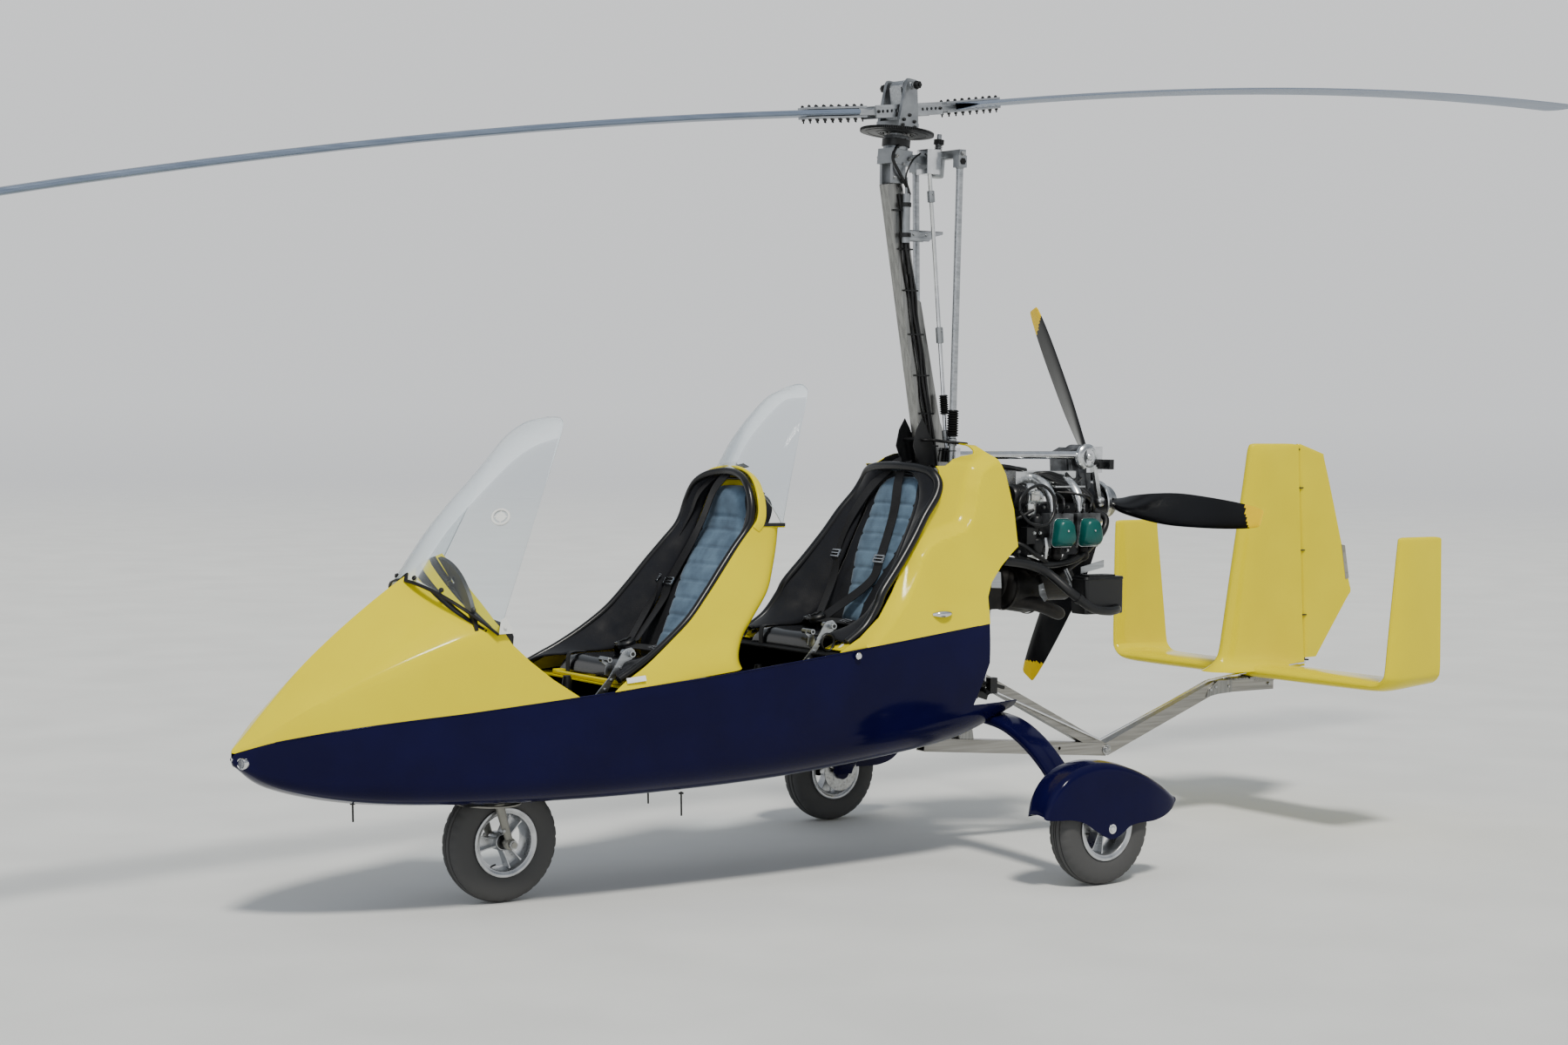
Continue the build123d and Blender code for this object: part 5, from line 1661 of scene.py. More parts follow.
@dataclass
class FrontShell:
    """Yellow shell of the front seat: flanks, back panel, head arch, shoulder shelves and pan."""

    # Height, front x, rear x, half width.
    levels: Outline = (
        (690, 1437, 815, 362), (745, 1360, 842, 341), (800, 1262, 864, 325), (870, 1155, 834, 300),
        (940, 1062, 776, 283), (1025, 981, 710, 268), (1110, 906, 677, 252), (1180, 846, 657, 241),
        (1246, 786, 647, 236),
    )
    # Middle line of the head arch, port half.
    arch: Outline = (
        (772, 234, 1236), (754, 236, 1262), (742, 228, 1300), (734, 204, 1352), (726, 160, 1402),
        (718, 96, 1430), (712, 0, 1440),
    )
    shelf: Outline = ((648, 168), (648, 234), (786, 234), (770, 196), (740, 176))
    wall: float = 5

    def build(self) -> None:
        """Makes the flanks, the arch, the pan's lip and the fittings on the shoulder."""
        self.make_flanks()
        self.make_arch()
        self.make_pan()
        self.make_clamp()

    def make_flanks(self) -> None:
        """Makes the two flanks joined round the back, standing on the sill."""
        loops = []
        for z, front, rear, half in blend_rows(self.levels, 9):
            side = [(front + (rear + 70 - front) * i / 16, half, z) for i in range(16)]
            bend = arc((rear + 70, half, z), (rear + 20.5, half - 20.5, z), (rear, half - 70, z), 9)
            across = [(rear, (half - 70) * (1 - i / 6), z) for i in range(7)]
            loops.append(both_sides([*side, *[tuple(p) for p in bend], *across]))
        form = Form()
        form.skin(loops, closed=False)
        form.cut(below_sill(-0.6))
        nodes = ["front_seat_shell"]
        form.settle("front_seat_flanks", YELLOW, YELLOW, wall=self.wall, edge=1.8, stands_for=nodes)

    def make_arch(self) -> None:
        """Makes the arch round the head, the shell behind the head pad, and the shoulder shelves."""
        form = Form()
        form.sweep(bar_outline(12, 34, 5), both_sides(self.arch), 7, (1, 0, 0.55))
        rows = []
        for x, y, z in blend_rows(self.arch, 7):
            if z > 1240:
                shares = [1 - 0.2 * i for i in range(11)]
                deep = 40 * min(1, y / 90)
                rows.append([(x - 8 - deep * math.cos(0.5 * math.pi * t), y * t, z) for t in shares])
        shell = Form()
        shell.skin(rows, closed=False)
        for side in (1, -1):
            corners = [(x, side * y) for x, y in self.shelf]
            form.plate(corners, Matrix.Translation((0, 0, 1241)), 0, 5)
        back = shell.settle("front_head_shell", YELLOW, YELLOW, wall=4, edge=1.0)
        arch = form.settle("front_head_arch", YELLOW, edge=1.5, crease=50)
        back.parent = arch

    def make_pan(self) -> None:
        """Makes the pan under the base cushion, with its raised lip."""
        form = Form()
        rear, front, top = FRONT_SEAT.sizes[4:]
        low = top - 84
        plan = [(front + 30, 318), (rear - 120, 300), (rear - 120, -300), (front + 30, -318)]
        form.plate(plan, Matrix.Translation((0, 0, low)), 0, 5)
        path = [(front + dx, y, low + 14) for dx, y in ((-160, 214), (-14, 212), (10, 190), (16, 0))]
        form.sweep(bar_outline(11, 15, 5), both_sides(path), 6)
        form.settle("front_seat_pan_lip", YELLOW, edge=1.0)

    def make_clamp(self) -> None:
        """Makes the black strips with a bolt on the shoulders, and the plain plates on the foot."""
        form = Form()
        strip = [(x + 712, y + 221) for x, y in bar_outline(136, 36, 16, 6)]
        form.plate(strip, Matrix.Translation((0, 0, 1246.5)), 0, 10)
        form.bolt((726, 224, 1256), (0, 0, 1), 10)
        form.mirror()
        form.settle("shoulder_strips", PLASTIC, edge=2.5)
        plate = Form()
        spot = axes((1312, 345, 758), (0.05, 1, 0.3), (-1, 0, 0.08))
        plate.plate([(-36, -9), (36, -9), (36, 9), (-36, 9)], spot, 0, 1.2)
        plate.plate([(-20, -4), (14, -4), (14, 4), (-20, 4)], spot, 1.2, 1.8)
        plate.mirror()
        plate.settle("foot_plates", WHITE_PLASTIC, edge=0.3)


@dataclass
class Cockpit:
    """What is inside the tub: pedals, sticks, floor, panel and the small parts beside the seats."""

    # Outer and inner edge of the ledge beside the rear seat.
    ledge_out: Outline = ((478, 336, 812), (452, 331, 822), (424, 326, 836), (398, 321, 850), (376, 318, 864))
    ledge_in: Outline = ((474, 236, 812), (450, 230, 820), (422, 226, 832), (396, 224, 845), (374, 222, 856))

    def build(self) -> None:
        """Dresses the carried-over nodes and adds the controls."""
        for node in ("floor", "wheel_well", "firewall", "rear_seat_pan"):
            paint(node, LINER)
        paint("instrument_panel", PLASTIC)
        self.make_sticks()
        self.make_pedals()
        self.make_tank()
        self.make_panel()
        self.make_ledge()
        self.make_ledge_parts()

    def make_sticks(self) -> None:
        """Makes the control stick in each cockpit, with its grip."""
        form = Form()
        for x in (1420, 640):
            form.tube([(x, 0, 436), (x - 4, 0, 540), (x - 20, 0, 620), (x - 34, 0, 660)], 11, 14, 6)
            grip = [(x - 30, 0, 640), (x - 40, 0, 680), (x - 44, 0, 722), (x - 43, 0, 742)]
            form.tube(grip, (15, 19, 17, 13), 16, 5)
            boot = ((0, 0), (34, 0), (30, 12), (14, 26), (12, 30), (0, 30))
            form.lathe(boot, axes((x, 0, 434), (0, 0, 1)), 28)
        form.settle("control_sticks", BLACK_STEEL)

    def make_pedals(self) -> None:
        """Makes the rudder pedals on tubes ahead of each seat."""
        form = Form()
        for side in (1, -1):
            for x in (1800, 980):
                form.tube([(x, side * 70, 446), (x - 4, side * 70, 560), (x + 8, side * 96, 640)], 8, 12, 4)
                form.block((x + 2, side * 96, 640), (12, 92, 60))
        form.settle("rudder_pedals", PLATE_ALLOY, edge=1.5)

    def make_tank(self) -> None:
        """Makes the grey reservoir beside the front panel, with its hose."""
        tank = Form()
        place = axes((1745, 240, 640), (0, 0, 1))
        profile = (
            (0, 0), (34, 0), (38, 6), (38, 40), (36, 43), (36, 48), (38, 51), (38, 120), (30, 136), (18, 140),
            (18, 160), (0, 162),
        )
        tank.lathe(profile, place, 32)
        tank.tube([(1745, 240, 800), (1752, 244, 840), (1776, 248, 862), (1800, 250, 868)], 5, 10, 5)
        tank.settle("reservoir", GREY_STEEL)

    @staticmethod
    def make_panel() -> None:
        """Makes the switch panel at the side, with its knobs and leads."""
        panel = Form()
        outline = [(-60, -120), (50, -130), (66, 60), (50, 96), (-6, 118)]
        panel.plate(outline, axes((1790, 262, 850), (0, 1, 0), (-1, 0, 0)), -3, 3)
        for x, z, r in ((1800, 800, 9), (1786, 842, 12), (1772, 884, 9), (1762, 822, 7)):
            knob = ((0, 0), (r, 0), (0.92 * r, 14), (0.7 * r, 17), (0, 18))
            panel.lathe(knob, axes((x, 265, z), (0, 1, 0)), 24)
        for i in range(4):
            lead = [(1760 - 8 * i, 258, 800 - 12 * i), (1730, 250 - 6 * i, 760)]
            panel.tube([*lead, (1716 + 6 * i, 240, 700), (1720, 230, 610)], 3.5, 8, 5)
        panel.settle("side_switch_panel", PLASTIC, edge=1)

    def make_ledge(self) -> None:
        """Makes the yellow ledge beside the rear seat."""
        form = Form()
        rows = zip(blend_rows(self.ledge_out, 6), blend_rows(self.ledge_in, 6))
        form.skin([[a.lerp(b, t / 6) for t in range(7)] for a, b in rows], closed=False)
        form.mirror()
        form.settle("rear_side_ledges", YELLOW, YELLOW, wall=4, edge=1.0)

    @staticmethod
    def make_ledge_parts() -> None:
        """Makes the small plates, the knobs and the grab handle on the ledge."""
        pale, dark = Form(), Form()
        for x, y, z, long in ((452, 300, 826, 22), (424, 290, 838, 26), (396, 284, 852, 22)):
            spot = axes((x, y, z), (0.55, 0, 0.8), (-0.6, 0, 0.5))
            pale.plate(bar_outline(long, 12), spot, 0, 1.4)
        for x, y, z, r in ((438, 262, 832, 11), (408, 256, 846, 9)):
            dark.lathe(((0, 0), (r, 0), (0.9 * r, 5), (0, 7)), axes((x, y, z), (0.5, 0, 0.86)), 24)
        handle = [(1, 0), (0.7, 0.7), (0, 1), (-0.7, 0.7), (-1, 0), (-0.7, -0.7), (0, -1), (0.7, -0.7)]
        dark.tube([(492 + 26 * a, 276, 838 + 30 * b) for a, b in handle], 5, 10, 4, closed=True)
        for form in (pale, dark):
            form.mirror()
        pale.settle("ledge_plates", WHITE_PLASTIC, edge=0.3)
        dark.settle("ledge_knobs", PLASTIC, edge=0.5)


# Landing gear


def across_spoke(place: Matrix, at: Numbers, wide: float, low: float, high: float) -> list[Vector]:
    """Corners of a rectangular section across a spoke.

    Args:
        place: The spoke's frame: x outward from the hub, z outboard.
        at: Radius of the section, and distance of its middle from the spoke's middle line.
        wide: Width of the section.
        low: Inboard edge.
        high: Outboard edge.

    Returns:
        The four corners.
    """
    corners = ((-wide / 2, low), (wide / 2, low), (wide / 2, high), (-wide / 2, high))
    return [place @ Vector((at[0], at[1] + y, z)) for y, z in corners]


@dataclass
class Wheel:
    """Tyre with cut tread on a cast wheel with three double spokes."""

    name: str
    body: Body
    x: float
    y: float
    side: int
    # Degrees by which the spokes are turned.
    turn: float
    radius: float = 203
    # Tyre, outboard half: radius, distance from the middle.
    tread: Outline = (
        (102, -33), (108, -38), (116, -40), (120, -42.5), (134, -48), (150, -50), (166, -49.5), (178, -47),
        (187, -43), (194, -37), (198, -30), (199, -24), (195.5, -23), (195.5, -20), (201, -19), (202.6, -7),
        (198, -6), (198, -3), (203, -2),
    )
    lip: Outline = (
        (101.7, 38), (114, 41), (116.5, 43), (116, 46.5), (112, 47.5), (106, 46.5), (103, 44), (97, 42.5),
        (95, 39), (92, 30), (88.5, 20), (87, 0),
    )
    # Spoke rib: radius, distance from the spoke's middle line, width, outboard edge.
    rib: Outline = ((24, 13, 7, 24), (42, 15, 5, 25), (62, 18, 4.5, 27), (80, 22, 5, 29), (92, 26, 9, 30))
    # Web between a spoke's ribs: radius, width.
    web: Outline = ((26, 26), (60, 34), (90, 48))

    def place(self) -> Matrix:
        """Frame at the hub whose z points outboard."""
        return axes((self.x, self.y, self.radius), (0, self.side, 0), (0, 0, 1)) @ spin(self.turn)

    def build(self) -> None:
        """Makes the tyre, the wheel and its hub."""
        self.make_tyre()
        self.make_rim()
        self.make_caps()

    def make_tyre(self) -> None:
        """Tyre: round shoulders, three grooves round the tread and notched shoulders."""
        rows = [*self.tread, *[(r, -h) for r, h in reversed(self.tread)]]
        place, count = self.place(), 160
        loops = []
        for radius, height in [*rows, rows[0]]:
            loop = []
            for i in range(count):
                notch = 3.2 if i % 5 < 1 and 26 < abs(height) < 46 and radius > 184 else 0.0
                turn = 2 * math.pi * (i + 0.35 * (height > 0)) / count
                r = radius - notch
                loop.append(place @ Vector((r * math.cos(turn), r * math.sin(turn), height)))
            loops.append(loop)
        form = Form()
        form.skin(loops, caps=False)
        nodes = [f"{self.name}_tyre"]
        form.settle(f"{self.name}_tyre_tread", RUBBER, body=self.body, stands_for=nodes, crease=30)

    def make_rim(self) -> None:
        """Barrel with stepped flanges, and three pairs of ribs with a set-back web."""
        form, place = Form(), self.place()
        form.lathe([*self.lip, *[(r, -h) for r, h in reversed(self.lip)]], place, 72, ring=True)
        form.lathe(((10.2, -36), (28, -36), (31, -30), (31, 24), (27, 30), (10.2, 30)), place, 40, ring=True)
        for turn in (0, 120, 240):
            spoke = place @ spin(turn)
            for way in (1, -1):
                rows = [((r, way * off), wide, -16, top) for r, off, wide, top in self.rib]
                form.skin([across_spoke(spoke, *row) for row in rows])
            form.skin([across_spoke(spoke, (r, 0), wide, -12, 4) for r, wide in self.web])
        name = f"{self.name}_cast_wheel"
        form.settle(name, WHEEL_ALLOY, body=self.body, edge=1.0, stands_for=[f"{self.name}_rim"])

    def make_caps(self) -> None:
        """Hub caps on both faces, and the valve."""
        cap, place = Form(), self.place()
        cap.lathe(((11, 30), (25, 30), (25, 34), (22, 37), (11, 37)), place, 32, ring=True)
        cap.lathe(((11, -30.2), (24, -36), (24, -39), (11, -39)), place, 32, ring=True)
        valve = place @ spin(60)
        cap.tube([valve @ Vector(point) for point in ((92, 0, 24), (84, 0, 38), (80, 0, 46))], 3, 8, 3)
        cap.settle(f"{self.name}_hub_caps", PLASTIC, body=self.body, edge=0.5)


def spanwise(rows: Sequence[Vector]) -> list[tuple[Vector, Vector]]:
    """Carries the rows of a port half on to starboard.

    Args:
        rows: Rows that start with y and z, from the middle outward.

    Returns:
        Each row of the whole span, with the direction at right angles to the span there.
    """
    full = [*[Vector((-row[0], *row[1:])) for row in reversed(rows[1:])], *rows]
    made = []
    for i, row in enumerate(full):
        before, after = full[max(i - 1, 0)], full[min(i + 1, len(full) - 1)]
        way = Vector((0, after[0] - before[0], after[1] - before[1])).normalized()
        made.append((row, Vector((1, 0, 0)).cross(way)))
    return made


@dataclass
class MainGear:
    """Bow leg, wheel spats, brake discs and axle bolts."""

    axle: tuple[float, float] = (-303, 203)
    track: float = 808
    # Leg centre line: y, z, width along the aircraft, thickness.
    leg: Outline = (
        (0, 523, 132, 34), (140, 523, 132, 34), (250, 520, 128, 34), (350, 502, 122, 34), (450, 458, 116, 34),
        (540, 398, 110, 34), (620, 326, 104, 35), (680, 262, 98, 36), (708, 226, 92, 36), (716, 200, 84, 34),
    )
    # Spat: station x, top, lower edge inboard, lower edge outboard, half width.
    spat: Outline = (
        (-18, 262, 256, 256, 40), (-24, 290, 252, 252, 50), (-44, 334, 252, 251, 60),
        (-76, 374, 252, 250, 66), (-118, 404, 250, 248, 70), (-168, 424, 246, 236, 72),
        (-225, 434, 236, 205, 72), (-262, 435, 231, 182, 72), (-303, 432, 226, 167, 72),
        (-345, 424, 219, 180, 72), (-390, 411, 216, 206, 71), (-440, 393, 214, 214, 70),
        (-500, 366, 215, 215, 67), (-560, 334, 226, 226, 59), (-606, 306, 246, 246, 48),
        (-640, 284, 272, 272, 32),
    )

    def axle_place(self, y: float, side: int) -> Matrix:
        """Frame on an axle at a distance from the middle: z points outboard."""
        x, z = self.axle
        return axes((x, side * y, z), (0, side, 0))

    def build(self) -> None:
        """Makes the leg, both spats with their bolts, and the brakes."""
        self.make_leg()
        self.make_spat(1, "left")
        self.make_spat(-1, "right")
        self.make_bolts()
        self.make_brakes()

    def make_leg(self) -> None:
        """Composite bow in one piece, a flat oval that narrows to the axles."""
        form, loops = Form(), []
        axle_x, axle_z = self.axle
        for (y, z, wide, thick), up in spanwise(blend_rows(self.leg, 6)):
            section = bar_outline(wide, thick, thick * 0.42, 5)
            loops.append([Vector((axle_x + a, y, z)) + b * up for a, b in section])
        form.skin(loops)
        for side in (1, -1):
            form.tube([(axle_x, side * 700, axle_z), (axle_x, side * 879, axle_z)], 10, 18, 1)
            form.lathe(((10, 0), (30, 0), (30, 12), (10, 14)), self.axle_place(712, side), 28, ring=True)
        form.settle("gear_leg_bow", NAVY, stands_for=["gear_leg"], crease=50)

    @staticmethod
    def spat_section(top: float, inner: float, outer: float, half: float) -> Points:
        """Section of a spat, from its outboard lower edge over the crown to the inboard one.

        Args:
            top: Height of the shoulders.
            inner: Height of the inboard lower edge.
            outer: Height of the outboard lower edge.
            half: Half width.

        Returns:
            Points across (outboard positive) and up.
        """
        corner = min(30.0, 0.62 * half, 0.8 * (top - max(inner, outer)))

        def edge(low: float) -> Points:
            """Flank, slightly bulged, and rounded shoulder.

            Args:
                low: Height of the lower edge.

            Returns:
                Points from the lower edge to the crown.
            """
            rise, turns = top - corner - low, [math.pi * i / 16 for i in range(1, 9)]
            flank = [(half * (1 + 0.02 * math.sin(math.pi * i / 9)), low + rise * i / 9) for i in range(10)]
            bend = [(1 - math.cos(t), 1 - math.sin(t)) for t in turns]
            return flank + [(half - corner * across, top - corner * up) for across, up in bend]

        crown = [((half - corner) * (1 - i / 8), top + 4 * math.sin(math.pi * i / 16)) for i in range(1, 17)]
        return edge(outer) + crown + [(-y, z) for y, z in reversed(edge(inner)[:-1])]

    def make_spat(self, side: int, name: str) -> None:
        """Makes a teardrop cover, open below the wheel, with a lobe down to the axle bolt outboard.

        Args:
            side: 1 to port, -1 to starboard.
            name: Start of the piece's name.
        """
        form, loops = Form(), []
        for x, *sizes in blend_rows(self.spat, 6):
            loops.append([(x, side * (self.track + y), z) for y, z in self.spat_section(*sizes)])
        form.skin(loops, closed=False)
        nodes = [f"{name}_spat"]
        form.settle(f"{name}_spat_shell", NAVY, LINER, wall=4, edge=0.8, stands_for=nodes, crease=50)

    def make_bolts(self) -> None:
        """Steel washers and bolts where the spats are held at the axle ends."""
        form = Form()
        for side in (1, -1):
            place = self.axle_place(880.5, side)
            form.lathe(((0, 0), (17, 0), (17, 2.2), (0, 2.2)), place, 28)
            form.lathe(((0, 2), (11, 2), (11, 7), (8, 8.2), (6, 5), (0, 5)), place, 24)
        form.settle("spat_bolts", POLISHED, edge=0.6)

    def make_brakes(self) -> None:
        """Brake disc and caliper on the inboard face of each main wheel's leg."""
        form = Form()
        for side in (1, -1):
            place = self.axle_place(728, side)
            form.lathe(((34, 0), (78, 0), (78, 4), (34, 4)), place, 48, ring=True)
            form.block((0, 0, 1), (70, 70, 8), place)
            form.block((62, 22, 0), (40, 46, 34), place @ spin(20))
            form.bolt_in(place, (64, 40, 18), (0, 0, 1), 10)
        form.settle("brake_discs", ZINC, edge=0.6)


@dataclass
class NoseGear:
    """Steered fork of the nose wheel."""

    steer_x: float = 1690
    axle: tuple[float, float] = (1629, 203)
    # Fork tube, port side: x, z, radius.
    tine: Outline = ((1690, 426, 17), (1678, 372, 16.5), (1657, 296, 15), (1637, 232, 13), (1629, 212, 12))
    gap: float = 70

    def build(self) -> None:
        """Makes the fork and its bolts."""
        form, bolts = Form(), Form()
        axle_x, axle_z = self.axle
        form.tube([(self.steer_x, 0, 414), (self.steer_x, 0, 515)], 16, 24, 1)
        form.block((self.steer_x, 0, 422), (60, 166, 16))
        for side in (1, -1):
            path = [(x, side * self.gap, z) for x, z, _ in self.tine]
            form.tube(path, [radius for _, _, radius in self.tine], 20, 6)
            foot = axes((axle_x, side * (self.gap - 10), axle_z), (0, side, 0))
            form.lathe(((10, 0), (19, 0), (20, 4), (20, 18), (16, 24), (10, 24)), foot, 30, ring=True)
            bolts.bolt((axle_x + 30, side * (self.gap + 15), 250), (0.2, side, 0.1), 10)
            nut = axes((axle_x, side * 94, axle_z), (0, side, 0))
            bolts.lathe(((10.2, 0), (16, 0), (16, 7), (10.2, 7)), nut, 6, ring=True)
        form.tube([(axle_x, -104, axle_z), (axle_x, 104, axle_z)], 10, 20, 1)
        nodes = ["nose_fork"]
        form.settle("fork_tubes", GREY_STEEL, body=Body.NOSE_FORK, edge=1.0, stands_for=nodes, crease=45)
        bolts.settle("fork_bolts", ZINC, body=Body.NOSE_FORK, edge=0.4)


# Tail


def foil(lead: float, trail: float, thick: float, rear: float, steps: int = 14) -> Points:
    """Closed streamline section.

    Args:
        lead: Place of the leading edge along the chord.
        trail: Place of the trailing edge.
        thick: Greatest thickness.
        rear: Thickness of the cut trailing edge.
        steps: Points on each face.

    Returns:
        Points along and across the chord, from the leading edge over one face and back.
    """
    half = []
    for i in range(steps + 1):
        t = (i / steps) ** 1.7
        body = 2.97 * math.sqrt(t) - 1.26 * t - 3.52 * t * t + 2.84 * t**3 - 1.03 * t**4
        taper = rear + (thick - rear) * (1 - t) ** 0.8
        half.append((lead - t * (lead - trail), 0.5 * (thick * max(body, 0.0) * (1 - t) + taper * t)))
    return [*half, *[(x, -y) for x, y in reversed(half[1:])]]


@dataclass
class Tail:
    """One-piece tail plane with end fins, the centre fin, and the rudder."""

    # Path of the plane and end fin, port half: y, z, leading x, trailing x, thickness.
    span: Outline = (
        (0, 602, -1790, -2108, 56), (200, 602, -1790, -2108, 55), (400, 602, -1790, -2108, 54),
        (600, 602, -1791, -2108, 52), (690, 603, -1792, -2108, 49), (734, 610, -1793, -2107, 46),
        (761, 632, -1794, -2106, 44), (771, 664, -1795, -2104, 42), (778, 780, -1800, -2095, 42),
        (788, 960, -1809, -2080, 40), (796, 1110, -1817, -2067, 38), (799, 1176, -1821, -2062, 32),
    )
    # Centre fin: height, leading x, hinge x, thickness.
    fin: Outline = (
        (606, -1600, -2172, 190), (616, -1616, -2170, 150), (630, -1634, -2167, 112), (652, -1656, -2164, 86),
        (690, -1674, -2161, 73), (800, -1694, -2152, 70), (1000, -1728, -2140, 68), (1200, -1763, -2127, 66),
        (1400, -1797, -2115, 62), (1496, -1812, -2110, 58), (1524, -1820, -2108, 48),
    )
    # Rudder: height at the hinge, trailing x, drop of the section from hinge to trailing edge.
    rudder: Outline = (
        (640, -2232, 0), (760, -2321, 0), (880, -2411, 0), (911, -2434, 0), (960, -2419, 0), (1200, -2347, 6),
        (1400, -2288, 20), (1490, -2262, 34), (1524, -2254, 42),
    )
    tab: Outline = ((-2372, 1108), (-2392, 1104), (-2420, 966), (-2400, 960))

    @staticmethod
    def hinge_at(z: float) -> float:
        """X of the hinge line at a height."""
        return -2165 + (z - 620) / 898 * 57

    @staticmethod
    def capped(loops: list[list[Vector]], inward: Vector) -> None:
        """Rounds off the end of a run of loops with smaller ones.

        Args:
            loops: The run, which gets the new loops.
            inward: Direction in which the run goes on.
        """
        last = loops[-1]
        middle = sum(last, Vector()) / len(last)
        for scale, out in ((0.9, 5.5), (0.62, 8.5), (0.2, 9.5)):
            shrink = Vector((0.5 + 0.5 * scale, scale, scale))
            loops.append([middle + (p - middle) * shrink + inward * out for p in last])

    def build(self) -> None:
        """Makes the tail, the rudder and the fittings."""
        self.make_planes()
        self.make_fin()
        self.make_rudder()
        self.make_fittings()

    def make_planes(self) -> None:
        """Tail plane that turns up into the two end fins."""
        loops = []
        for (y, z, lead, trail, thick), up in spanwise(blend_rows(self.span, 7)):
            loops.append([Vector((x, y, z)) + up * h for x, h in foil(lead, trail, thick, 9)])
        ends = loops[::-1]
        self.capped(loops, Vector((0, 0.04, 1)))
        self.capped(ends, Vector((0, -0.04, 1)))
        form = Form()
        form.skin([*ends[:-4:-1], *loops])
        form.settle("tail_planes", YELLOW, stands_for=["tail"], crease=50)

    def make_fin(self) -> None:
        """Centre fin, flared where it meets the plane."""
        loops = []
        for z, lead, hinge, thick in blend_rows(self.fin, 6):
            loops.append([Vector((x, y, z)) for x, y in foil(lead, hinge + 22, thick, 38)])
        self.capped(loops, Vector((0, 0, 1)))
        form = Form()
        form.skin(loops)
        form.block((-1900, 0, 574), (130, 62, 9))
        form.settle("centre_fin", YELLOW, crease=50)

    def make_rudder(self) -> None:
        """Rudder with a round nose and a kinked rear edge, its top sloping down to the rear."""
        form, loops = Form(), []
        turns = [math.radians(angle) for angle in range(-90, 91, 18)]
        for z, trail, drop in blend_rows(self.rudder, 4):
            x = self.hinge_at(z)
            nose = [(x + 15 * math.cos(t), 15 * math.sin(t)) for t in turns]
            shares = (0.15, 0.35, 0.6, 0.85, 1.0)
            flank = [(x + (trail - x) * s, 15 * (1 - s) ** 1.1 + 2.2 * s) for s in shares]
            section = [*nose, *flank, *[(a, -b) for a, b in reversed(flank)]]
            loops.append([(a, b, z - drop * max(x - a, 0) / (x - trail)) for a, b in section])
        top = loops[-1]
        for scale, up in ((0.82, 5.0), (0.5, 8.0)):
            loops.append([(a, b * scale, z + up) for a, b, z in top])
        form.skin(loops)
        form.settle("rudder_blade", YELLOW, body=Body.RUDDER, edge=2.0, stands_for=["rudder"], crease=40)

    def make_fittings(self) -> None:
        """Hinge plates and lugs, the bracket under the plane, and the trim tab."""
        paint("rudder_hinges", BLACK_STEEL, 0.6)
        lugs, under, tab = Form(), Form(), Form()
        for z in (820, 1090, 1350):
            lugs.block((self.hinge_at(z) + 12, 0, z), (26, 40, 5))
        lugs.settle("fin_hinge_lugs", BLACK_STEEL, edge=0.6)
        under.block((-1905, 0, 566), (120, 50, 18))
        under.block((-2010, 0, 572), (60, 70, 8))
        under.settle("tail_bracket", BLACK_STEEL, edge=1.0)
        tab.plate(self.tab, side_plane(), -4.5, 4.5)
        for side in (1, -1):
            for x, z in ((-2386, 1080), (-2396, 1034), (-2406, 990)):
                tab.bolt((x, side * 4.5, z), (0, side, 0), 5)
        tab.settle("trim_tab_plate", GREY_STEEL, body=Body.RUDDER, edge=0.5)


# Frame, mast and rotor


def mast_at(z: float) -> float:
    """X of the mast's middle line at a height."""
    return -343.3 + (z - 392) / 2088 * 379.3


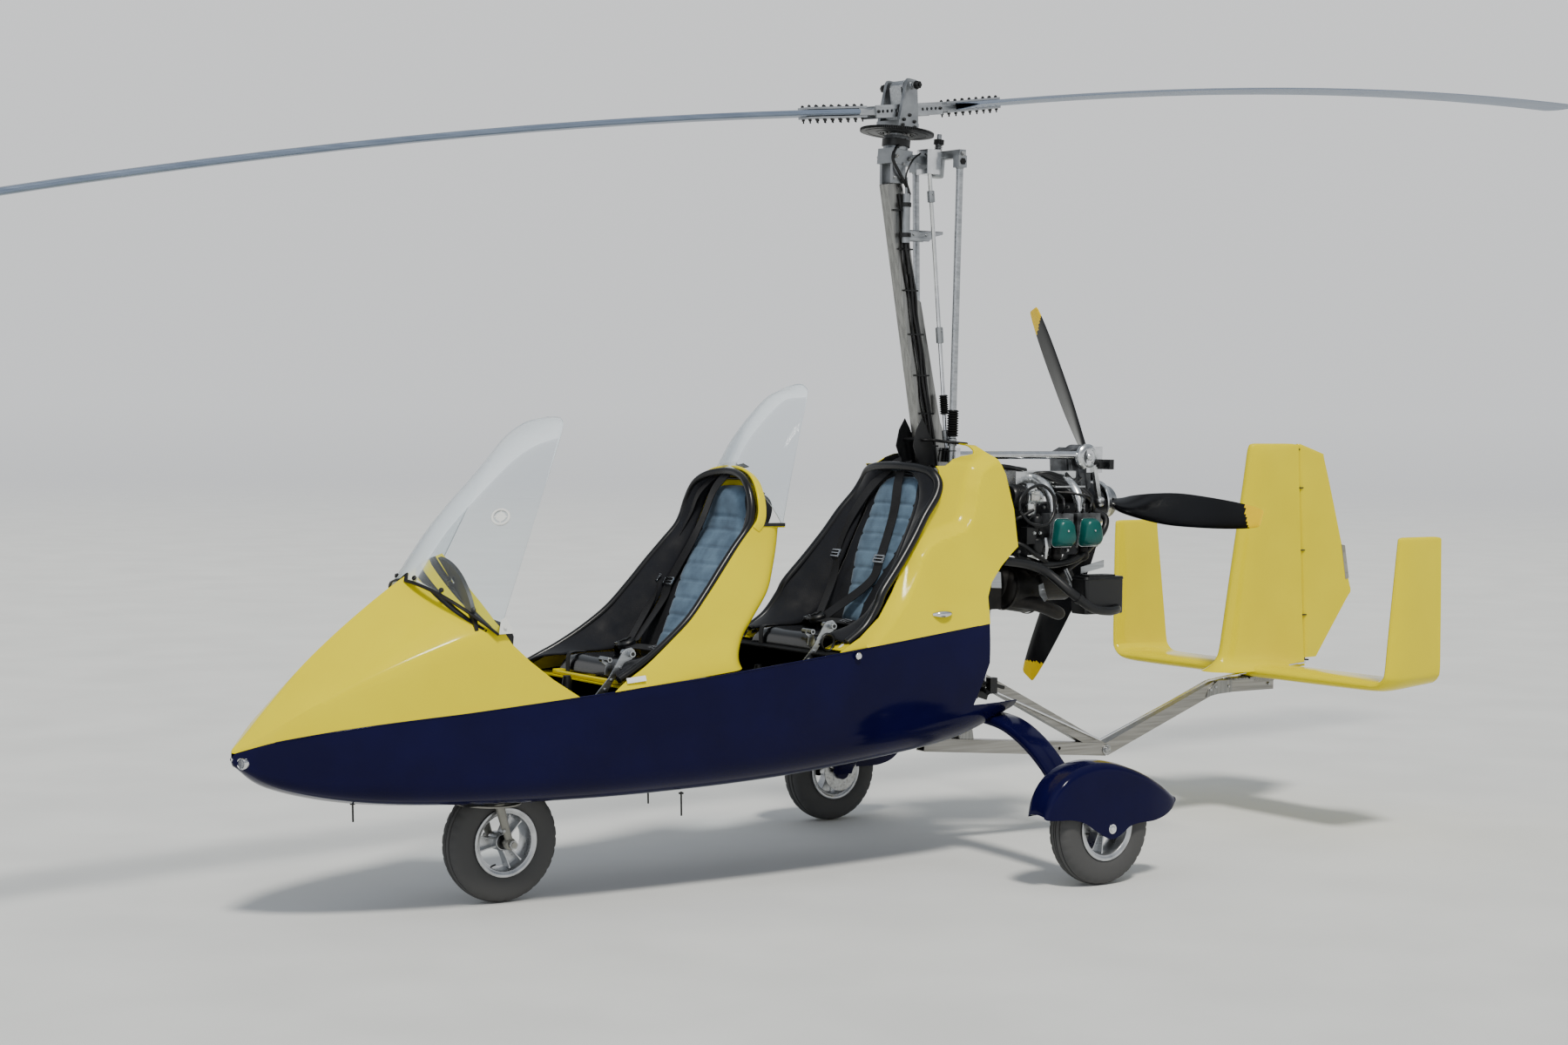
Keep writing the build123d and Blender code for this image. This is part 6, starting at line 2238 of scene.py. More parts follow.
@dataclass
class Keel:
    """Square stainless keel, strut and boom, with their bolts and gussets."""

    node: tuple[float, float] = (-1043, 330)
    gusset: Outline = ((-1575, 506), (-1590, 540), (-1640, 572), (-1720, 572), (-1720, 520), (-1640, 516))
    strut_plate: Outline = ((-430, 560), (-300, 600), (-300, 700), (-360, 690), (-450, 610))
    cable: Outline = (
        (-215, 250, 830), (-250, 190, 800), (-300, 120, 740), (-340, 90, 690), (-366, 84, 652),
        (-372, 84, 640),
    )
    long_rod: Outline = (
        (-420, 30, 610), (-1000, 34, 372), (-1580, 34, 575), (-1700, 34, 590), (-2140, 30, 622),
    )

    def build(self) -> None:
        """Dresses the keel and adds its fittings."""
        paint("keel", KEEL_STEEL, 3.0)
        self.make_plates()
        self.make_strut_fittings()
        self.make_rods()

    def make_plates(self) -> None:
        """Gussets and pads at the boom, and the bolts through the keel."""
        bolts, plates = Form(), Form()
        for side in (1, -1):
            place = axes((self.node[0], side * 25, self.node[1]), (0, side, 0))
            bolts.lathe(((0, 0), (21, 0), (21, 4), (0, 4)), place, 36)
            bolts.lathe(((0, 4), (13, 4), (13, 11), (10, 13), (0, 13)), place, 28)
            for x, z in ((-1628, 546), (-1600, 536), (-1700, 545), (-1930, 545)):
                bolts.bolt((x, side * 25, z), (0, side, 0), 12)
            plates.plate(self.gusset, side_plane(side * 25), 0, -4 * side)
        plates.block((-1900, 0, 574), (170, 74, 7))
        plates.block((-1770, 0, 573), (80, 60, 6))
        bolts.settle("keel_bolts", ZINC, edge=0.5)
        plates.settle("keel_plates", STAINLESS, edge=0.8)

    def make_strut_fittings(self) -> None:
        """Black plates, bolts and pipes where the strut meets the keel."""
        form = Form()
        form.block((-330, 0, 640), (60, 90, 46))
        form.block((-408, 84, 622), (34, 26, 60))
        for side in (1, -1):
            form.plate(self.strut_plate, side_plane(side * 27), -2.5, 2.5)
            for x, z in ((-350, 650), (-410, 600)):
                form.bolt((x, side * 30, z), (0, side, 0), 13, 8)
        form.tube([(-300, 60, 640), (-390, 74, 632), (-470, 80, 610)], 7, 12, 4)
        form.tube([(-380, 96, 596), (-400, 40, 604), (-404, -60, 606)], 9, 12, 4)
        form.settle("strut_fittings", BLACK_STEEL, edge=1.2)

    def make_rods(self) -> None:
        """Steering cable, and the thin rods that run back along the keel."""
        cable, rod = Form(), Form()
        cable.tube(self.cable, 5, 12, 6)
        cable.settle("steering_cable", ZINC)
        rod.tube([(-420, 60, 980), (-372, 88, 640)], 3.4, 8, 1)
        rod.tube(self.long_rod, 4, 8, 0)
        rod.settle("thin_rods", POLISHED)


@dataclass
class Mast:
    """Rectangular mast with its rear leg, rods, hoses, trim cylinder and base plates."""

    rod_top: tuple[float, float, float] = (-181, 132, 2556)
    rod_foot: tuple[float, float, float] = (-186, 100, 1380)
    shaft_top: tuple[float, float, float] = (-97, 60, 2516)
    shaft_foot: tuple[float, float, float] = (-195, 60, 1510)
    # Straight hoses: distance to port, distance ahead of the middle line, radius, top end.
    hoses: Outline = (
        (29, -8, 5.5, 2440), (28, -22, 5, 2420), (29, 8, 3.5, 2300), (-29, -8, 5.5, 2420),
        (-28, -22, 5, 2400),
    )
    bands: Numbers = (2380, 2240, 2090, 1930, 1780, 1640, 1520)
    bracket: Outline = ((-24, 2273), (-24, 2312), (-196, 2312), (-196, 2302), (-150, 2290), (-130, 2273))
    base: Outline = (
        (-74, 1450), (-44, 1520), (-58, 1580), (-84, 1622), (-104, 1590), (-140, 1520), (-146, 1450),
    )

    def build(self) -> None:
        """Dresses the mast and adds what is strapped to it."""
        for node, finish, edge in (
            ("mast", STAINLESS, 5.0), ("mast_rear_leg", STAINLESS, 4.0), ("control_rods", PLATE_ALLOY, 0.0),
            ("trim_cylinder", BLASTED, 0.0), ("prerotator", POLISHED, 2.0),
        ):
            paint(node, finish, edge)
        self.make_hoses()
        self.make_rod_ends()
        self.make_brackets()
        self.make_base_plates()

    def make_hoses(self) -> None:
        """Hoses and cables strapped down the mast."""
        form = Form()
        for y, ahead, radius, top in self.hoses:
            path = []
            for i in range(15):
                z = top - (top - 1440) * i / 14
                out = math.copysign(3, y) if i % 3 else 0
                path.append((mast_at(z) + ahead + 3 * math.sin(i * 1.7 + y), y + out, z))
            form.tube(path, radius, 10, 4)
        for z in self.bands:
            form.block((mast_at(z) - 6, 0, z), (62, 72, 6))
        loop = [(-30, 30, 2440), (0, 46, 2470), (40, 52, 2520), (62, 46, 2566), (40, 44, 2610), (0, 40, 2616)]
        form.tube(loop, 6, 10, 6)
        lead = [(-26, 32, 2400), (-10, 56, 2440), (10, 58, 2500), (-20, 56, 2560), (-60, 52, 2590)]
        form.tube(lead, 3.5, 8, 6)
        form.tube([(10, -34, 2430), (-50, -70, 2500), (-70, -60, 2560)], 6, 10, 5)
        form.settle("mast_hoses", HOSE, edge=0.6)

    @staticmethod
    def bellows(
        form: Form, place: Matrix, radius: float, swell: float, pitch: float, count: int, sides: int = 24,
    ) -> None:
        """Adds a rubber bellows.

        Args:
            form: The form that gets it.
            place: Frame at its foot, z along it.
            radius: Radius between the folds.
            swell: How far a fold stands out.
            pitch: Length of a fold.
            count: Number of folds.
            sides: Corners of its round section.
        """
        folds = []
        for i in range(count):
            folds += [(radius, i * pitch), (radius + swell, (i + 0.5) * pitch)]
        end = count * pitch
        form.lathe([(0, 0), *folds, (radius, end), (0, end)], place, sides)

    def make_rod_ends(self) -> None:
        """Bellows and ball ends at both ends of the control rods and of the drive shaft."""
        rubber, steel = Form(), Form()
        for side in (1, -1):
            mirror = Vector((1, side, 1))
            top, foot = Vector(self.rod_top) * mirror, Vector(self.rod_foot) * mirror
            way = (top - foot).normalized()
            self.bellows(rubber, axes(foot + way * 176, way), 16, 7, 9, 11)
            steel.lathe(((13, 0), (17, 0), (17, 26), (13, 30)), axes(foot + way * 142, way), 24, ring=True)
            ball = ((0, -14), (10, -14), (15, -4), (15, 8), (9, 14), (0, 15))
            steel.lathe(ball, axes(top - way * 14, way), 24)
            steel.block(top + Vector((0, 0, 6)), (38, 34, 44))
            bore = axes(top + Vector((0, side * 17, 6)), (0, side, 0))
            rubber.lathe(((0, 0), (13, 0), (13, 3), (0, 3)), bore, 6)
            sleeve = ((0, -62), (9, -62), (13, -50), (13, -26), (9, -18), (0, -18))
            rubber.lathe(sleeve, axes(top, way), 20)
        shaft_top = Vector(self.shaft_top)
        way = (Vector(self.shaft_foot) - shaft_top).normalized()
        for at, long in ((60, 44), (560, 60), (940, 44)):
            collar = ((8, 0), (14, 2), (14, long - 2), (8, long))
            steel.lathe(collar, axes(shaft_top + way * at, way), 20, ring=True)
            steel.bolt(shaft_top + way * (at + 14) + Vector((0, 13, 0)), (0, 1, 0), 7)
        self.bellows(rubber, axes(shaft_top + way * 810, way), 12, 6, 8, 9, 22)
        rubber.settle("rod_bellows", SEAL, crease=60)
        steel.settle("rod_ends", BLASTED, edge=0.6)

    def make_brackets(self) -> None:
        """Pale channel bracket, trim cylinder straps and the polished drive tube."""
        pale, strap, tube = Form(), Form(), Form()
        for y in (-19, 16):
            pale.plate(self.bracket, side_plane(y), -3, 0)
        pale.block((-110, 0, 2311), (172, 38, 3))
        for x in (-60, -120):
            pale.bolt((x, 20, 2296), (0, 1, 0), 9)
        pale.settle("shaft_bracket", PLATE_ALLOY, edge=0.7)
        for z in (2290, 2400):
            band = ((15.2, -8), (19, -8), (19, 8), (15.2, 8))
            strap.lathe(band, axes((-4, 44, z), (0, 0, 1)), 28, ring=True)
            strap.bolt((-4, 64, z), (0, 1, 0), 8)
        strap.tube([(-4, 44, 2262), (-4, 46, 2240), (-14, 44, 2200), (-26, 36, 2150)], 4.5, 10, 4)
        strap.settle("trim_cylinder_straps", BLACK_STEEL, edge=0.6)
        tube.tube([(-246, 60, 1487), (-872, 60, 1487)], 15.2, 28, 1)
        tube.settle("drive_tube", POLISHED)

    def make_base_plates(self) -> None:
        """Black pointed plates either side of the mast where it leaves the cowl."""
        form = Form()
        for y in (52, -52):
            form.plate(self.base, side_plane(y), -2, 2)
        form.settle("mast_base_plates", PLASTIC, edge=0.8)


LEAN, HEADING = math.radians(5), math.radians(5.45)
BOLT_DROP = 90.0


def hub_place() -> Matrix:
    """Frame at the teeter bolt: z along the spin axis, x to the forward blade."""
    axis = Vector((-math.sin(LEAN), 0, math.cos(LEAN)))
    return axes((-5, 0, 2832), axis, (math.cos(HEADING), math.sin(HEADING), 0))


def rotor_place() -> Matrix:
    """Frame at the teeter bolt that follows the rotor at rest, nose blade low."""
    return hub_place() @ Matrix.Rotation(math.radians(7.2) + LEAN * math.cos(HEADING), 4, "Y")


def gear_outline(teeth: int, root: float, tip: float, shares: Numbers) -> Points:
    """Outline of a toothed wheel.

    Args:
        teeth: Number of teeth.
        root: Radius between the teeth.
        tip: Radius at their tips.
        shares: Where a tooth starts, is up, ends its tip and is down, as shares of its pitch.

    Returns:
        The corners.
    """
    points = []
    for i in range(teeth):
        for share, radius in zip(shares, (root, tip, tip, root)):
            turn = 2 * math.pi * (i + share) / teeth
            points.append((radius * math.cos(turn), radius * math.sin(turn)))
    return points


@dataclass
class RotorHead:
    """Bearing housing, gimbal, cross arm, toothed ring and pinion on the mast."""

    ring_drop: float = 168
    ring_radius: float = 136
    ring_inner: float = 62
    teeth: int = 108

    def build(self) -> None:
        """Dresses the head and adds bolts, the toothed ring and the pinion drive."""
        paint("rotor_head", BLASTED, 2.5)
        self.make_ring()
        self.make_pinion()
        self.make_bolts()
        self.make_cap()

    def make_bolts(self) -> None:
        """Bolts of the bearing housing, the gimbal and the cross arm."""
        form, place = Form(), hub_place()
        for side in (1, -1):
            for x in (-34, 34):
                form.bolt_in(place, (x, side * 46, -262), (0, side, 0), 13, 5)
            for x, z in ((10, 2496), (46, 2496), (10, 2548), (46, 2548)):
                form.bolt((x, side * 39.5, z), (0, side, 0), 11, 4)
            form.bolt((-181, side * 150, 2590), (0, side, 0), 14)
        form.settle("head_bolts", ZINC, edge=0.4)

    def make_cap(self) -> None:
        """Black cap of the bearing, with a circle of small bolts."""
        form, place = Form(), hub_place()
        rim = ((46.5, -14), (52, -12), (52, 12), (46.5, 14))
        form.lathe(rim, place @ Matrix.Translation((0, 0, -208)), 48, ring=True)
        for x, y in circle(49, 8):
            form.bolt_in(place, (x, y, -197), (0, 0, 1), 6)
        form.settle("bearing_cap", BLACK_STEEL, edge=0.5)

    def make_ring(self) -> None:
        """Ring gear: a solid disc with cut teeth, two raised rings and a bolted boss."""
        form = Form()
        place = hub_place() @ Matrix.Translation((0, 0, -self.ring_drop))
        outline = gear_outline(self.teeth, self.ring_radius - 5, self.ring_radius, (0.0, 0.28, 0.58, 0.86))
        inner = [tuple(Vector(point).normalized() * self.ring_inner) for point in outline]
        rows = []
        for points, z in ((outline, -5), (outline, 5), (inner, 5), (inner, -5), (outline, -5)):
            rows.append([place @ Vector((x, y, z)) for x, y in points])
        form.skin(rows, caps=False)
        form.lathe(((24.5, -5), (58, -5), (60, 0), (58, 5), (24.5, 5)), place, 48, ring=True)
        for radius in (74, 112):
            lip = ((radius - 4, -6.4), (radius + 4, -6.4), (radius + 4, 6.4), (radius - 4, 6.4))
            form.lathe(lip, place, 64, ring=True)
        for x, y in circle(50, 8):
            for way in (1, -1):
                form.bolt_in(place, (x, y, 5 * way), (0, 0, way), 7)
        form.settle("toothed_ring", BLACK_STEEL, body=Body.ROTOR_HUB, edge=0.5, stands_for=["ring_gear"])

    def make_pinion(self) -> None:
        """Pinion, its sliding shaft and housing, aft of the ring."""
        case, gear = Form(), Form()
        place = axes((-152, 34, 2560), (-math.sin(LEAN), 0, math.cos(LEAN)))
        profile = ((0, -52), (25, -52), (28, -46), (28, 18), (22, 24), (22, 40), (9, 42), (9, 108), (0, 108))
        case.lathe(profile, place, 32)
        case.tube([(-97, 60, 2516), (-120, 50, 2540), (-148, 38, 2548)], 12, 14, 4)
        case.settle("pinion_housing", BLASTED, edge=0.8)
        gear.plate(gear_outline(16, 15, 19, (0.0, 0.25, 0.55, 0.85)), place, 70, 88)
        gear.spring(place @ Vector((0, 0, 42)), place @ Vector((0, 0, 70)), 13, 1.6, 5)
        gear.settle("pinion", BLACK_STEEL, edge=0.4)


@dataclass
class RotorHub:
    """Teetering hub: cheeks, bar, blade clamps and their bolts."""

    cheek_bolts: Outline = ((-26, -128), (26, -128), (0, -108), (-30, -148), (30, -148))
    clamp_bolts: Numbers = (216, 252, 288, 326, 362, 398, 434, 466)
    # Rise of the clamps for each millimetre outward, and half the height of a clamp.
    cone: float = 0.0231
    clamp_half: float = 20.4

    def build(self) -> None:
        """Dresses the hub and adds bolts."""
        for node, finish, edge in (
            ("hub_tower", BLASTED, 2.0), ("hub_bar", PLATE_ALLOY, 1.5), ("blade_clamps", PLATE_ALLOY, 1.2),
            ("rotor_blades", BLADE, 0.0),
        ):
            paint(node, finish, edge)
        hub, place = Form(), hub_place()
        for side in (1, -1):
            hub.bolt_in(place, (0, side * 84, 0), (0, side, 0), 26, 8)
            for x, z in self.cheek_bolts:
                hub.bolt_in(place, (x, side * 60, z), (0, side, 0), 11)
        hub.settle("teeter_bolt_nuts", BLACK_STEEL, body=Body.ROTOR_HUB, edge=0.4)
        bar, place = Form(), rotor_place()
        for end in (1, -1):
            for x in self.clamp_bolts:
                z = 2 - BOLT_DROP + self.cone * x
                for y in (-18, 18):
                    bar.bolt_in(place, (end * x, y, z + self.clamp_half), (0, 0, 1), 11, 3)
                    bar.bolt_in(place, (end * x, y, z - self.clamp_half), (0, 0, -1), 11, 9)
            for side in (1, -1):
                bar.bolt_in(place, (end * 154, side * 39, 4 - BOLT_DROP), (0, side, 0), 10)
        bar.settle("clamp_bolts", BLACK_STEEL, body=Body.ROTOR, edge=0.3)


# Engine and propeller


@dataclass
class Engine:
    """Four-cylinder engine hung behind the mast, with its hoses, carburettors and silencer."""

    heads: Numbers = (-611, -744)
    cover_height: float = 1200
    # Valve cover: distance from the middle, width, height, corner radius.
    cover: Outline = (
        (235, 98, 104, 16), (240, 99, 105, 18), (252, 96, 101, 22), (264, 90, 94, 24), (272, 81, 86, 25),
        (276, 66, 72, 25),
    )
    # Air filter box: middle, and height, length, width and corner radius of its levels.
    box_at: tuple[float, float, float] = (-738, 296, 968)
    box: Outline = (
        (-70, 182, 82, 12), (-66, 190, 90, 15), (58, 190, 90, 15), (61, 196, 96, 17), (70, 190, 90, 15),
    )
    box_hose: Outline = (
        (-318, 250, 1103), (-420, 264, 1088), (-500, 286, 1056), (-562, 350, 984), (-642, 370, 928),
        (-720, 372, 912), (-780, 356, 914), (-800, 332, 918),
    )
    # Hoses on each side, port: radius, sides, and the points of the run.
    hoses: Sequence[tuple[float, int, Outline]] = (
        (13, 16, (
            (-470, 150, 1110), (-560, 205, 1080), (-700, 214, 1098), (-800, 206, 1160), (-862, 190, 1206),
            (-880, 176, 1250), (-846, 150, 1276),
        )),
        (6, 10, (
            (-400, 240, 1282), (-440, 256, 1240), (-510, 262, 1232), (-556, 252, 1278), (-560, 240, 1340),
            (-530, 220, 1376), (-470, 220, 1368), (-410, 232, 1330), (-399, 240, 1284),
        )),
        (4, 8, ((-340, 70, 1330), (-400, 150, 1350), (-460, 178, 1384), (-500, 176, 1362))),
        (7, 10, ((-340, 90, 1240), (-420, 180, 1250), (-500, 200, 1286))),
        (9, 12, ((-350, 120, 1180), (-430, 205, 1160), (-490, 224, 1122), (-560, 210, 1090))),
    )
    # Hoses over the crankcase.
    upper_hoses: Sequence[tuple[float, Outline]] = (
        (9, ((-360, 40, 1440), (-430, 90, 1446), (-520, 80, 1436), (-600, 30, 1430))),
        (7, ((-364, -50, 1420), (-440, -96, 1430), (-540, -60, 1434), (-610, 0, 1430))),
    )
    # Ignition leads: x, distance from the middle, its growth from lead to lead, height, its drop.
    leads: Outline = (
        (-620, 60, 14, 1414, 0), (-680, 88, 16, 1418, 12), (-790, 92, 14, 1384, 12), (-880, 80, 8, 1336, 12),
        (-905, 60, 6, 1296, 12),
    )
    housing: Outline = (
        (-800, 1496), (-846, 1516), (-902, 1498), (-926, 1430), (-930, 1300), (-880, 1276), (-838, 1330),
        (-806, 1400),
    )
    arm: Outline = ((-884, 1446), (-900, 1452), (-912, 1400), (-930, 1312), (-914, 1304), (-898, 1380))
    # Plates under the engine: distance from the middle, half thickness, outline.
    plates: Sequence[tuple[float, float, Outline]] = (
        (240, 3, ((-262, 1074), (-312, 1060), (-316, 1002), (-268, 1004))),
        (196, 2, ((-534, 1003), (-556, 1010), (-579, 950), (-566, 940), (-540, 966))),
        (196, 2, ((-742, 1040), (-858, 1062), (-858, 1090), (-830, 1084), (-742, 1066))),
    )
    # Exhaust end: x, y, z, radius.
    pipe: Outline = (
        (-500, 60, 940, 28), (-588, 96, 928, 28), (-660, 102, 906, 27), (-712, 102, 886, 26),
        (-734, 101, 880, 18), (-740, 101, 878, 8),
    )

    def build(self) -> None:
        """Dresses the engine's nodes and adds its plumbing."""
        for node, finish, edge in (
            ("engine_case", ENGINE_DARK, 4.0), ("cylinders", ENGINE_CAST, 0.8), ("intake", INTAKE_ALLOY, 3.0),
            ("exhaust", EXHAUST, 2.0), ("engine_mount", BLACK_STEEL, 1.5),
        ):
            paint(node, finish, edge)
        self.make_air_box()
        self.make_covers()
        self.make_cover_lines()
        self.make_carburettors()
        self.make_hoses()
        self.make_housing()
        self.make_fittings()
        self.make_bracket()
        self.make_struts()
        self.make_silencer()
        self.make_bolts()

    @staticmethod
    def cover_outline(wide: float, tall: float, corner: float) -> Points:
        """Round-cornered outline of a valve cover, narrower towards its top.

        Args:
            wide: Width at the foot.
            tall: Height.
            corner: Radius of the corners.

        Returns:
            Points along the engine and up, from the cover's middle.
        """
        points = []
        for along, up in bar_outline(wide, tall, corner, 6):
            share = min(max((up / tall + 0.2) / 0.7, 0.0), 1.0)
            points.append((along * (1 - 0.27 * share), up))
        return points

    def make_covers(self) -> None:
        """Valve covers: round-cornered boxes that taper outboard and upward."""
        form = Form()
        for side in (1, -1):
            for x in self.heads:
                rows = []
                for y, *sizes in self.cover:
                    outline = self.cover_outline(*sizes)
                    rows.append([(x + a, side * y, self.cover_height + b) for a, b in outline])
                form.skin(rows)
        form.settle("rocker_covers", TEAL, stands_for=["valve_covers"], crease=55)

    def make_cover_lines(self) -> None:
        """Pale gasket edge of each cover, the line near its top and its small bolt."""
        form, z = Form(), self.cover_height
        outline = self.cover_outline(103, 108, 18)
        for side in (1, -1):
            for x in self.heads:
                form.skin([[(x + a, side * y, z + b) for a, b in outline] for y in (233.5, 236.5)])
                form.bolt((x + 4, side * 275, z + 8), (0, side, 0), 8)
                form.tube([(x - 22, side * 270.5, z + 30), (x + 24, side * 270.5, z + 30)], 1.8, 8, 1)
        form.settle("cover_gaskets", INTAKE_ALLOY, edge=0.6)

    def make_air_box(self) -> None:
        """Black round-cornered box below the heads, with a moulded lid line, and its one thick hose."""
        form = Form()
        x, y, z = self.box_at
        rows = []
        for up, *sizes in self.box:
            rows.append([(x + a, y + b, z + up) for a, b in bar_outline(*sizes, 6)])
        form.skin(rows)
        form.block((x, y, z + 72), (130, 54, 8))
        form.tube(self.box_hose, 17, 20, 7)
        clip = axes((-590, 361, 961), (-0.8, 0.16, -0.58))
        form.lathe(((17, -8), (20, -8), (20, 8), (17, 8)), clip, 28, ring=True)
        form.settle("air_filter_box", PLASTIC, edge=1.5, stands_for=["air_box"], crease=45)

    def make_carburettors(self) -> None:
        """Two carburettors with their bowls, air filters, springs and cables."""
        alloy, black = Form(), Form()
        body = (
            (20, -46), (24, -46), (24, -40), (30, -38), (30, -10), (25, -8), (25, 24), (31, 26), (31, 40),
            (20, 40),
        )
        bowl = ((0, -40), (23, -40), (26, -34), (26, 4), (20, 10), (20, 32), (0, 32))
        dome = ((0, 0), (27, 0), (29, 5), (25, 22), (14, 30), (0, 31))
        filter_can = ((0, 40), (41, 40), (44, 46), (44, 98), (38, 106), (0, 107))
        pump = ((0, 0), (19, 0), (22, 5), (22, 36), (17, 44), (0, 46))
        oil_can = ((0, 0), (25, 0), (28, 6), (28, 58), (20, 66), (0, 68))
        for side in (1, -1):
            x, y, z = -505, side * 175, 1330
            place = axes((x, y, z), (1, 0, 0.06), (0, 1, 0))
            alloy.lathe(body, place, 32, ring=True)
            alloy.lathe(bowl, axes((x + 4, y, z - 26), (0, 0, 1)), 28)
            alloy.lathe(dome, axes((x + 4, y, z + 24), (0, 0, 1)), 32)
            black.lathe(filter_can, place, 40)
            for ring in range(50, 98, 8):
                rib = ((43, ring), (46.5, ring + 1.5), (46.5, ring + 4), (43, ring + 5.5))
                black.lathe(rib, place, 40, ring=True)
            alloy.block((x + 2, y + side * 30, z + 8), (40, 8, 34))
            alloy.spring((x - 20, y + side * 36, z + 10), (x + 30, y + side * 36, z + 22), 4.5, 0.8, 9)
            black.lathe(pump, axes((x, side * 214, 1218), (0, 0, 1)), 28)
            black.lathe(oil_can, axes((-520, side * 190, 1118), (0, side * 0.2, 1)), 30)
            black.block((-480, side * 196, 1190), (46, 40, 62))
            strut = [(-548, side * 216, 1180), (-547, side * 222, 1146), (-548, side * 214, 1104)]
            alloy.tube(strut, 9, 16, 4)
            for bolt_x in (-492, -520):
                alloy.bolt((bolt_x, side * 216, 1200), (0, side, 0), 10)
        alloy.settle("carburettors", INTAKE_ALLOY, edge=0.6)
        black.settle("air_filters", HOSE, edge=0.8, crease=50)

    def make_hoses(self) -> None:
        """Coolant hoses, fuel lines, ignition leads and throttle cables."""
        form = Form()
        for side in (1, -1):
            for radius, sides, path in self.hoses:
                form.tube([(x, side * y, z) for x, y, z in path], radius, sides, 6)
            for i in range(4):
                path = [(x, side * (y + grow * i), z - drop * i) for x, y, grow, z, drop in self.leads]
                form.tube(path, 6.5 if i % 2 else 8, 10, 6)
            for x in self.heads:
                front = [(x + 16, 214, 1268), (x + 22, 226, 1300), (x + 4, 190, 1340), (-600, 90, 1352)]
                rear = [(x - 20, 212, 1268), (x - 12, 232, 1296), (x - 26, 196, 1336), (-640, 80, 1360)]
                for path in (front, rear):
                    form.tube([(a, side * b, c) for a, b, c in path], 4.5, 10, 6)
        for radius, path in self.upper_hoses:
            form.tube(path, radius, 12, 6)
        form.settle("engine_hoses", HOSE)

    def make_housing(self) -> None:
        """Cast housing and pulley can at the end of the drive tube."""
        form, place = Form(), side_plane()
        form.plate(self.housing, place, -34, 60)
        inset = [(0.9 * (x + 866) - 866, 0.9 * (z - 1400) + 1400) for x, z in self.housing]
        form.plate(inset, place, -44, 70)
        for x1, z1, x2, z2 in ((-816, 1470, -850, 1320), (-846, 1500, -884, 1300), (-880, 1490, -912, 1320)):
            form.tube([(x1, 42, z1), (x2, 46, z2)], 5, 8, 1)
        form.lathe(((0, -60), (44, -60), (47, -54), (47, 40), (42, 46), (0, 48)), self.can_place(), 48)
        form.settle("drive_housing", ENGINE_CAST, edge=1.5)

    @staticmethod
    def can_place() -> Matrix:
        """Frame at the pulley can's middle: z to port."""
        return axes((-872, 40, 1480), (0, 1, 0))

    def make_fittings(self) -> None:
        """Pale rim and bolts of the pulley can, the arm with its cap, and the plate ahead."""
        form, can = Form(), self.can_place()
        rim = ((47, 22), (50, 24), (50, 40), (46, 44), (40, 49), (30, 50), (30, 48), (40, 46))
        form.lathe(rim, can, 48, ring=True)
        form.lathe(((0, 46), (14, 46), (14, 54), (10, 58), (0, 58)), can, 28)
        for x, y in circle(34, 6):
            form.bolt_in(can, (x, y, 48), (0, 0, 1), 7)
        form.plate(self.arm, side_plane(92), -8, 8)
        cap = ((0, 0), (17, 0), (19, 3), (19, 12), (15, 18), (0, 20))
        form.lathe(cap, axes((-918, 96, 1308), (-0.25, 1, 0.1)), 32)
        sheet = [(-650, 40), (-650, 150), (-800, 150), (-800, 40)]
        form.plate(sheet, Matrix.Translation((0, 0, 1366)), 0, 6)
        form.settle("drive_fittings", INTAKE_ALLOY, edge=0.8)

    def make_bracket(self) -> None:
        """Black bracket behind the pulley can, and the pipe beside it."""
        form = Form()
        form.block((-926, 100, 1452), (40, 24, 20))
        form.block((-948, 112, 1452), (22, 44, 38))
        form.block((-912, 76, 1452), (14, 40, 18))
        form.tube([(-850, 66, 1398), (-800, 100, 1384), (-770, 110, 1392), (-740, 104, 1420)], 6, 10, 5)
        form.settle("rear_bracket", BLACK_STEEL, edge=1.0)

    def make_struts(self) -> None:
        """Pale plates and struts under the engine."""
        form = Form()
        for side in (1, -1):
            for y, half, outline in self.plates:
                form.plate(outline, side_plane(side * y), -half, half)
            form.tube([(-659, side * 200, 1062), (-682, side * 200, 1022), (-710, side * 200, 978)], 9, 14, 3)
            form.bolt((-556, side * 198, 984), (0, side, 0), 10)
        form.settle("engine_struts", PLATE_ALLOY, edge=0.8)

    def make_silencer(self) -> None:
        """Rounded silencer with its bands, the round-ended pipe and the dark blocks behind the cowl."""
        form = Form()
        way = (1, 0, 0.15)
        shape = ((0, -88), (50, -86), (74, -70), (80, -50), (80, 50), (74, 70), (50, 86), (0, 88))
        form.lathe(shape, axes((-566, 30, 972), way), 48)
        for x in (-506, -626):
            band = axes((x, 30, 972 + way[2] * (x + 566)), way)
            form.lathe(((80, -6), (83, -6), (83, 6), (80, 6)), band, 48, ring=True)
        form.tube([point[:3] for point in self.pipe], [point[3] for point in self.pipe], 24, 5)
        form.block((-420, 0, 1060), (60, 120, 40))
        form.block((-380, 0, 960), (110, 200, 100))
        form.settle("silencer", EXHAUST, edge=2.0, crease=45)

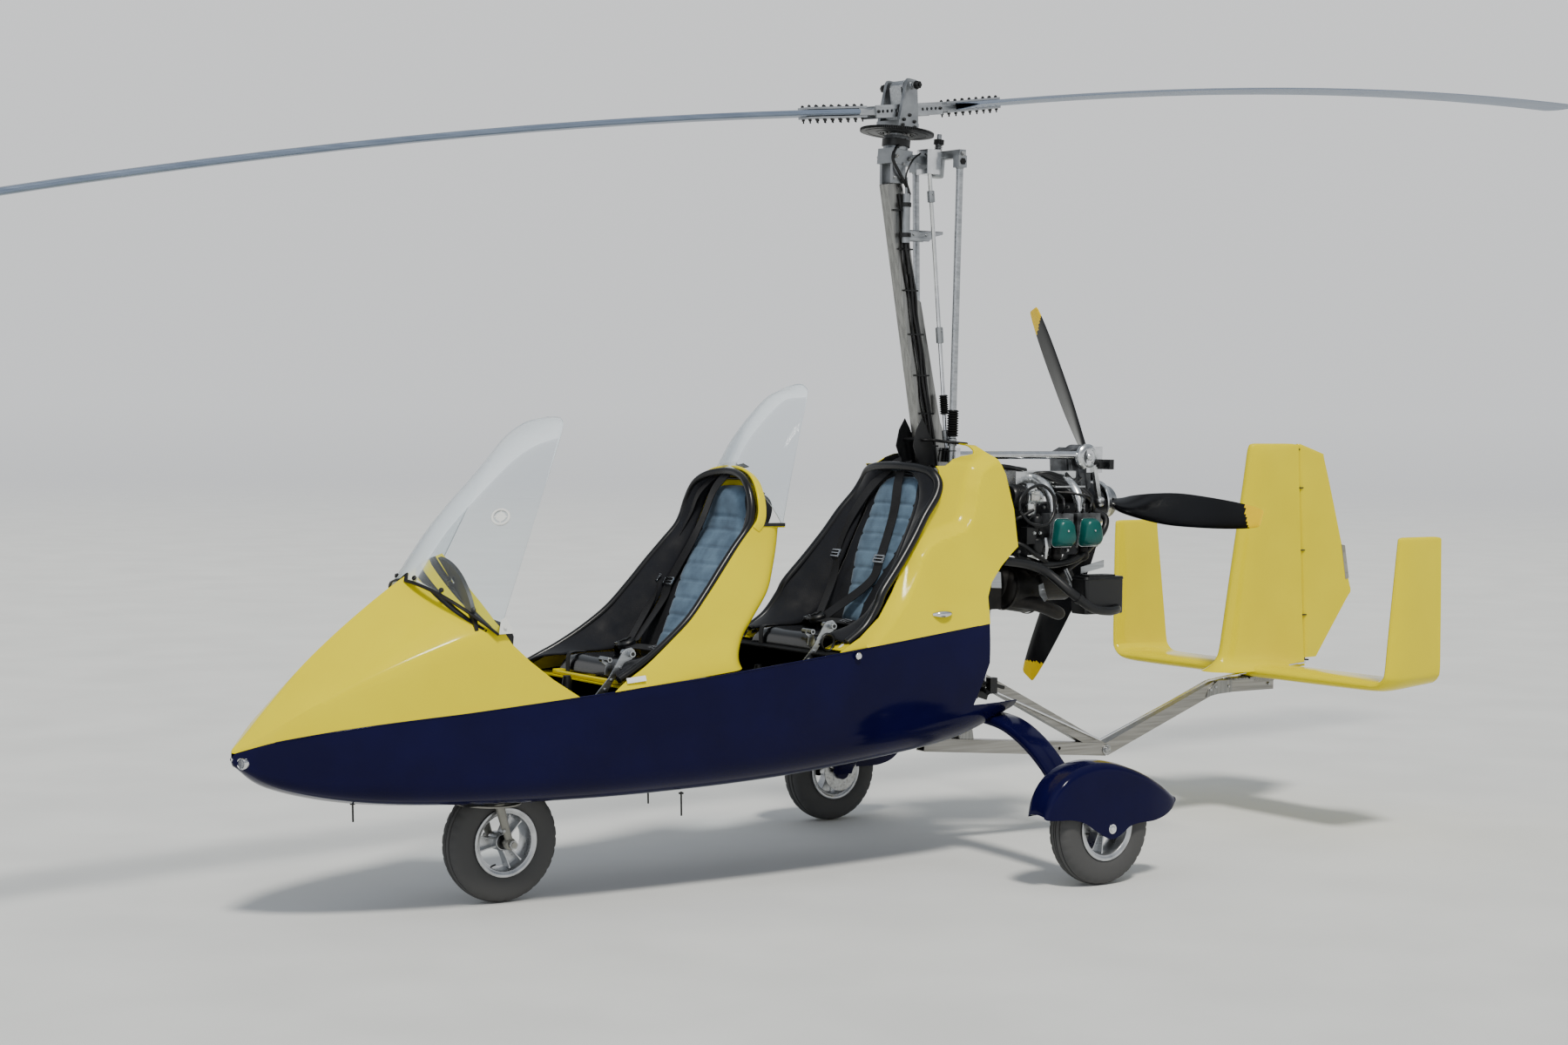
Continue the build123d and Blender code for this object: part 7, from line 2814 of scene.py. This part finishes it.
    def make_bolts(self) -> None:
        """Bolt heads on the crankcase, the heads and the gearbox."""
        form = Form()
        for side in (1, -1):
            for x in range(-820, -519, 60):
                for z in (1124, 1290):
                    form.bolt((x, side * 95, z), (0, side, 0), 11)
            for x in self.heads:
                for dx, dz in ((-50, -52), (50, -52), (-50, 52), (50, 52)):
                    form.bolt((x + dx, side * 226, self.cover_height + dz), (dx, side * 60, dz), 8)
        for y, z in circle(98, 10):
            form.bolt((-500.5, y, 1206 + z), (-1, 0, 0), 10)
            form.bolt((-429.5, y, 1206 + z), (1, 0, 0), 10)
        form.settle("engine_bolts", ZINC, edge=0.3)


@dataclass
class Propeller:
    """Three-bladed propeller with painted tips."""

    centre: tuple[float, float, float] = (-1020, 0, 1304)
    tilt: float = 1.72
    first: float = 2.1
    # Radius, chord, thickness, pitch angle.
    sections: Outline = (
        (50, 46, 40, 50), (96, 62, 33, 46), (150, 88, 26, 40), (260, 114, 19.5, 31), (400, 130, 15, 24),
        (550, 122, 12, 19.5), (700, 104, 9, 15), (800, 84, 7.2, 13), (850, 66, 6, 12), (861, 50, 5, 12),
    )
    # Radius at which the tip's colour starts, on the blade's middle line.
    tip_line: float = 786

    def place(self) -> Matrix:
        """Frame at the propeller's centre: z along the shaft, x to port."""
        t = math.radians(self.tilt)
        return axes(self.centre, (-math.cos(t), 0, math.sin(t)), (0, 1, 0))

    def build(self) -> None:
        """Makes the blades and dresses the hub."""
        paint("propeller_hub", BLASTED, 1.5)
        self.make_blades()
        form, place = Form(), self.place()
        form.lathe(((0, 22), (52, 22), (56, 24), (56, 30), (50, 33), (0, 34)), place, 56)
        form.lathe(((0, -44), (40, -44), (80, -40), (84, -36), (84, -22), (78, -17), (0, -16)), place, 64)
        for x, y in circle(40, 6):
            form.bolt_in(place @ spin(30), (x, y, 33), (0, 0, 1), 11, 4)
        form.settle("propeller_flange", INTAKE_ALLOY, body=Body.PROPELLER, edge=0.6)

    def blade_loops(self, place: Matrix) -> list[list[Vector]]:
        """Sections of a blade, thin at the trailing edge and swept back at the tip.

        Args:
            place: The blade's frame: x outward, z along the shaft.

        Returns:
            One loop of points for each section, from the root outward.
        """
        loops = []
        for radius, chord, thick, pitch in blend_rows(self.sections, 9):
            turn = Matrix.Rotation(-math.radians(pitch), 3, "X")
            sweep = 0.16 * min(max((radius - 600) / 260, 0), 1)
            loop = []
            for along, across in foil(0.5 * chord, -0.5 * chord, thick, 1.4, 12):
                root = Vector((radius - sweep * along, 0, 0))
                loop.append(place @ (root + turn @ Vector((0, along, across))))
            loops.append(loop)
        return loops

    def make_blades(self) -> None:
        """Three blades; the tip's colour starts on a slant."""
        form = Form()
        for index in range(3):
            place = self.place() @ spin(self.first + 120 * index)
            for face in form.skin(self.blade_loops(place)):
                middle = place.inverted() @ face.calc_center_median()
                face.material_index = 1 if middle.x > self.tip_line + 0.6 * middle.y else 0
        form.settle(
            "propeller_blade_skins", PROP_BLACK, PROP_YELLOW, body=Body.PROPELLER,
            stands_for=["propeller_blades"], crease=50,
        )


# Studio


@dataclass
class Studio:
    """Camera at the photograph's angle, soft light and a pale floor."""

    stand: tuple[float, float, float] = (5.5603, 7.3140, 1.6391)
    # Degrees.
    yaw: float = -124.72
    pitch: float = -2.531
    roll: float = 0.653
    # Millimetres of lens on a film 36 mm wide.
    lens: float = 57.296
    film: float = 36.0
    # Metres.
    floor_radius: float = 60.0
    fade: tuple[float, float] = (14.0, 52.0)
    # Sky colours by share of the way from straight below to straight above.
    sky: Sequence[tuple[float, str]] = (
        (0.0, "#B4B8BC"), (0.47, "#D8DBDE"), (0.5, "#F2F4F6"), (0.6, "#FBFCFD"), (0.68, "#9CA2A9"),
        (1.0, "#C9CFD6"),
    )
    # Name, direction, strength, angle in degrees, colour.
    suns: Sequence[tuple[str, Numbers, float, float, str]] = (
        ("key_sun", (-0.25, -0.62, -1.0), 3.1, 9, "#FFFBF2"),
        ("fill_sun", (-0.9, -0.35, -0.45), 0.45, 60, "#EEF3FF"),
    )

    def build(self) -> None:
        """Places the camera, the lights, the sky and the floor."""
        self.place_camera()
        self.place_lights()
        self.place_sky()
        self.make_floor()

    def place_camera(self) -> None:
        """Camera at its stand, looking along its yaw and pitch, and tilted by its roll."""
        yaw, pitch, roll = (math.radians(a) for a in (self.yaw, self.pitch, self.roll))
        look = Vector((math.cos(pitch) * math.cos(yaw), math.cos(pitch) * math.sin(yaw), math.sin(pitch)))
        right = look.cross(Vector((0, 0, 1))).normalized()
        up = right.cross(look)
        level = right * math.cos(roll) + up * math.sin(roll)
        head = up * math.cos(roll) - right * math.sin(roll)
        data = bpy.data.cameras.new("photo_camera")
        data.lens = self.lens
        data.sensor_width = self.film
        data.clip_end = 500.0
        camera = bpy.data.objects.new("photo_camera", data)
        turned = Matrix((level, head, -look)).transposed().to_4x4()
        camera.matrix_world = Matrix.Translation(self.stand) @ turned
        bpy.context.scene.collection.objects.link(camera)
        bpy.context.scene.camera = camera

    def place_lights(self) -> None:
        """Soft key light from the camera's side, and a wide, weak fill light."""
        for name, direction, strength, size, colour in self.suns:
            data = bpy.data.lights.new(name, "SUN")
            data.energy = strength
            data.angle = math.radians(size)
            data.color = linear(colour)[:3]
            lamp = bpy.data.objects.new(name, data)
            lamp.rotation_euler = Vector(direction).to_track_quat("-Z", "Y").to_euler()
            bpy.context.scene.collection.objects.link(lamp)

    def place_sky(self) -> None:
        """Pale sky, shaded by height."""
        world = bpy.data.worlds.new("pale_sky")
        world.use_nodes = True
        tree = world.node_tree
        tree.nodes.clear()
        upward = add_node(tree, "ShaderNodeTexCoord").outputs["Generated"]
        height = add_node(tree, "ShaderNodeSeparateXYZ", {0: upward}).outputs["Z"]
        share = add_node(tree, "ShaderNodeMapRange", {"Value": height, "From Min": -1.0, "From Max": 1.0})
        shades = add_node(tree, "ShaderNodeValToRGB", {0: share.outputs[0]}, ramp=self.sky)
        sky = add_node(tree, "ShaderNodeBackground", {"Color": shades.outputs["Color"], "Strength": 1.0})
        add_node(tree, "ShaderNodeOutputWorld", {"Surface": sky.outputs[0]})
        bpy.context.scene.world = world

    def make_floor(self) -> None:
        """Round floor that fades into the sky far from the aircraft."""
        data = bpy.data.meshes.new("floor")
        mesh = bmesh.new()
        bmesh.ops.create_circle(mesh, cap_ends=True, radius=self.floor_radius, segments=96)
        mesh.to_mesh(data)
        mesh.free()
        material = FLOOR.material()
        tree = material.node_tree
        shader = next(node for node in tree.nodes if node.type == "BSDF_PRINCIPLED")
        output = next(node for node in tree.nodes if node.type == "OUTPUT_MATERIAL")
        place = add_node(tree, "ShaderNodeTexCoord").outputs["Object"]
        far = add_node(tree, "ShaderNodeVectorMath", {0: place}, operation="LENGTH").outputs["Value"]
        span = {"Value": far, "From Min": self.fade[0], "From Max": self.fade[1]}
        share = add_node(tree, "ShaderNodeMapRange", span, interpolation_type="SMOOTHSTEP").outputs[0]
        clear = add_node(tree, "ShaderNodeBsdfTransparent").outputs[0]
        mix = add_node(tree, "ShaderNodeMixShader", {0: share, 1: shader.outputs[0], 2: clear})
        tree.links.new(mix.outputs[0], output.inputs["Surface"])
        data.materials.append(material)
        floor = bpy.data.objects.new("studio_floor", data)
        bpy.context.scene.collection.objects.link(floor)


def main() -> None:
    """Builds every sub-assembly in order and reports its pieces."""
    logging.basicConfig(level=logging.INFO, format="%(name)s: %(message)s")
    hull = Hull()
    wheels = (
        Wheel("nose", Body.NOSE_WHEEL, 1629, 0, 1, 90),
        Wheel("left", Body.LEFT_WHEEL, -303, 808, 1, 40),
        Wheel("right", Body.RIGHT_WHEEL, -303, -808, -1, 75),
    )
    for assembly in (
        Studio(), hull, Screens(hull), Cowl(), FrontShell(), FRONT_SEAT, REAR_SEAT, Cockpit(), *wheels,
        NoseGear(), MainGear(), Tail(), Keel(), Mast(), RotorHead(), RotorHub(), Engine(), Propeller(),
    ):
        done = len(PIECES)
        assembly.build()
        for piece in PIECES[done:]:
            LOG.info("%s: %s, %d faces", type(assembly).__name__, piece.name, len(piece.data.polygons))


if __name__ == "__main__":
    main()
